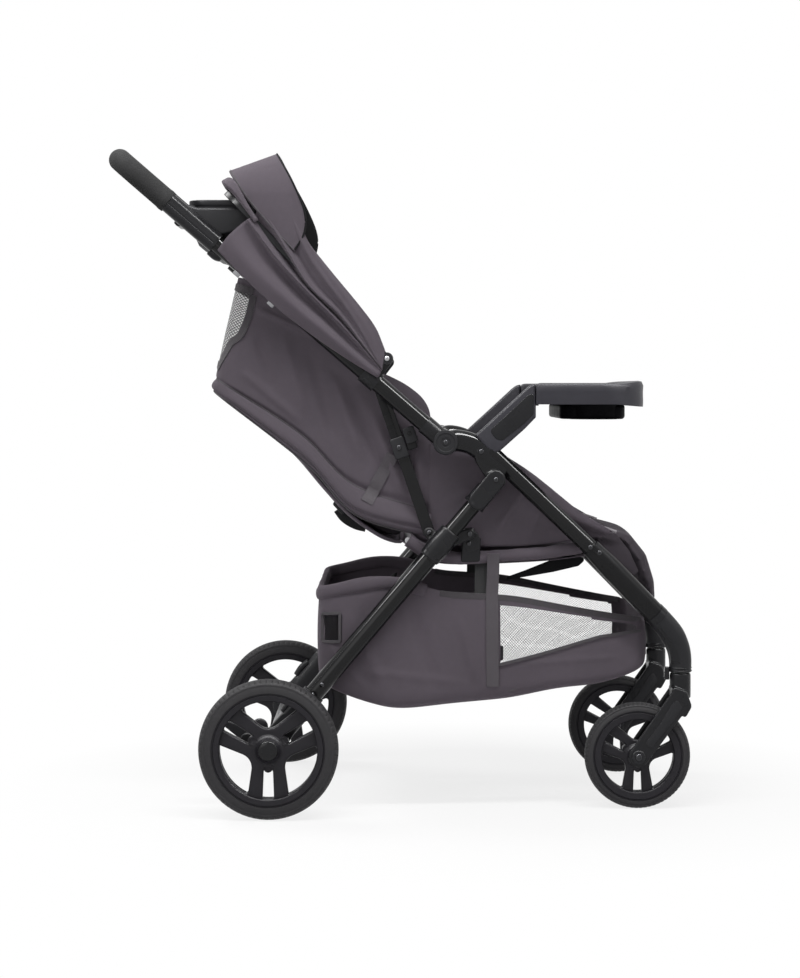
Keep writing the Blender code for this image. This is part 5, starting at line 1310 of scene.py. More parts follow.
class StrollerWheels(bpy.types.Operator):
    """Casters with their forks, foam tyres with tread, and spoked rims"""

    bl_idname = "stroller.wheels"
    bl_label = "Wheels"

    def execute(self, context):
        size = context.scene.stroller_frame
        for side in SIDES:
            self.fork(side)
            self.lock(side)
            self.wheel("front", side, size.front_wheel_radius, size.tread_blocks)
            self.wheel("rear", side, size.rear_wheel_radius, size.tread_blocks)
        self.axle()
        return {"FINISHED"}

    def fork(self, side):
        """Two arms of the fork's outline joined over the wheel, melted into the swivel's stem."""
        y = side * FRONT_TRACK
        axle = at(FRONT_AXLE, y)
        arms = [plate([fork_side()], y + s * 0.02325 - 0.0028, y + s * 0.02325 + 0.0028, 0.0022, steps=3)
                for s in SIDES]
        outline = [(CASTER_X - 0.0165, 0.1935), (CASTER_X - 0.0120, 0.1972), (CASTER_X + 0.0080, 0.1895),
                   (CASTER_X + 0.0160, 0.1680), (CASTER_X - 0.0020, 0.1500), (CASTER_X - 0.0060, 0.1640),
                   (CASTER_X - 0.0140, 0.1790)]
        roof = plate([rounded(outline, 0.004)], y - 0.0240, y + 0.0240, 0.003, steps=3)
        stem = turned([(TIP, 0.1780), (0.0168, 0.1780), (0.0170, 0.1900), (0.0170, 0.2150),
                       (0.0158, 0.2178), (TIP, 0.2178)], (CASTER_X, y, 0.0), "Z", 40)
        boss = turned([(TIP, -0.0262), (0.0140, -0.0262), (0.0165, -0.0240), (0.0165, -0.0205),
                       (TIP, -0.0205)], axle, sides=40)
        other = turned([(TIP, 0.0205), (0.0165, 0.0205), (0.0165, 0.0240), (0.0140, 0.0262), (TIP, 0.0262)],
                       axle, sides=40)
        shells = [moulded([*arms, roof, stem, boss, other], 0.0013, 5)]
        inset = rounded([(0.4440, 0.1780), (0.4530, 0.1640), (0.4380, 0.1430), (0.4020, 0.0990),
                         (0.3920, 0.1060), (0.4180, 0.1400), (0.4360, 0.1700)], 0.006)
        profile = [(TIP, 0.0255), (0.0108, 0.0255), (0.0110, 0.0275), (0.0098, 0.0286), (TIP, 0.0286)]
        for s in SIDES:
            low, high = sorted((y + s * 0.0258, y + s * 0.0268))
            shells.append(plate([inset], low, high, 0.0004, finish=1))
            shells.append(turned([(r, s * h) for r, h in profile], axle, sides=32, finish=1))
            shells.append(dome(at(FRONT_AXLE, y + s * 0.0284), 0.0056, 0.0026, s, 24, finish=2, recess=0.5))
        piece(side_name("fork_moulding", side), shells, ["smooth_plastic", "plastic", "rivet"],
              side_name("caster", side), side_name("caster_fork", side))

    def lock(self, side):
        """The swivel lock's slider with a ribbed thumb pad."""
        y = side * FRONT_TRACK
        low, high = CASTER_X - 0.0255, CASTER_X - 0.0180
        box = level_plate([rounded_box((low, y - 0.0075), (high, y + 0.0075), 0.002, 4)], 0.2070, 0.2270,
                          0.0012)
        ribs = [bar([(low, y + k, z) for k in (-0.006, 0.0, 0.006)], circle(0.0009, 8), (0, 0, 1))
                for z in (0.2110, 0.2145, 0.2180)]
        piece(side_name("lock_slider", side), [box, *ribs], ["smooth_plastic"], side_name("lock", side),
              side_name("swivel_lock", side))

    def wheel(self, place, side, radius, blocks):
        """A foam tyre and its spoked rim."""
        size = WHEELS[place]
        centre = at(size["centre"], side * size["track"])
        body = side_name(place + "_wheel", side)
        piece(side_name("tyre_tread_" + place, side), self.tread(size, centre, radius, blocks), "tyre",
              body, side_name("tyre_" + place, side), angle=50)
        piece(side_name("rim_moulding_" + place, side), self.rim(size, centre, place == "front"),
              ["rim", "gloss_plastic"], body, side_name("rim_" + place, side), angle=35)

    def tread(self, size, centre, radius, blocks):
        """A tyre turned from its section, with a groove between each pair of blocks.

        The tyre's radius is the section's less depth times a narrow cosine pulse of the angle.
        """
        x, y, z = centre
        half, seat = size["half"], size["seat"]
        a = np.pi * np.linspace(0.0, 1.0, 39)
        depth = radius - seat
        across = -np.cos(a) * half * (1 - 0.05 * np.sin(a) ** 4)
        shape = seat + 0.0002 + depth * np.clip(np.sin(a), 0, 1) ** 0.42
        steps = blocks * 6
        angle = 2 * np.pi * np.arange(steps) / steps
        pulse = np.clip(np.cos(blocks * angle), 0.0, 1.0) ** 6
        swirl = np.clip(np.cos(blocks * (angle[:, None] + 0.018 * np.sign(across)[None, :])), 0.0, 1.0) ** 6
        across = across * (1 - 0.085 * bump(shape, seat + 0.52 * depth, 0.0011))
        zone = smooth_step(shape, seat + 0.62 * depth, seat + 0.90 * depth)
        zone = zone * smooth_step(np.abs(across), 0.20 * half, 0.50 * half)
        r = shape[None, :] - 0.0018 * swirl * zone[None, :]
        r = r - 0.0007 * bump(np.abs(across), 0.30 * half, 0.0012)[None, :] * (0.4 + 0.6 * pulse[:, None])
        c, s = np.cos(angle), np.sin(angle)
        outside = np.stack([x + r * c[:, None], y + across[None, :] + 0 * r, z + r * s[:, None]], axis=2)
        foot = np.stack([np.stack([x + seat * c, np.full(steps, y + w), z + seat * s], axis=1)
                         for w in (half * 0.86, -half * 0.86)], axis=1)
        return grid(np.concatenate([outside, foot], axis=1), wrap_u=True, wrap_v=True)

    def rim(self, size, centre, front):
        """A pierced disc, a ring for the tyre, a hub, a pit at the root of each spoke pair and two caps."""
        x, y, z = centre
        seat, inner, hub, web, face, cap = (size[key]
                                            for key in ("seat", "inner", "hub", "web", "face", "cap"))
        wall = size["half"] * 0.90
        slot_start, slot_half = size["holes"][:2]
        disc = plate([arc((0, 0), inner + 0.0095, 0, 357, 119), *rim_holes(inner, *size["holes"])], -web,
                     web, 0.0034, origin=centre, steps=4)
        ring = turned([(inner, -wall + 0.001), (inner + 0.0012, -wall - 0.0004),
                       (seat - 0.0035, -wall - 0.0010), (seat - 0.0022, -wall + 0.0006),
                       (seat + 0.0010, -wall + 0.0006), (seat + 0.0012, 0.0),
                       (seat + 0.0010, wall - 0.0006), (seat - 0.0022, wall - 0.0006),
                       (seat - 0.0035, wall + 0.0010), (inner + 0.0012, wall + 0.0004),
                       (inner, wall - 0.001), (inner + 0.0022, 0.0035), (inner + 0.0022, -0.0035)], centre,
                      sides=120)
        core = turned([(TIP, -face), (hub - 0.0010, -face), (hub, -face + 0.0012),
                       (hub + 0.0022, -web - 0.0040), (hub + 0.0050, -web - 0.0012),
                       (hub + 0.0090, -web + 0.0006), (hub + 0.0090, web - 0.0006),
                       (hub + 0.0050, web + 0.0012), (hub + 0.0022, web + 0.0040), (hub, face - 0.0012),
                       (hub - 0.0010, face), (TIP, face)], centre, sides=56)
        shells = [disc, ring, core]
        for pair in SPOKE_PAIRS:
            c, s = math.cos(math.radians(pair)), math.sin(math.radians(pair))
            start = slot_start - 0.0010
            pit = at((x + c * start, z + s * start), y)
            for k in SIDES:
                shells.append(turned([(TIP, k * web * 0.90), (slot_half * 0.74, k * web * 0.90),
                                      (slot_half * 0.86, k * web * 1.12),
                                      (slot_half * 1.02, k * web * 1.08),
                                      (slot_half * 1.06, 0.0), (TIP, 0.0)], pit, sides=28))
        for k in SIDES:
            if front:
                lift = face + 0.0018
                shells.append(turned([(TIP, k * face), (cap, k * face), (cap * 0.96, k * lift),
                                      (TIP, k * lift)], centre, sides=40, finish=1))
            else:
                shells.append(dome((x, y + k * (face - 0.0004), z), cap, 0.0042, k, 40, finish=1))
        return shells

    def axle(self):
        """The plain axle between the two housings, stepped down in the wheels."""
        y = np.array([-0.3055, -0.2635, -0.2630, -0.1000, 0.1000, 0.2630, 0.2635, 0.3055])
        r = np.array([0.0060, 0.0060, 0.0085, 0.0085, 0.0085, 0.0085, 0.0060, 0.0060])
        path = np.column_stack([np.full(8, REAR_AXLE[0]), y, np.full(8, REAR_AXLE[1])])
        piece("axle_bar", grid(swept(path, circle(1.0), (1, 0, 0), r), wrap_v=True, cap=True), "steel",
              "rear_frame", "rear_axle")


# ---------------------------------------------------------------------------
# Rear frame and fold linkage
# ---------------------------------------------------------------------------


class StrollerRearFrame(bpy.types.Operator):
    """Rear legs with their brackets, collars, flat links, axle housings and brake pedal"""

    bl_idname = "stroller.rear_frame"
    bl_label = "Rear Frame"

    def execute(self, context):
        radius = context.scene.stroller_frame.leg_radius
        for side in SIDES:
            self.leg(side, radius)
            self.bracket(side)
            self.collar(side)
            self.link(side)
            self.axle_housing(side)
        self.pedal()
        return {"FINISHED"}

    def leg(self, side, radius):
        """The leg: a slimmer gloss tube down to the collar, and the full tube below it."""
        reach = np.array([0.024, 0.060, 0.100, 0.128, 0.134, 0.142, 0.200, 0.300, 0.400,
                          LEG_LENGTH - 0.068])
        path = upright([along_leg(r) for r in reach], side * LEG_HALF)
        size = np.where(reach < 0.130, radius * 0.86, radius)
        size[4] = radius * 0.90
        piece(side_name("rear_leg_tube", side), bar(path, circle(1.0), scale=size), "paint", "rear_frame",
              side_name("rear_leg", side))

    def bracket(self, side):
        """The top fitting: a sleeve whose rounded head wraps the pivot, with a ridge and a screw."""
        y = side * LEG_HALF
        path = even([at(along_leg(0.0200), y), at(along_leg(0.0540), y)], 12)
        sleeve = bar(path, oval(0.0172, 0.0172, 40, 2.4), round_end=0.003)
        ear = side_plate([stadium(REAR_LEG_PIVOT, along_leg(0.044), 0.0158, 0.0150)], side, 0.2508, 0.2602,
                         0.0035, steps=4)
        skin = moulded([sleeve, ear], 0.0013, 8)
        ring = bar(even([at(along_leg(0.0490), y), at(along_leg(0.0540), y)], 4), circle(0.0182, 40),
                   round_end=0.0015)
        bolt = dome(at(REAR_LEG_PIVOT, side * 0.2598), 0.0042, 0.0026, side, finish=1, recess=0.5)
        piece(side_name("leg_bracket", side), [skin, ring, bolt], ["smooth_plastic", "rivet"], "rear_frame",
              side_name("rear_bracket", side))

    def collar(self, side):
        """The sliding sleeve: bulging in its middle, with an ear for the link and one for the seat rail."""
        t = np.linspace(0.0, 1.0, 22)
        path = upright([along_leg(0.108 + 0.056 * k) for k in t], side * LEG_HALF)
        swell = 0.0168 + 0.0022 * np.sin(np.pi * t) ** 1.5
        sleeve = bar(path, oval(1.0, 1.0, 44, 2.5), scale=swell, round_end=0.0025)
        foot = along_leg(0.136)
        low, high = sorted((side * 0.2224, side * 0.2328))
        ears = [plate([stadium(foot, LINK_LOWER, 0.0125, 0.0088)], low, high, 0.0025, steps=3),
                plate([stadium(foot, SEAT_BRACKET, 0.0125, 0.0088)], low + (0.0023 if side > 0 else 0.0),
                      high - (0.0 if side > 0 else 0.0023), 0.0025, steps=3)]
        skin = moulded([sleeve, *ears], 0.0013, 6)
        rings = [bar(path[k:k + 3], oval(0.0176, 0.0176, 44, 2.5), round_end=0.001) for k in (1, 18)]
        bolts = [dome(at(LINK_LOWER, side * 0.2326), 0.0042, 0.0026, side, finish=1, recess=0.5),
                 dome(at(SEAT_BRACKET, side * 0.2326), 0.0046, 0.0026, side, finish=1, recess=0.5)]
        piece(side_name("collar_sleeve", side), [skin, *rings, *bolts], ["smooth_plastic", "rivet"],
              "collars", side_name("collar", side))

    def link(self, side):
        """The flat bar: gloss strip with eyes, a plate over its upper half, a clamp and a latch clip."""
        strip = side_plate([stadium(LINK_LOWER, LINK_UPPER, 0.0094, 0.0094)], side, 0.2178, 0.2216, 0.0012,
                           steps=3)
        foot = np.array(LINK_LOWER)
        u = np.array(LINK_UPPER) - foot
        u = u / float(np.linalg.norm(u))
        v = np.array([u[1], -u[0]])

        def place(along, aside):
            return tuple(foot + u * along + v * aside)

        def block(start, end, left, right, inner, outer, bevel=0.0016, finish=1):
            """A rounded block on the bar: its ends along the bar, its edges aside and its two faces."""
            corners = [place(start, left), place(start, right), place(end, right), place(end, left)]
            return side_plate([rounded(corners, 0.003, 4)], side, inner, outer, bevel, finish=finish)

        eye = [(0.0018, 0.2260), (0.0036, 0.2260), (0.0038, 0.2270), (0.0018, 0.2272)]
        shells = [strip,
                  block(0.158, 0.262, -0.0098, 0.0020, 0.2214, 0.2234, 0.0008, finish=2),
                  block(0.126, 0.160, -0.0130, 0.0100, 0.2165, 0.2268),
                  dome(at(place(0.1435, -0.0020), side * 0.2266), 0.0042, 0.0022, side, finish=3,
                       recess=0.5),
                  block(0.144, 0.170, 0.0115, 0.0310, 0.2190, 0.2262),
                  block(0.134, 0.146, 0.0100, 0.0270, 0.2190, 0.2240, finish=2),
                  turned([(r, side * h) for r, h in eye], at(place(0.160, 0.0210), 0.0), sides=24,
                         finish=2)]
        piece(side_name("link_bar", side), shells, ["paint", "plastic", "satin", "rivet"], "fold_links",
              side_name("fold_link", side))

    def axle_housing(self, side):
        """The boot at the leg's foot: a sleeve melted into the axle's boss, and a spring cover."""
        path = upright([along_leg(r) for r in np.linspace(LEG_LENGTH - 0.108, LEG_LENGTH - 0.006, 24)],
                       side * LEG_HALF)
        swell = 0.0172 + 0.0012 * np.sin(np.pi * np.linspace(0.0, 1.0, 24))
        sleeve = bar(path, oval(1.0, 1.0, 44, 2.5), scale=swell, round_end=0.003)
        boss = drum(REAR_AXLE, *sorted((side * 0.2255, side * 0.2630)), 0.0195, 0.0212, 48)
        outline = [along_leg(LEG_LENGTH - 0.060, 0.018), along_leg(LEG_LENGTH - 0.052, -0.016),
                   along_leg(LEG_LENGTH - 0.010, -0.021), along_leg(LEG_LENGTH + 0.006, 0.020)]
        web = side_plate([rounded(outline, 0.008, 6)], side, 0.2290, 0.2570, 0.004, steps=3)
        shells = [moulded([sleeve, boss, web], 0.0014, 6),
                  bar(path[:4], oval(0.0183, 0.0183, 44, 2.5), round_end=0.0015)]
        for reach, lift in ((LEG_LENGTH - 0.128, 0.0), (LEG_LENGTH - 0.106, 0.001)):
            shells.append(dome(at(along_leg(reach, lift), side * (LEG_HALF + 0.0148)), 0.0040, 0.0032, side,
                               finish=1, recess=0.5))
        shells.append(dome(at(along_leg(LEG_LENGTH - 0.090), side * (LEG_HALF + 0.0172)), 0.0044, 0.0028,
                           side, finish=1, recess=0.5))
        disc = [(TIP, 0.2240), (0.0118, 0.2240), (0.0134, 0.2250), (0.0134, 0.2300), (0.0110, 0.2320),
                (TIP, 0.2320)]
        shells.append(turned([(r, side * h) for r, h in disc], (-0.2235, 0.0, 0.1370), sides=36, finish=2))
        spring = upright([along_leg(LEG_LENGTH - 0.086, 0.0175), along_leg(LEG_LENGTH - 0.070, 0.0205),
                          along_leg(LEG_LENGTH - 0.054, 0.0185)], side * 0.2400)
        shells.append(bar(curve(spring, 12), oval(0.0100, 0.0052, 24, 2.5), round_end=0.004))
        if side < 0:
            lug = plate([stadium(REAR_AXLE, PEDAL_HINGE, 0.0120, 0.0095)], -0.2370, -0.2255, 0.002, steps=3)
            pin = bar([at(PEDAL_HINGE, y) for y in (-0.1500, -0.1900, -0.2290)], circle(0.0050, 24),
                      (1, 0, 0), finish=1)
            shells += [lug, pin]
        piece(side_name("axle_boot", side), shells, ["plastic", "rivet", "rim"], "rear_frame",
              side_name("axle_housing", side))

    def pedal(self):
        """The brake pedal: a wedge with a ribbed tread and its hinge barrel."""
        x, z = PEDAL_HINGE
        outline = np.vstack([arc((x, z), 0.0088, -90, 70, 12),
                             [(x - 0.012, z + 0.0175), (x - 0.0450, z + 0.0305), (x - 0.0476, z + 0.0240),
                              (x - 0.020, z + 0.0020)]])
        wedge = plate([rounded(outline, [0.0] * 13 + [0.004, 0.003, 0.003, 0.004])], -0.2048, -0.1502,
                      0.0020, steps=3)
        ribs = [bar([(x - 0.017 - k * 0.0062, y, z + 0.0200 + k * 0.0025)
                     for y in (-0.200, -0.178, -0.155)],
                    circle(0.0012, 10), (0, 0, 1), finish=1) for k in range(5)]
        piece("brake_pedal_wedge", [wedge, *ribs], ["plastic", "smooth_plastic"], "brake", "brake_pedal")


# ---------------------------------------------------------------------------
# Child tray
# ---------------------------------------------------------------------------


TRAY_CUP_X, TRAY_CUP_Y = 0.316, 0.130


def tray_loop(inset=0.0):
    """The tray from above: square at its arms, rounded in front and hollowed towards the child."""
    w, rear, front, corner = 0.2500 - inset, 0.2160 + inset, 0.3920 - inset, 0.0750
    hollow = [(rear + 0.030 * math.sin(math.pi * k / 8), (w - 0.040) * math.cos(math.pi * k / 8))
              for k in range(9)]
    points = np.vstack([[(rear, -w)], arc((front - corner, -w + corner), corner, -90, 0, 12),
                        arc((front - corner, w - corner), corner, 0, 90, 12), [(rear, w)], hollow])
    return round_trip(points, 180)


class StrollerTray(bpy.types.Operator):
    """Child tray with a rolled rim, its recessed deck and the black cup liner"""

    bl_idname = "stroller.tray"
    bl_label = "Child Tray"

    def execute(self, context):
        section = [(0.0, 0.6505), (-0.0004, 0.6560), (0.0000, 0.6700), (-0.0006, 0.6780), (0.0020, 0.6832),
                   (0.0070, 0.6846), (0.0120, 0.6838), (0.0150, 0.6800), (0.0160, 0.6765), (0.0140, 0.6745),
                   (0.0060, 0.6720), (0.0040, 0.6560), (0.0036, 0.6505)]
        rows = []
        for inset, z in section:
            loop = tray_loop(inset)
            lip = 0.0040 * smooth_step(loop[:, 0], 0.350, 0.392) * smooth_step(z, 0.6700, 0.6830)
            drop = 0.0040 * smooth_step(loop[:, 0], 0.34, 0.392) * (1 - smooth_step(z, 0.651, 0.662))
            rows.append(level(loop, z + lip - drop))
        rim = grid(np.stack(rows), wrap_u=True, wrap_v=True)
        holes = [arc((TRAY_CUP_X, s * TRAY_CUP_Y), 0.0432, 0, 354, 59) for s in SIDES]
        deck = level_plate([tray_loop(0.0140), *holes], 0.6742, 0.6772, 0.0010)
        under = level_plate([tray_loop(0.0030), *holes], 0.6508, 0.6540, 0.0010, finish=1)
        bead = [torus(level(arc((TRAY_CUP_X, s * TRAY_CUP_Y), 0.0448, 0, 354, 59), 0.6772), 0.0016,
                      (0, 0, 1), sides=10) for s in SIDES]
        tongue = [(0.1885, 0.6485), (0.2200, 0.6485), (0.2200, 0.6615), (0.1885, 0.6615)]
        tongues = [side_plate([tongue], s, 0.2300, 0.2420, 0.001, finish=1) for s in SIDES]
        piece("tray_moulding", [rim, deck, under, *bead, *tongues], ["tray_plastic", "plastic"], "tray",
              "child_tray")
        profile = [(0.0445, 0.6772), (0.0418, 0.6775), (0.0412, 0.6700), (0.0400, 0.6400), (0.0370, 0.6290),
                   (TIP, 0.6285), (TIP, 0.6255), (0.0380, 0.6257), (0.0420, 0.6310), (0.0436, 0.6440),
                   (0.0446, 0.6700)]
        cups = [turned(profile, (TRAY_CUP_X, s * TRAY_CUP_Y, 0.0), "Z", 60) for s in SIDES]
        outer = rounded_box((TRAY_CUP_X - 0.0560, -0.1610), (TRAY_CUP_X + 0.0510, 0.1610), 0.030, 10)
        base = level_plate([outer, *holes], 0.6262, 0.6500, 0.0050, steps=4)
        piece("tray_cup_liner", [*cups, base], "liner", "tray", "tray_liner")
        return {"FINISHED"}


# ---------------------------------------------------------------------------
# Cloth helpers
# ---------------------------------------------------------------------------


def fold(points, start, end, width, height, fade=0.25):
    """A crease's height at each point, in X and Z: a smooth hill square to a line, faded at both ends."""
    a, b = np.array(start, float), np.array(end, float)
    u = (b - a) / np.linalg.norm(b - a)
    d = points[..., [0, 2]] - a
    t = (d @ u) / np.linalg.norm(b - a)
    off = d[..., 0] * u[1] - d[..., 1] * u[0]
    return height * bump(off, 0.0, width) * smooth_step(t, 0.0, fade) * smooth_step(1 - t, 0.0, fade)


def folds(points, lines):
    """The sum of several creases."""
    return sum(fold(points, *line) for line in lines)


def tape(path, width, thick, up=(0.0, 1.0, 0.0), finish=0):
    """A flat strap of rectangular section, its broad side square to up."""
    section = [(-thick / 2, -width / 2), (thick / 2, -width / 2), (thick / 2, width / 2),
               (-thick / 2, width / 2)]
    return bar(path, section, up, finish=finish)


def laid_on_side(cloth, path, side, out, spread):
    """A path in X and Z set on a cloth's side, each station at the nearest cloth point's distance across.

    The distances are averaged over 2 spread + 1 stations and moved outwards by out.
    """
    flat = cloth.reshape(-1, 3)
    flat = flat[np.sign(flat[:, 1]) == side]
    gap = (path[:, None, 0] - flat[None, :, 0]) ** 2 + (path[:, None, 1] - flat[None, :, 2]) ** 2
    nearest = np.pad(flat[np.argmin(gap, axis=1), 1], spread, mode="edge")
    window = 2 * spread + 1
    return upright(path, np.convolve(nearest, np.ones(window) / window, "valid") + side * out)


def surface(rows, count_u, count_v):
    """A smooth grid through rows of control points: a cubic along each row, then one across the rows."""
    fine = np.stack([curve(row, count_v) for row in rows])
    return through(fine, count_u)


def through(rows, count):
    """More rows through given ones: a cubic through every column."""
    return np.stack([curve(rows[:, k], count, spaced=False) for k in range(rows.shape[1])], axis=1)


def widened(line, half, count):
    """A sheet from a line in the middle plane: its points repeated across, as far as half at each side."""
    points = line[:, None, :] + np.zeros((1, count, 3))
    points[..., 1] = np.linspace(-1.0, 1.0, count) * half
    return points


# ---------------------------------------------------------------------------
# Seat
# ---------------------------------------------------------------------------

def pad_ring(centre, out, half, thick, crown, wing=0.0, steps=16):
    """One section of a pad: flat beneath; above, thick (0.72 + crown (1 - t^2)) plus wings past t = 0.55."""
    t = np.linspace(-1.0, 1.0, steps + 1)
    rise = thick * (0.72 + crown * (1 - t**2)) + wing * np.maximum(0.0, np.abs(t) - 0.55)
    rise[[0, -1]] *= 0.62
    y = np.concatenate([t * half, [half * 0.97, half * 0.6, -half * 0.6, -half * 0.97]])
    lift = np.concatenate([rise, [thick * 0.15, 0.0, 0.0, thick * 0.15]])
    return np.stack([centre[0] + out[0] * lift, y, centre[1] + out[1] * lift], axis=1)


# Sections of the three pads. Seat: share of the length, swell and crown. Back: reach, swell, crown and sag.
# Calf: centre, direction out of its front, half width and swell
SEAT_STATIONS = [
    (0.00, 0.40, 0.0), (0.03, 0.70, 0.14), (0.10, 0.86, 0.22), (0.28, 0.90, 0.25), (0.50, 0.88, 0.24),
    (0.75, 0.90, 0.25), (0.90, 0.86, 0.24), (0.97, 0.78, 0.18), (1.00, 0.64, 0.10),
]
BACK_STATIONS = [
    (0.012, 0.42, 0.00, 0.002), (0.022, 0.68, 0.12, -0.003), (0.050, 0.80, 0.18, -0.010),
    (0.100, 0.86, 0.22, -0.014), (0.160, 0.88, 0.22, -0.007), (0.230, 0.90, 0.22, 0.004),
    (0.300, 0.90, 0.22, 0.004), (0.350, 0.86, 0.20, 0.004), (0.370, 0.72, 0.14, 0.005),
    (0.379, 0.50, 0.05, 0.007),
]
CALF_STATIONS = [
    ((0.3215, 0.4325), (0.00, 1.00), 0.182, 0.60), ((0.3310, 0.4360), (0.20, 0.97), 0.184, 0.75),
    ((0.3600, 0.4270), (0.60, 0.80), 0.182, 1.00), ((0.3800, 0.3965), (0.90, 0.43), 0.177, 1.25),
    ((0.3930, 0.3560), (0.96, 0.28), 0.168, 1.25), ((0.4020, 0.3250), (0.96, 0.28), 0.155, 0.80),
]


class StrollerSeat(bpy.types.Operator):
    """Seat and back cushions, calf rest, wrapped rails, fabric sides, piping and the back's shell"""

    bl_idname = "stroller.seat"
    bl_label = "Seat"

    def execute(self, context):
        pad = self.seat_pad()
        back = self.back_pad()
        self.calf_rest()
        self.piping(context.scene.stroller_cloth.piping_radius)
        for side in SIDES:
            self.rail(side)
            self.side_sheet(side)
        self.shell()
        self.base()
        self.harness(pad, back)
        return {"FINISHED"}

    def seat_pad(self):
        """The seat's cushion, narrowed at both ends, with two sewn channels."""
        rows = []
        for t, swell, crown in SEAT_STATIONS:
            half = 0.1930 * (0.94 if t in (0.0, 1.0) else 1.0)
            rows.append(pad_ring((0.054 + 0.260 * t, 0.4030), (0.0, 1.0), half, 0.052 * swell, crown))
        pad = cushion("seat_cushion", rows, "seat_frame", "seat_pad", cap=0.007)
        self.quilt(pad, (0.13, 0.21), 0.0035)
        return pad

    def back_pad(self):
        """The back's cushion with its two wings."""
        c, s = math.cos(BACK_ANGLE), math.sin(BACK_ANGLE)
        ends = (BACK_STATIONS[0][0], BACK_STATIONS[-1][0])
        rows = []
        for reach, swell, crown, sag in BACK_STATIONS:
            half = 0.1780 * (0.95 if reach in ends else 1.0)
            rows.append(pad_ring(back_point(reach, sag), (s, -c), half, 0.040 * swell - sag, crown, 0.026))
        return cushion("back_cushion", rows, "back", "backrest", cap=0.006)

    def calf_rest(self):
        """The calf rest's cushion and the gusset at each of its sides."""
        rows = []
        for centre, out, half, swell in CALF_STATIONS:
            n = math.hypot(*out)
            rows.append(pad_ring(centre, (out[0] / n, out[1] / n), half, 0.017 * swell, 0.25))
        calf = cushion("calf_cushion", rows, None, "calf_rest", voxel=0.0045, cap=0.005)
        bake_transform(calf)
        outline = rounded([(0.3149, 0.4391), (0.3480, 0.4420), (0.3700, 0.4140), (0.3850, 0.3800),
                           (0.3760, 0.3740), (0.3560, 0.3900), (0.3300, 0.4130)], 0.004)
        gussets = [side_plate([outline], side, 0.1760, 0.1784, 0.0008) for side in SIDES]
        gusset = piece("calf_gusset", gussets, ["pad"], None)
        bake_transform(gusset)

    def quilt(self, pad, spots, depth):
        """Sewn channels across a cushion: its top sinks in a narrow valley at each spot along X."""
        mesh = pad.data
        co = points_of(mesh)
        top = smooth_step(co[:, 2], 0.425, 0.440)
        for spot in spots:
            co[:, 2] -= depth * bump(co[:, 0], spot, 0.006) * top
        mesh.vertices.foreach_set("co", co.ravel())
        mesh.update()

    def piping(self, radius):
        """Pale cord along the seat's front edge at both sides."""
        for side in SIDES:
            path = curve([(0.2960, side * 0.1915, 0.4590), (0.3120, side * 0.1905, 0.4560),
                          (0.3310, side * 0.1900, 0.4510), (0.3480, side * 0.1890, 0.4450)], 26)
            shell = bar(path, circle(radius, 12), (0, 0, 1), round_end=0.001)
            cord = piece(side_name("seat_piping", side), shell, "piping", None)
            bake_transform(cord)

    def rail(self, side):
        """The rail in its cloth sleeve, with the bracket that meets the collar and the two pivot screws."""
        points = [(0.2990, 0.4232), (0.2300, 0.4125), (0.0950, 0.4035), (0.0400, 0.4130), (0.0128, 0.4327)]
        path = even(fillet(upright(points, side * RAIL_HALF), 0.040), 120)
        x = path[:, 0]
        wave = 1 + 0.025 * np.sin(x * 210.0) * smooth_step(x, 0.10, 0.14) + 0.02 * np.sin(x * 97.0 + 1.0)
        sleeve = bar(path, circle(1.0, 28), scale=0.0099 * wave, round_end=0.003)
        bx, bz = SEAT_BRACKET
        outline = rounded([(bx - 0.0140, 0.3985), (bx + 0.0165, 0.3995), (bx + 0.0180, bz - 0.0080),
                           (bx + 0.0050, bz + 0.0095), (bx - 0.0100, bz + 0.0080)], 0.004)
        bracket = side_plate([outline], side, 0.2120, 0.2220, 0.0020, finish=1, steps=3)
        screw = dome((bx - 0.0010, side * 0.2218, bz - 0.0160), 0.0040, 0.0022, side, finish=2, recess=0.5)
        pin = bar([at(SEAT_PIVOT, side * k) for k in (0.2060, 0.2180, 0.2290)], circle(0.0050, 20),
                  (1, 0, 0), finish=2)
        piece(side_name("rail_sleeve", side), [sleeve, bracket, screw, pin],
              ["cloth", "smooth_plastic", "rivet"], "seat_frame", side_name("seat_rail", side))

    def side_sheet(self, side):
        """The seat's fabric side, from the leg down to the rail, with creases that fan from its top."""
        stations = [((0.0470, 0.4260), (0.0470, 0.5860), 0.0), ((0.1300, 0.4230), (0.1400, 0.5800), 0.0),
                    ((0.1700, 0.4230), (0.1750, 0.5640), 0.0050),
                    ((0.2000, 0.4240), (0.2117, 0.5400), 0.0150),
                    ((0.2500, 0.4290), (0.2510, 0.5085), 0.0150),
                    ((0.2930, 0.4360), (0.2903, 0.4772), 0.0130),
                    ((0.3250, 0.4380), (0.3400, 0.4475), 0.0030)]
        rows = []
        for t, lean in ((0.0, 0.0), (0.30, 0.15), (0.62, 1.0), (1.0, 1.0)):
            rows.append([(between(low[0], high[0], t), side * (0.2050 + flare * lean),
                          between(low[1], high[1], t))
                         for low, high, flare in stations])
        points = surface(np.array(rows), 34, 90)
        lift = folds(points, [((0.2150, 0.5380), (0.1500, 0.4400), 0.0050, 0.0040),
                              ((0.1900, 0.5500), (0.1050, 0.4650), 0.0060, -0.0030),
                              ((0.2400, 0.5200), (0.2050, 0.4350), 0.0045, 0.0030),
                              ((0.1500, 0.5500), (0.0800, 0.4900), 0.0080, 0.0030)])
        points[..., 1] += side * lift
        sheet = cloth_piece(side_name("seat_wing", side), grid(points, flip=side > 0), "cloth",
                            "front_frame", side_name("seat_side", side), thick=0.0016)

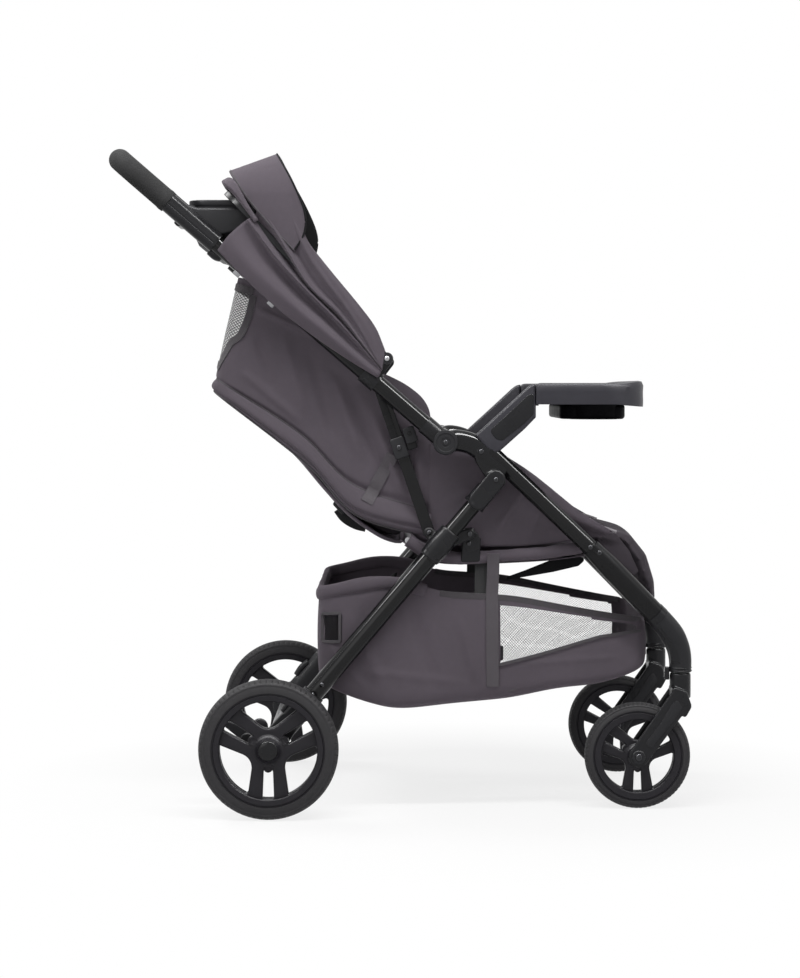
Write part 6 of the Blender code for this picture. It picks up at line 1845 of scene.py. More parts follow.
    def base(self):
        """The cloth stretched between the rails under the seat cushion, turned up to the back's rod."""
        line = [(0.2980, 0.4080), (0.2300, 0.4000), (0.0950, 0.3945), (0.0420, 0.4020), (0.0150, 0.4230),
                (0.0000, 0.4330)]
        points = widened(curve(upright(line), 50), 0.2030, 31)
        points[..., 2] -= 0.0020 * (1 - np.linspace(-1.0, 1.0, 31) ** 2)
        base = cloth_piece("seat_base", grid(points), ["cloth"], "seat_frame", thick=0.0016, offset=0.0)

    def over(self, pad, path, y, up, rise=0.0014):
        """A path laid on a cushion: each station at the height of the highest point close to it."""
        up = np.array([up[0], 0.0, up[1]])
        spots = upright(path, y)
        offset = points_of(pad.data)[None, :, :] - spots[:, None, :]
        height = offset @ up
        aside = np.linalg.norm(offset - height[..., None] * up, axis=2)
        top = np.where(aside < 0.012, height, -1.0).max(axis=1)
        top = np.convolve(np.pad(top, 3, mode="edge"), np.ones(7) / 7, "valid")
        return spots + (top + rise)[:, None] * up

    def harness(self, pad, back):
        """Five-point harness: shoulder straps on the back, waist and crotch straps and the buckle."""
        c, s = math.cos(BACK_ANGLE), math.sin(BACK_ANGLE)
        straps = []
        for side in SIDES:
            reach = np.linspace(0.345, 0.035, 40)
            path = [back_point(r, 0.0) for r in reach]
            y = side * np.interp(reach, [0.035, 0.20, 0.345], [0.050, 0.062, 0.066])
            straps.append(tape(self.over(back, path, y, (s, -c)), 0.0250, 0.0018, (s, 0.0, -c)))
            path = [back_point(r, 0.0) for r in np.linspace(0.300, 0.190, 20)]
            pads = self.over(back, path, side * 0.0655, (s, -c), 0.0036)
            straps.append(tape(pads, 0.0460, 0.0060, (s, 0.0, -c), finish=1))
        piece("harness_shoulders", straps, ["black_webbing", "pad"], "back")
        lower = []
        for side in SIDES:
            x = np.linspace(0.080, 0.152, 24)
            y = side * np.interp(x, [0.080, 0.152], [0.150, 0.030])
            waist = self.over(pad, level(x[:, None], 0.403), y, (0.0, 1.0))
            lower.append(tape(waist, 0.0250, 0.0018, (0.0, 0.0, 1.0)))
        crotch = self.over(pad, level(np.linspace(0.158, 0.215, 16)[:, None], 0.403), 0.0, (0.0, 1.0))
        lower.append(tape(crotch, 0.0250, 0.0018, (0.0, 0.0, 1.0)))
        top = float(crotch[0, 2])
        outline = rounded([(0.1320, -0.0300), (0.1700, -0.0230), (0.1780, 0.0), (0.1700, 0.0230),
                           (0.1320, 0.0300), (0.1260, 0.0)], 0.008, 6)
        lower.append(level_plate([outline], top - 0.0010, top + 0.0130, 0.0035, finish=1, steps=3))
        button = circle(0.0085, 32) + (0.1520, 0.0)
        lower.append(level_plate([button], top + 0.0120, top + 0.0152, 0.0010, finish=2))
        piece("harness_buckle", lower, ["black_webbing", "smooth_plastic", "clip"], "seat_frame")

    def shell(self):
        """The back's stiff outer shell, covered in cloth, with its rod and the strap adjuster."""
        under = [(0.0062, 0.0000), (0.018, -0.0080), (0.045, -0.0160), (0.100, -0.0200), (0.160, -0.0120),
                 (0.230, 0.0000), (0.300, 0.0004), (0.388, 0.0000)]
        line = curve(upright([back_point(reach, rise - 0.0022) for reach, rise in under]), 44)
        points = widened(line, 0.1920, 41)
        c, s = math.cos(BACK_ANGLE), math.sin(BACK_ANGLE)
        curl = 0.0045 * smooth_step(np.abs(np.linspace(-1.0, 1.0, 41)), 0.90, 1.0)
        points[..., 0] += s * curl
        points[..., 2] -= c * curl
        covered = cloth_piece("back_shell", grid(points), ["cloth"], "back_hinge", "back_board",
                              thick=0.0026, offset=0.0)
        path = np.array([at(RECLINE_PIVOT, y) for y in np.linspace(-0.2115, 0.2115, 12)])
        piece("back_rod_steel", bar(path, circle(0.0050, 24), (1, 0, 0), round_end=0.001), "steel",
              "back_hinge", "back_rod")
        corners = [back_point(0.104, -0.0236), back_point(0.132, -0.0200), back_point(0.130, -0.0290),
                   back_point(0.106, -0.0325)]
        toggle = plate([rounded(corners, 0.003)], -0.1060, -0.0800, 0.0014, steps=3)
        tail = upright([back_point(0.118, -0.0290), back_point(0.100, -0.0330), back_point(0.080, -0.0300),
                        back_point(0.064, -0.0225)], -0.093)
        strap = tape(curve(tail, 18), 0.0180, 0.0014, (0, 1, 0), finish=1)
        piece("recline_adjuster", [toggle, strap], ["smooth_plastic", "black_webbing"], "back_hinge",
              "recline_toggle")


# ---------------------------------------------------------------------------
# Seat surround
# ---------------------------------------------------------------------------


def outwards(points):
    """Unit normals of a grid, square to both of its directions, that point outwards."""
    normal = np.cross(np.gradient(points, axis=0), np.gradient(points, axis=1))
    normal /= np.linalg.norm(normal, axis=2)[..., None]
    away = np.sum(normal * (points - (0.1, 0.0, points[..., 2].mean())) * (1, 1, 0), axis=2)
    return normal * np.where(away < 0, -1.0, 1.0)[..., None]


# Rows of the surround from its lower edge up, each from the front to the rear: X and Z
SURROUND_ROWS = [
    ((0.0480, 0.4370), (-0.0700, 0.4740), (-0.1500, 0.5560), (-0.2990, 0.6720)),
    ((0.0500, 0.4560), (-0.0720, 0.4900), (-0.1540, 0.5730), (-0.3000, 0.6800)),
    ((0.0500, 0.4720), (-0.0740, 0.5160), (-0.1590, 0.5980), (-0.2985, 0.6900)),
    ((0.0500, 0.5200), (-0.0780, 0.5520), (-0.1640, 0.6260), (-0.2955, 0.7040)),
    ((0.0500, 0.6020), (-0.0780, 0.6080), (-0.1700, 0.6650), (-0.2915, 0.7230)),
    ((0.0440, 0.6480), (-0.0760, 0.6700), (-0.1740, 0.7050), (-0.2870, 0.7430)),
    ((0.0110, 0.6810), (-0.0960, 0.7100), (-0.1860, 0.7400), (-0.2820, 0.7660)),
    ((-0.0640, 0.7210), (-0.1400, 0.7500), (-0.2030, 0.7750), (-0.2752, 0.7940)),
    ((-0.1500, 0.7900), (-0.1950, 0.7990), (-0.2300, 0.8110), (-0.2680, 0.8230)),
    ((-0.2180, 0.8450), (-0.2330, 0.8480), (-0.2460, 0.8510), (-0.2600, 0.8540)),
]
# Of the 96 rows laid through these: the window's lowest and highest, and the seam above the rolled edge
WINDOW_LOW, WINDOW_HIGH = 38, 90
ROLL_SEAM = 23
# Distances from the middle of the rows listed above
SURROUND_HALVES = [0.2060] * 7 + [0.2075, 0.2150, 0.2215]
# Creases: two ends in X and Z, width and height
SURROUND_CREASES = [
    ((-0.0500, 0.6500), (0.0100, 0.4900), 0.0060, 0.0040),
    ((-0.0850, 0.6800), (-0.0200, 0.5300), 0.0070, -0.0035),
    ((-0.1100, 0.7050), (-0.0600, 0.5550), 0.0070, 0.0035),
    ((-0.1500, 0.7500), (-0.1000, 0.5800), 0.0090, -0.0025),
    ((-0.1900, 0.7700), (-0.1500, 0.6200), 0.0100, 0.0025),
    ((-0.2300, 0.7700), (-0.2000, 0.6600), 0.0100, -0.0020),
    ((-0.2550, 0.8150), (-0.0700, 0.7300), 0.0050, 0.0025),
    ((0.0300, 0.5900), (0.0350, 0.4700), 0.0070, 0.0030),
    ((-0.0300, 0.6200), (0.0300, 0.5200), 0.0060, -0.0030),
    ((-0.2600, 0.7100), (-0.1500, 0.6150), 0.0070, 0.0020),
]


class StrollerSurround(bpy.types.Operator):
    """Fabric that closes the seat behind: both sides, the rolled lower edge and the net window"""

    bl_idname = "stroller.surround"
    bl_label = "Seat Surround"

    def execute(self, context):
        points = self.creased(self.wall())
        nu, nv = points.shape[:2]
        border = np.round(np.interp(np.arange(nu) / (nu - 1) * 9.0, [3.4, 9.0], [61.0, 49.0])).astype(int)
        i, j = np.meshgrid(np.arange(nu - 1), np.arange(nv - 1), indexing="ij")
        window = (i >= WINDOW_LOW) & (i <= WINDOW_HIGH) & (j >= border[i]) & (j < nv - 1 - border[i])
        shell = grid(points)
        shell["finish"] = window.ravel().astype(int)
        inner = points[0] * (1.0, 0.184 / 0.206, 1.0) + (0.0, 0.0, 0.0010)
        inner[:, 0] += 0.020 * (1 - smooth_step(points[0][:, 0], -0.296, -0.240))
        flange = grid(np.stack([between(points[0], inner, t) for t in (0.0, 0.3, 0.6, 1.0)]))
        cover = cloth_piece("seat_surround_cloth", [shell, flange], ["cloth", "net"], None, "seat_surround")
        hem = piece("surround_binding", self.bands(points, border), ["binding"], "handle")
        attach(cover, "handle")
        piece("surround_clips", self.clips(), ["clip"], "handle")
        path = even([(-0.0120, 0.5700), (-0.0163, 0.5612), (-0.0350, 0.5270), (-0.0530, 0.4940)], 24)
        straps = [tape(laid_on_side(points, path, side, 0.0018, 2), 0.0200, 0.0018) for side in SIDES]
        webbing = piece("surround_straps", straps, ["webbing"], "handle")
        for soft in (cover, hem, webbing):
            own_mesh(soft)
        return {"FINISHED"}

    def wall(self):
        """The cloth before its creases: every row runs along a side, round a corner and across the back."""
        corner = 0.030
        a = np.linspace(0.0, np.pi / 2, 9)
        loops = []
        for row, half in zip(SURROUND_ROWS, SURROUND_HALVES):
            line = curve([(x, -half, z) for x, z in row], 70)
            back_x, back_z = row[-1]
            side = even(line[line[:, 0] > back_x + corner * 0.8], 56)
            x = back_x + corner * (1 - np.sin(a)) * 0.8
            turn = np.stack([x, -half + corner * (1 - np.cos(a)),
                             np.interp(x, line[::-1, 0], line[::-1, 2])], axis=1)
            across = np.linspace(-half + corner, half - corner, 41)[1:-1]
            back = np.stack([np.full(39, back_x), across, np.full(39, back_z)], axis=1)
            near = np.vstack([side, turn[1:]])
            loops.append(np.vstack([near, back, near[::-1] * (1, -1, 1)]))
        return through(np.stack(loops), 96)

    def creased(self, points):
        """The cloth with its rolled lower edge and its creases moved into it."""
        v = np.linspace(0.0, 9.0, 96)[:, None]
        sign = np.where(points[..., 1] < 0, -1.0, 1.0)
        flank = smooth_step(points[..., 0], -0.292, -0.255)
        flank = flank * smooth_step(np.abs(points[..., 1]), 0.17, 0.20)
        roll = 0.0105 * np.sin(np.pi * np.clip(v / 2.15, 0, 1)) ** 0.7 - 0.0045 * bump(v, 2.25, 0.18)
        roll = roll - 0.0030 * bump(v, 0.62, 0.16)
        lift = (roll + 1.6 * folds(points, SURROUND_CREASES) * smooth_step(v, 1.8, 3.0)) * flank
        points[..., 1] += sign * lift
        rear = 1 - smooth_step(points[..., 0], -0.292, -0.262)
        swell = 0.004 * np.sin(np.pi * np.clip(v / 2.15, 0, 1)) - 0.002 * bump(v, 2.2, 0.25)
        points[..., 0] -= rear * swell
        return points

    def bands(self, points, border):
        """Bindings round the window, along the lower edge and along the roll's seam."""
        nv = points.shape[1]
        out = outwards(points)
        rows = np.arange(WINDOW_LOW - 4, WINDOW_HIGH + 4)
        bands = []
        for side in SIDES:
            pick = border[rows] if side < 0 else nv - 1 - border[rows]
            spots, up = points[rows, pick][::6], out[rows, pick][::6]
            bands.append(tape(curve(spots, 60), 0.0110, 0.0028, curve(up, 60)))
        for row in (WINDOW_LOW, WINDOW_HIGH):
            reach = slice(border[row] - 1, nv - border[row] + 1)
            bands.append(tape(points[row, reach], 0.0110, 0.0028, out[row, reach]))
        reach = slice(4, nv - 4)
        bands.append(bar(points[0, reach], circle(0.0024, 10), (0, 0, 1)))
        seam = points[ROLL_SEAM, reach] - 0.0004 * out[ROLL_SEAM, reach]
        bands.append(bar(seam, circle(0.0012, 8), (0, 0, 1)))
        return bands

    def clips(self):
        """Two small clips at each side that hold the cloth to the handle tube."""
        c, s = math.cos(HANDLE_ANGLE), math.sin(HANDLE_ANGLE)
        box = rounded([(-0.0058, -0.0034), (0.0058, -0.0034), (0.0058, 0.0034), (-0.0058, 0.0034)], 0.001,
                      3)
        clips = []
        for side in SIDES:
            for x, z in ((-0.2585, 0.8568), (-0.2045, 0.8092)):
                loop = np.column_stack([x + box[:, 0] * c - box[:, 1] * s,
                                        z + box[:, 0] * s + box[:, 1] * c])
                clips.append(side_plate([loop], side, 0.2520, 0.2565, 0.0008))
        return clips


# ---------------------------------------------------------------------------
# Canopy
# ---------------------------------------------------------------------------

# Fold lines of a pleated side, from the outer end to the tip: X, Z and the distance from the middle
FAN = [
    [(-0.2887, 0.8942, 0.2575), (-0.2398, 0.8437, 0.2560), (-0.1846, 0.7948, 0.2560),
     (-0.1294, 0.7530, 0.2560), (-0.0789, 0.7191, 0.2560), (-0.0363, 0.6930, 0.2560)],
    [(-0.2714, 0.9163, 0.2640), (-0.2230, 0.8600, 0.2670), (-0.1700, 0.8090, 0.2665),
     (-0.1166, 0.7660, 0.2650), (-0.0740, 0.7300, 0.2620), (-0.0325, 0.6960, 0.2580)],
    [(-0.2477, 0.9384, 0.2570), (-0.2114, 0.8879, 0.2490), (-0.1672, 0.8358, 0.2455),
     (-0.1167, 0.7877, 0.2465), (-0.0710, 0.7427, 0.2520), (-0.0300, 0.7025, 0.2575)],
    [(-0.2398, 0.9431, 0.2640), (-0.1988, 0.8879, 0.2655), (-0.1546, 0.8390, 0.2655),
     (-0.1073, 0.7916, 0.2640), (-0.0663, 0.7475, 0.2620), (-0.0292, 0.7041, 0.2590)],
    [(-0.2303, 0.9510, 0.2530), (-0.1830, 0.8863, 0.2445), (-0.1467, 0.8358, 0.2430),
     (-0.1010, 0.7909, 0.2455), (-0.0647, 0.7490, 0.2510), (-0.0284, 0.7049, 0.2575)],
    [(-0.2209, 0.9636, 0.2620), (-0.1767, 0.8911, 0.2650), (-0.1436, 0.8390, 0.2650),
     (-0.0978, 0.7948, 0.2640), (-0.0631, 0.7506, 0.2620), (-0.0284, 0.7057, 0.2590)],
    [(-0.2083, 0.9731, 0.2570), (-0.1657, 0.8942, 0.2560), (-0.1357, 0.8453, 0.2560),
     (-0.0915, 0.7980, 0.2570), (-0.0592, 0.7530, 0.2595), (-0.0284, 0.7065, 0.2590)],
    [(-0.1893, 0.9889, 0.2620), (-0.1515, 0.9005, 0.2640), (-0.1231, 0.8564, 0.2650),
     (-0.0836, 0.8059, 0.2645), (-0.0536, 0.7601, 0.2630), (-0.0276, 0.7080, 0.2600)],
    [(-0.1672, 0.9384, 0.2585), (-0.1388, 0.8990, 0.2590), (-0.1041, 0.8556, 0.2595),
     (-0.0631, 0.8059, 0.2600), (-0.0379, 0.7711, 0.2600), (-0.0237, 0.7364, 0.2590)],
]
# The visor's rear and front edges from the top to the tip: X and Z
SEAM = [(-0.2737, 1.0238), (-0.2480, 0.9830), (-0.2210, 0.9494), (-0.1925, 0.9185), (-0.1672, 0.8945)]
FRONT_EDGE = [(-0.1990, 1.0546), (-0.1700, 1.0020), (-0.1512, 0.9560), (-0.1512, 0.9230), (-0.1668, 0.8946)]


class StrollerCanopy(bpy.types.Operator):
    """Canopy: pleated sides, gathered roll, the roof's cloths, flat hoops and the visor with its lining"""

    bl_idname = "stroller.canopy"
    bl_label = "Canopy"

    def execute(self, context):
        depth = context.scene.stroller_cloth.pleat_depth
        parts = [grid(self.fan(side, depth), flip=side > 0) for side in SIDES]
        parts.append(self.roll())
        cover = cloth_piece("canopy_folds", parts, ["canopy", "lining"], None, ["canopy_fabric"],
                            thick=0.0012, lined=True)
        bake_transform(cover)
        self.roof()
        self.visor()
        self.hoops()
        return {"FINISHED"}

    def roof(self):
        """The roof's two cloths, folded away at rest: handle to middle hoop, then on to the front hoop."""
        profile = [(-0.2620, 0.8820), (-0.2280, 0.8860), (-0.2120, 0.9020), (-0.2060, 0.9400),
                   (-0.2120, 0.9720), (-0.2380, 0.9845), (-0.2640, 0.9860)]
        line = curve(upright(profile), 48)
        rear = line[:, None, :] + np.zeros((1, 60, 3))
        rear[..., 1] = np.linspace(-0.2220, 0.2220, 60)
        half, corner = 0.2400, 0.0500
        flat = arch(0.3660, half, corner, 0.0600, 40, 39)
        behind = 130.5 + 3.5 * smooth_step(half - np.abs(flat[:, 1]), 0.0, corner)
        front = []
        for t in np.linspace(0.0, 1.0, 21):
            angle = np.radians(between(behind, 127.5, t))
            front.append(np.column_stack([CANOPY_PIVOT[0] + flat[:, 0] * np.cos(angle), -flat[:, 1],
                                          CANOPY_PIVOT[1] + flat[:, 0] * np.sin(angle)]))
        for name, points, bodies, low, high in (
                ("roof_rear", rear, ("handle", "canopy_mid"), (-0.0300, -0.0334), (0.0335, 0.0372)),
                ("roof_front", np.stack(front), ("canopy_mid", "canopy_front"), (-0.0062, -0.0050),
                 (0.0062, 0.0050))):
            cloth = cloth_piece(name, grid(points), ["canopy", "lining"], None, thick=0.0012, lined=True)
            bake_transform(cloth)

    def fan(self, side, depth):
        """A pleated side: cubics through the fold lines, with finer ridges between them.

        Distance across = the fold lines' own, deepened about 0.2600 by the pleat setting.
        """
        lines = np.array(FAN)
        lines[..., 2] = 0.2600 + (lines[..., 2] - 0.2600) * depth / 0.011
        across = through(np.stack([curve(line, 60) for line in lines]), 97)
        t = np.linspace(0.0, 8.0, 97)[:, None]
        r = np.linspace(0.0, 1.0, 60)[None, :]
        ripple = 0.0007 * np.sin(t * 9.0 + 5 * r) * np.sin(np.pi * r) * smooth_step(t, 1.5, 2.5)
        sag = 0.0016 * np.sin(3.1 * t + 7.0 * r) * np.sin(np.pi * r) * (1 - smooth_step(t, 1.6, 2.2))
        out = np.stack([across[..., 0], side * (across[..., 2] + ripple + sag), across[..., 1]], axis=2)
        return out[:, ::-1]

    def roll(self):
        """The gathered roof: an oval roll across the canopy that thins as it turns down at both sides."""
        half = np.array([(-0.2270, -0.2610, 0.9400), (-0.2420, -0.2618, 0.9620), (-0.2560, -0.2610, 0.9830),
                         (-0.2650, -0.2570, 0.9950), (-0.2700, -0.2380, 1.0010),
                         (-0.2720, -0.2000, 1.0030)])
        middle = [(-0.2725, y, 1.0035) for y in np.linspace(-0.150, 0.150, 7)]
        path = curve(np.vstack([half, middle, half[::-1] * (1, -1, 1)]), 150)
        t = np.linspace(0.0, 1.0, 150)
        swell = smooth_step(np.minimum(t, 1 - t) * 2, 0.02, 0.28)
        wide, high = 0.0050 + 0.0075 * swell, 0.0035 + 0.0055 * swell
        a = 2 * np.pi * np.arange(48) / 48
        around, along = a[None, :], t[:, None]
        ripple = 1 + 0.05 * np.sin(3 * around + 9 * along) + 0.04 * np.sin(5 * around - 17 * along)
        section = np.stack([np.cos(around) * high[:, None] * ripple,
                            np.sin(around) * wide[:, None] * ripple], axis=2)
        up = np.array([(0.4, -0.3, 1.0)] * 3 + [(0.4, 0.0, 1.0)] * 144 + [(0.4, 0.3, 1.0)] * 3)
        return grid(swept(path, section, up), wrap_v=True, cap=True, flip=True)

    def visor(self):
        """The visor: hoops between the seam and the front edge, with round shoulders.

        A hoop climbs its side line, turns in along a quarter ellipse and crosses with a slight crown.
        """
        rear, front = np.array(SEAM), np.array(FRONT_EDGE)
        columns = []
        for t in np.linspace(0.0, 1.0, 31):
            line = curve(upright(between(rear, front, t)), 60)[::-1]
            corner = 0.052 + 0.034 * t
            reach = travelled(line)
            bulge = 0.0022 * math.sin(math.pi * min(t * 1.2, 1.0))
            y = 0.2622 + bulge * np.sin(np.pi * np.clip(reach / reach[-1], 0, 1))
            inside = np.clip(1 - (reach[-1] - reach) / corner, 0.0, 1.0)
            y = y - corner * (1 - np.sqrt(np.clip(1 - inside**2, 0.0, 1.0))) * 0.999
            side = np.column_stack([line[:, 0], -y, line[:, 2]])
            top = line[-1]
            across = np.linspace(side[-1, 1], -side[-1, 1], 61)[1:-1]
            crown = 0.0030 * (1 - (across / across[0]) ** 2)
            middle = np.column_stack([np.full(59, top[0]), across, top[2] + crown])
            columns.append(even(np.vstack([side, middle, side[::-1] * (1, -1, 1)]), 190))
        points = np.stack(columns)
        made = cloth_piece("visor_cloth", grid(points), ["canopy", "lining", "binding"], None,
                           "canopy_visor", thick=0.0022, lined=True)
        made.modifiers["thickness"].material_offset_rim = 1
        trims = [bar(points[-1] + (0.0004, 0.0, -0.0004), circle(0.0016, 10), (0, 0, 1)),
                 bar(points[1], circle(0.0011, 8), (0, 0, 1), finish=1)]
        hem = piece("visor_binding", trims, ["lining", "binding"], "canopy_front")
        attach(made, "canopy_front")

    def hoops(self):
        """The two flat hoops: a strip along each arch, with an eye at each pivot."""
        section = rounded_box((-0.0050, -0.0015), (0.0050, 0.0015), 0.0011, 4)
        eye = [arc(CANOPY_PIVOT, 0.0066, 0, 345, 23), arc(CANOPY_PIVOT, 0.0033, 0, 345, 23)]
        for name, node, body, angle, reach, half, corner in (
                ("mid_hoop", "canopy_mid_bow", "canopy_mid", math.radians(134.0), 0.370, 0.2530, 0.050),
                ("front_hoop", "canopy_front_bow", "canopy_front", math.radians(127.5), 0.373, 0.2565,
                 0.065)):
            c, s = math.cos(angle), math.sin(angle)
            flat = arch(reach, half, corner, 0.0, 30, 29)
            path = np.column_stack([CANOPY_PIVOT[0] + flat[:, 0] * c, flat[:, 1],
                                    CANOPY_PIVOT[1] + flat[:, 0] * s])
            shells = [grid(swept(path, section, (-s, 0.0, c)), wrap_v=True, cap=True)]
            shells += [side_plate(eye, side, half - 0.0015, half + 0.0015, 0.0008) for side in SIDES]
            piece(name, shells, ["smooth_plastic"], body, node)


# ---------------------------------------------------------------------------
# Basket
# ---------------------------------------------------------------------------

# Along the basket: X, the foot of its wall and its rim
BASKET_STATIONS = [
    (-0.1290, 0.2100, 0.3520), (-0.1104, 0.1930, 0.3600), (-0.0300, 0.1690, 0.3760),
    (0.0180, 0.1705, 0.3700), (0.0560, 0.1755, 0.3520), (0.1812, 0.1845, 0.3450),
    (0.2696, 0.2010, 0.3270), (0.3353, 0.2045, 0.3150), (0.3830, 0.2180, 0.3070),
    (0.3950, 0.2300, 0.3050),
]


# Creases of the bag's sides: two ends in X and Z, width and height
BASKET_CREASES = [
    ((-0.0900, 0.3300), (-0.0200, 0.1900), 0.0100, 0.0030),
    ((0.0100, 0.3500), (0.0600, 0.1900), 0.0120, -0.0025),
    ((0.0900, 0.3200), (0.1300, 0.1950), 0.0100, 0.0025),
    ((-0.1000, 0.2300), (0.1200, 0.2050), 0.0060, 0.0020),
    ((-0.0400, 0.3500), (-0.0900, 0.2200), 0.0090, -0.0025),
    ((0.1800, 0.2350), (0.3600, 0.2450), 0.0050, 0.0015),
    ((-0.1150, 0.2700), (-0.0500, 0.1900), 0.0060, 0.0020),
]
# Steps from the rim to the foot of the bag's wall, and from there to the floor's middle line
BASKET_LEVELS = 44
FLOOR_STEPS = 15


def basket_plan():
    """The basket from above: a closed outline that tapers to the front, with rounded corners."""
    half = [(-0.1290, -0.2180), (-0.0300, -0.2270), (0.0560, -0.2245), (0.1812, -0.2150), (0.2696, -0.2050),
            (0.3353, -0.1930), (0.3950, -0.1790)]
    other = [(x, -y) for x, y in half[::-1]]
    return round_trip(rounded(half + other, [0.030] + [0.2] * 5 + [0.028, 0.028] + [0.2] * 5 + [0.030], 10),
                      320)


class StrollerBasket(bpy.types.Operator):
    """Storage basket: sewn bag with net panels, padded rim, bindings and straps"""

    bl_idname = "stroller.basket"
    bl_label = "Basket"

    def execute(self, context):
        points = self.bag()
        shell = grid(points, wrap_v=True)
        shell["finish"] = self.panels(points)
        bag = cloth_piece("basket_bag", shell, ["cloth", "basket_net", "lining"], "front_frame", "basket")
        rim = points[0]
        trims = self.trims(points[:BASKET_LEVELS], rim)
        hem = piece("basket_binding", trims, ["binding", "webbing"], "front_frame")
        back = rim[rim[:, 0] < 0.045]
        order = np.argsort(np.arctan2(back[:, 1], back[:, 0] - 0.045) % (2 * np.pi))
        back = even(back[order], 130)
        t = np.linspace(0.0, 1.0, 130)
        puff = 1 + 0.05 * np.sin(t * 60.0) + 0.04 * np.sin(t * 23.0 + 1.0)
        rail = bar(back - (0, 0, 0.0065), oval(0.0105, 0.0062, 24, 2.2), (0, 0, 1), scale=puff,
                   round_end=0.004)
        soft = piece("basket_rim_sleeve", rail, ["cloth"], "front_frame")
        for part in (bag, hem, soft, self.hangers()):
            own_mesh(part)
        return {"FINISHED"}

    def bag(self):
        """The bag's cloth: rings down the wall, which bulge and tuck in, and on to the floor's middle."""
        plan = basket_plan()
        x, floor_z, rim_z = np.array(BASKET_STATIONS).T
        kernel = np.hanning(21) / np.hanning(21).sum()
        low, high = (np.interp(plan[:, 0], x, z) for z in (floor_z, rim_z))
        low, high = (np.convolve(np.concatenate([k[-10:], k, k[:10]]), kernel, "valid")
                     for k in (low, high))
        ring = plan - np.array([0.1300, 0.0])
        out = ring / np.linalg.norm(ring, axis=1)[:, None]
        rows = []
        for k in range(BASKET_LEVELS + 1):
            t = k / BASKET_LEVELS
            drop = min(1.0, t / 0.90)
            belly = 0.0045 * math.sin(math.pi * drop) ** 0.8
            tuck = 0.022 * max(0.0, (t - 0.80) / 0.20) ** 2.2
            z = between(high, low, drop) - (0.006 * max(0.0, (t - 0.90) / 0.10))
            rows.append(level(plan + out * (belly - tuck), z))
        last = rows[-1]
        spine = np.column_stack([np.clip(last[:, 0], -0.02, 0.30), np.zeros(len(last))])
        for k in range(1, FLOOR_STEPS):
            f = k / FLOOR_STEPS
            flat = between(last[:, :2], spine, f)
            drop = (np.interp(flat[:, 0], x, floor_z) - 0.004 - last[:, 2]) * smooth_step(f, 0, 1)
            rows.append(level(flat, last[:, 2] + drop - 0.0015 * math.sin(math.pi * f)))
        points = np.stack(rows)
        v = (np.arange(len(points)) / BASKET_LEVELS)[:, None]
        sign = np.where(points[..., 1] < 0, -1.0, 1.0)
        flank = smooth_step(np.abs(points[..., 1]), 0.14, 0.19) * (v <= 1.0)
        points[..., 1] += sign * folds(points, BASKET_CREASES) * flank
        return points

    def panels(self, points):
        """The finish of every face: 0 cloth, 1 net in windows and the floor's front, 2 lining."""
        nu, nv = points.shape[:2]
        i, _ = np.meshgrid(np.arange(nu - 1), np.arange(nv), indexing="ij")
        middle = (points[:-1] + points[1:]) / 2
        x, y, z = middle[..., 0], middle[..., 1], middle[..., 2]
        edge = np.interp(x, [0.150, 0.2260, 0.3190, 0.3920], [0.2345, 0.2515, 0.2775, 0.2860])
        edge = np.where(y > 0, 0.0, edge)
        top = np.interp(x, [0.150, 0.3920], [0.3330, 0.2930])
        front_part = (x > 0.1560) & (x < 0.3780)
        side_net = front_part & (z > edge) & (z < top)
        rear_net = (x < -0.096) & (x > -0.124) & (z > 0.272) & (z < 0.316) & (i < BASKET_LEVELS)
        floor_net = front_part & (i > BASKET_LEVELS + 1)
        return np.where(side_net | rear_net | floor_net, 1, np.where(i >= BASKET_LEVELS, 2, 0)).ravel()

    def trims(self, wall, rim):
        """Bindings along the rim and the nets, and a strap with its patch at each side."""
        trims = []
        x = rim[:, 0]
        for side in SIDES:
            near = rim[(np.sign(rim[:, 1]) == side) & (x > 0.060) & (x < 0.390)]
            near = near[np.argsort(near[:, 0])]
            trims.append(tape(even(near, 60) - (0.0, 0.0, 0.0040), 0.0095, 0.0030))
            if side < 0:
                lower = even([(0.1560, 0.2345), (0.2260, 0.2515), (0.3190, 0.2775), (0.3880, 0.2858)], 40)
                trims.append(tape(laid_on_side(wall, lower, side, 0.0012, 3), 0.0050, 0.0022))
            strap = even([(0.1470, 0.3500), (0.1470, 0.3000), (0.1475, 0.2500), (0.1480, 0.2000)], 40)
            strap = np.vstack([[(0.1490, side * 0.2210, 0.4120), (0.1485, side * 0.2190, 0.3780)],
                               laid_on_side(wall, strap, side, 0.0016, 3)])
            trims.append(tape(curve(strap, 60), 0.0195, 0.0018, finish=1))
            patch = rounded([(0.1570, 0.1900), (0.1840, 0.1920), (0.1840, 0.2180), (0.1570, 0.2160)], 0.002,
                            3)
            trims.append(side_plate([patch], side, 0.2135, 0.2155, 0.0006, finish=1))
        net_edge = even([(-0.1240, 0.272), (-0.1240, 0.316), (-0.0960, 0.318), (-0.0960, 0.272),
                         (-0.1240, 0.272)], 60)
        for side in SIDES:
            trims.append(tape(laid_on_side(wall, net_edge, side, 0.0012, 3), 0.0045, 0.0022))
        return trims

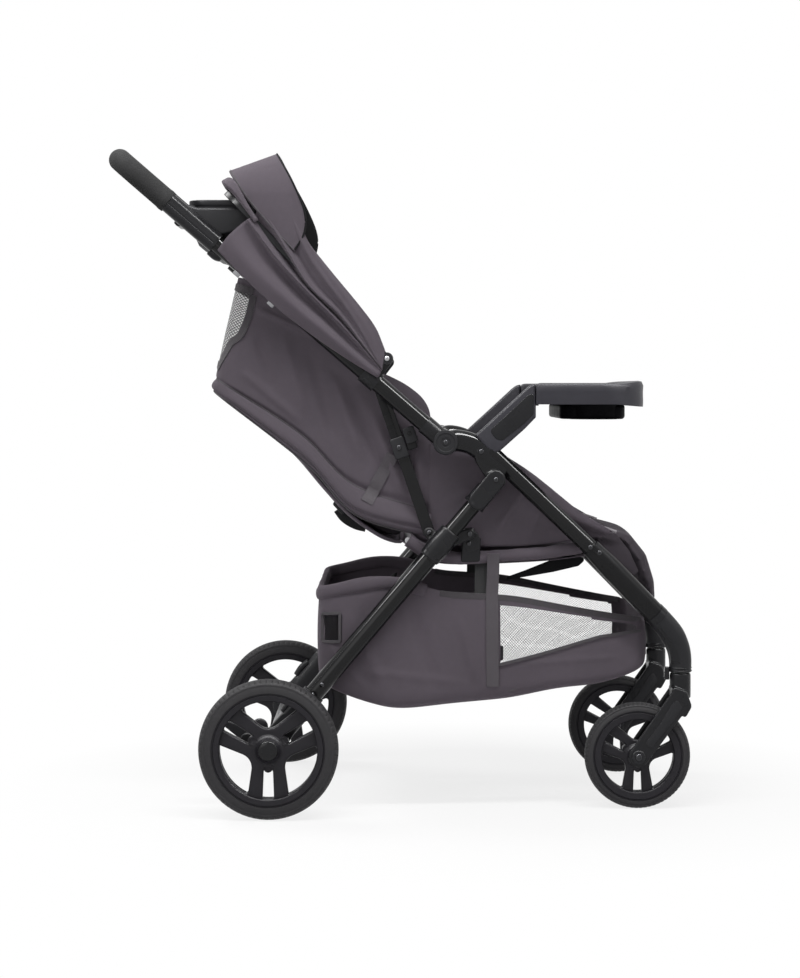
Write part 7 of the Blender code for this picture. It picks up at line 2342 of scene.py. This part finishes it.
    def hangers(self):
        """Black straps from the bag up to the seat rails, and the flap under the seat."""
        flap = rounded([(0.1576, 0.3677), (0.2000, 0.3830), (0.2400, 0.3990), (0.2760, 0.4080),
                        (0.3016, 0.4031), (0.2870, 0.3902), (0.2461, 0.3806), (0.1900, 0.3710)], 0.006)
        shells = []
        for side in SIDES:
            path = curve([(0.1300, side * 0.2120, 0.4060), (0.1295, side * 0.2135, 0.3800),
                          (0.1290, side * 0.2160, 0.3480)], 20)
            shells.append(tape(path, 0.0200, 0.0016))
            shells.append(side_plate([flap], side, 0.1880, 0.1904, 0.0008, finish=1))
        return piece("basket_hangers", shells, ["black_webbing", "lining"], "front_frame")


# ---------------------------------------------------------------------------
# Stage
# ---------------------------------------------------------------------------


class StrollerStage(bpy.types.Operator):
    """Pale floor, soft light and a camera at the right side"""

    bl_idname = "stroller.stage"
    bl_label = "Stage"

    def execute(self, context):
        scene = context.scene
        scene.view_settings.view_transform = "Standard"
        side = np.linspace(-6.0, 6.0, 3)
        points = np.stack(np.meshgrid(side, side, [0.0], indexing="ij"), axis=-1)[:, :, 0, :]
        mesh = mesh_from("floor", [grid(points)], closed=False)
        floor = placed("floor", mesh)
        mesh.materials.append(self.floor_material(tuple(scene.stroller_colour.floor)))
        world = bpy.data.worlds.new("studio")
        scene.world = world
        world.use_nodes = True
        n = Nodes(world.node_tree)
        back = world.node_tree.nodes["Background"]
        back.inputs["Color"].default_value = (1.0, 1.0, 1.0, 1.0)
        n.join(n.map_range(self.seen_rays(n), 0.0, 1.0, 0.27, 1.0), back.inputs["Strength"])
        self.lamp("overhead", (0.0, -1.3, 2.6), (0.0, -0.1, 0.6), (3.2, 0.16), 56.0)
        self.lamp("softbox", (0.0, -1.15, 2.6), (0.0, 0.0, 0.5), (6.4, 0.50), 340.0, gloss_only=True)
        self.lamp("near_fill", (-1.6, -3.2, 1.5), (0.0, 0.0, 0.5), (2.0, 2.0), 18.0)
        self.lamp("top_rear", (-1.5, 0.9, 2.4), (-0.1, 0.0, 0.6), (1.2, 1.2), 26.0)
        self.lamp("front_fill", (2.6, -1.4, 1.4), (0.1, 0.0, 0.5), (1.4, 1.4), 10.0)
        lens = bpy.data.cameras.new("camera")
        lens.sensor_width = 36.0
        lens.lens = 86.39
        lens.shift_y = -0.1022
        camera = placed("camera", lens)
        camera.location = (0.0, -3.965, 0.6749)
        camera.rotation_euler = (math.radians(90.0), 0.0, 0.0)
        scene.camera = camera
        return {"FINISHED"}

    def seen_rays(self, n):
        """1 for camera, glossy and transmission rays, and 0 for the others."""
        rays = n.add("ShaderNodeLightPath")
        seen = n.math("MAXIMUM", rays.outputs["Is Camera Ray"], rays.outputs["Is Glossy Ray"])
        return n.math("MAXIMUM", seen, rays.outputs["Is Transmission Ray"])

    def lamp(self, name, place, aim, size, power, gloss_only=False):
        """A rectangular area lamp that looks at a point; gloss_only keeps it off matt surfaces."""
        data = bpy.data.lights.new(name, "AREA")
        data.shape = "RECTANGLE"
        data.size, data.size_y = size
        data.energy = power
        made = placed(name, data)
        made.visible_diffuse = not gloss_only
        made.location = place
        made.rotation_euler = (Vector(aim) - Vector(place)).to_track_quat("-Z", "Y").to_euler()

    def floor_material(self, colour):
        """Pale floor: for camera, glossy and transmission rays it turns to white away from the object."""
        made = bpy.data.materials.new("studio_floor")
        made.use_nodes = True
        n = Nodes(made.node_tree)
        shader = made.node_tree.nodes["Principled BSDF"]
        shader.inputs["Roughness"].default_value = 0.9
        shader.inputs["Specular IOR Level"].default_value = 0.0
        mottle = placed_group(n, "mottle", {"Color": (*colour, 1.0), "Scale": 1.5, "Amount": 0.004,
                                            "Vector": n.add("ShaderNodeTexCoord").outputs["Object"]})
        n.join(mottle.outputs["Color"], shader.inputs["Base Color"])
        shine = n.add("ShaderNodeEmission")
        shine.inputs["Color"].default_value = (1.0, 1.0, 1.0, 1.0)
        mix = n.add("ShaderNodeMixShader")
        spot = n.add("ShaderNodeTexCoord").outputs["Object"]
        middle = n.add("ShaderNodeVectorMath", operation="SUBTRACT")
        n.join(spot, middle.inputs[0])
        middle.inputs[1].default_value = (0.08, 0.0, 0.0)
        length = n.add("ShaderNodeVectorMath", operation="LENGTH")
        n.join(middle.outputs[0], length.inputs[0])
        far = n.map_range(length.outputs["Value"], 0.42, 0.80, 0.80, 1.0)
        n.join(n.math("MULTIPLY", self.seen_rays(n), far), mix.inputs[0])
        n.join(shader.outputs[0], mix.inputs[1])
        n.join(shine.outputs[0], mix.inputs[2])
        n.join(mix.outputs[0], made.node_tree.nodes["Material Output"].inputs["Surface"])
        return made


# ---------------------------------------------------------------------------
# Panel and registration
# ---------------------------------------------------------------------------

OPERATORS = (
    StrollerFinishes, StrollerHandle, StrollerConsole, StrollerFrontFrame,
    StrollerWheels, StrollerRearFrame, StrollerTray, StrollerSeat,
    StrollerSurround, StrollerCanopy, StrollerBasket, StrollerStage,
)


class StrollerPanel(bpy.types.Panel):
    """Sizes, colours and build steps of the stroller"""

    bl_idname = "VIEW3D_PT_stroller"
    bl_label = "Stroller"
    bl_space_type = "VIEW_3D"
    bl_region_type = "UI"
    bl_category = "Stroller"

    def draw(self, context):
        layout = self.layout
        for settings in ("stroller_frame", "stroller_cloth", "stroller_colour"):
            group = getattr(context.scene, settings)
            box = layout.box()
            for name in group.bl_rna.properties.keys():
                if name not in {"rna_type", "name"}:
                    box.prop(group, name)
        for made in OPERATORS:
            layout.operator(made.bl_idname)


SETTINGS = (StrollerFrameSettings, StrollerClothSettings, StrollerColourSettings)


def register():
    for made in (*SETTINGS, *OPERATORS, StrollerPanel):
        bpy.utils.register_class(made)
    bpy.types.Scene.stroller_frame = PointerProperty(type=StrollerFrameSettings)
    bpy.types.Scene.stroller_cloth = PointerProperty(type=StrollerClothSettings)
    bpy.types.Scene.stroller_colour = PointerProperty(type=StrollerColourSettings)


def unregister():
    for name in ("stroller_frame", "stroller_cloth", "stroller_colour"):
        delattr(bpy.types.Scene, name)
    for made in reversed((*SETTINGS, *OPERATORS, StrollerPanel)):
        bpy.utils.unregister_class(made)


def main():
    """Build every piece in order."""
    register()
    bpy.ops.stroller.finishes()
    bpy.ops.stroller.handle()
    bpy.ops.stroller.console()
    bpy.ops.stroller.front_frame()
    bpy.ops.stroller.wheels()
    bpy.ops.stroller.rear_frame()
    bpy.ops.stroller.tray()
    bpy.ops.stroller.seat()
    bpy.ops.stroller.surround()
    bpy.ops.stroller.canopy()
    bpy.ops.stroller.basket()
    bpy.ops.stroller.stage()


if __name__ == "__main__":
    main()
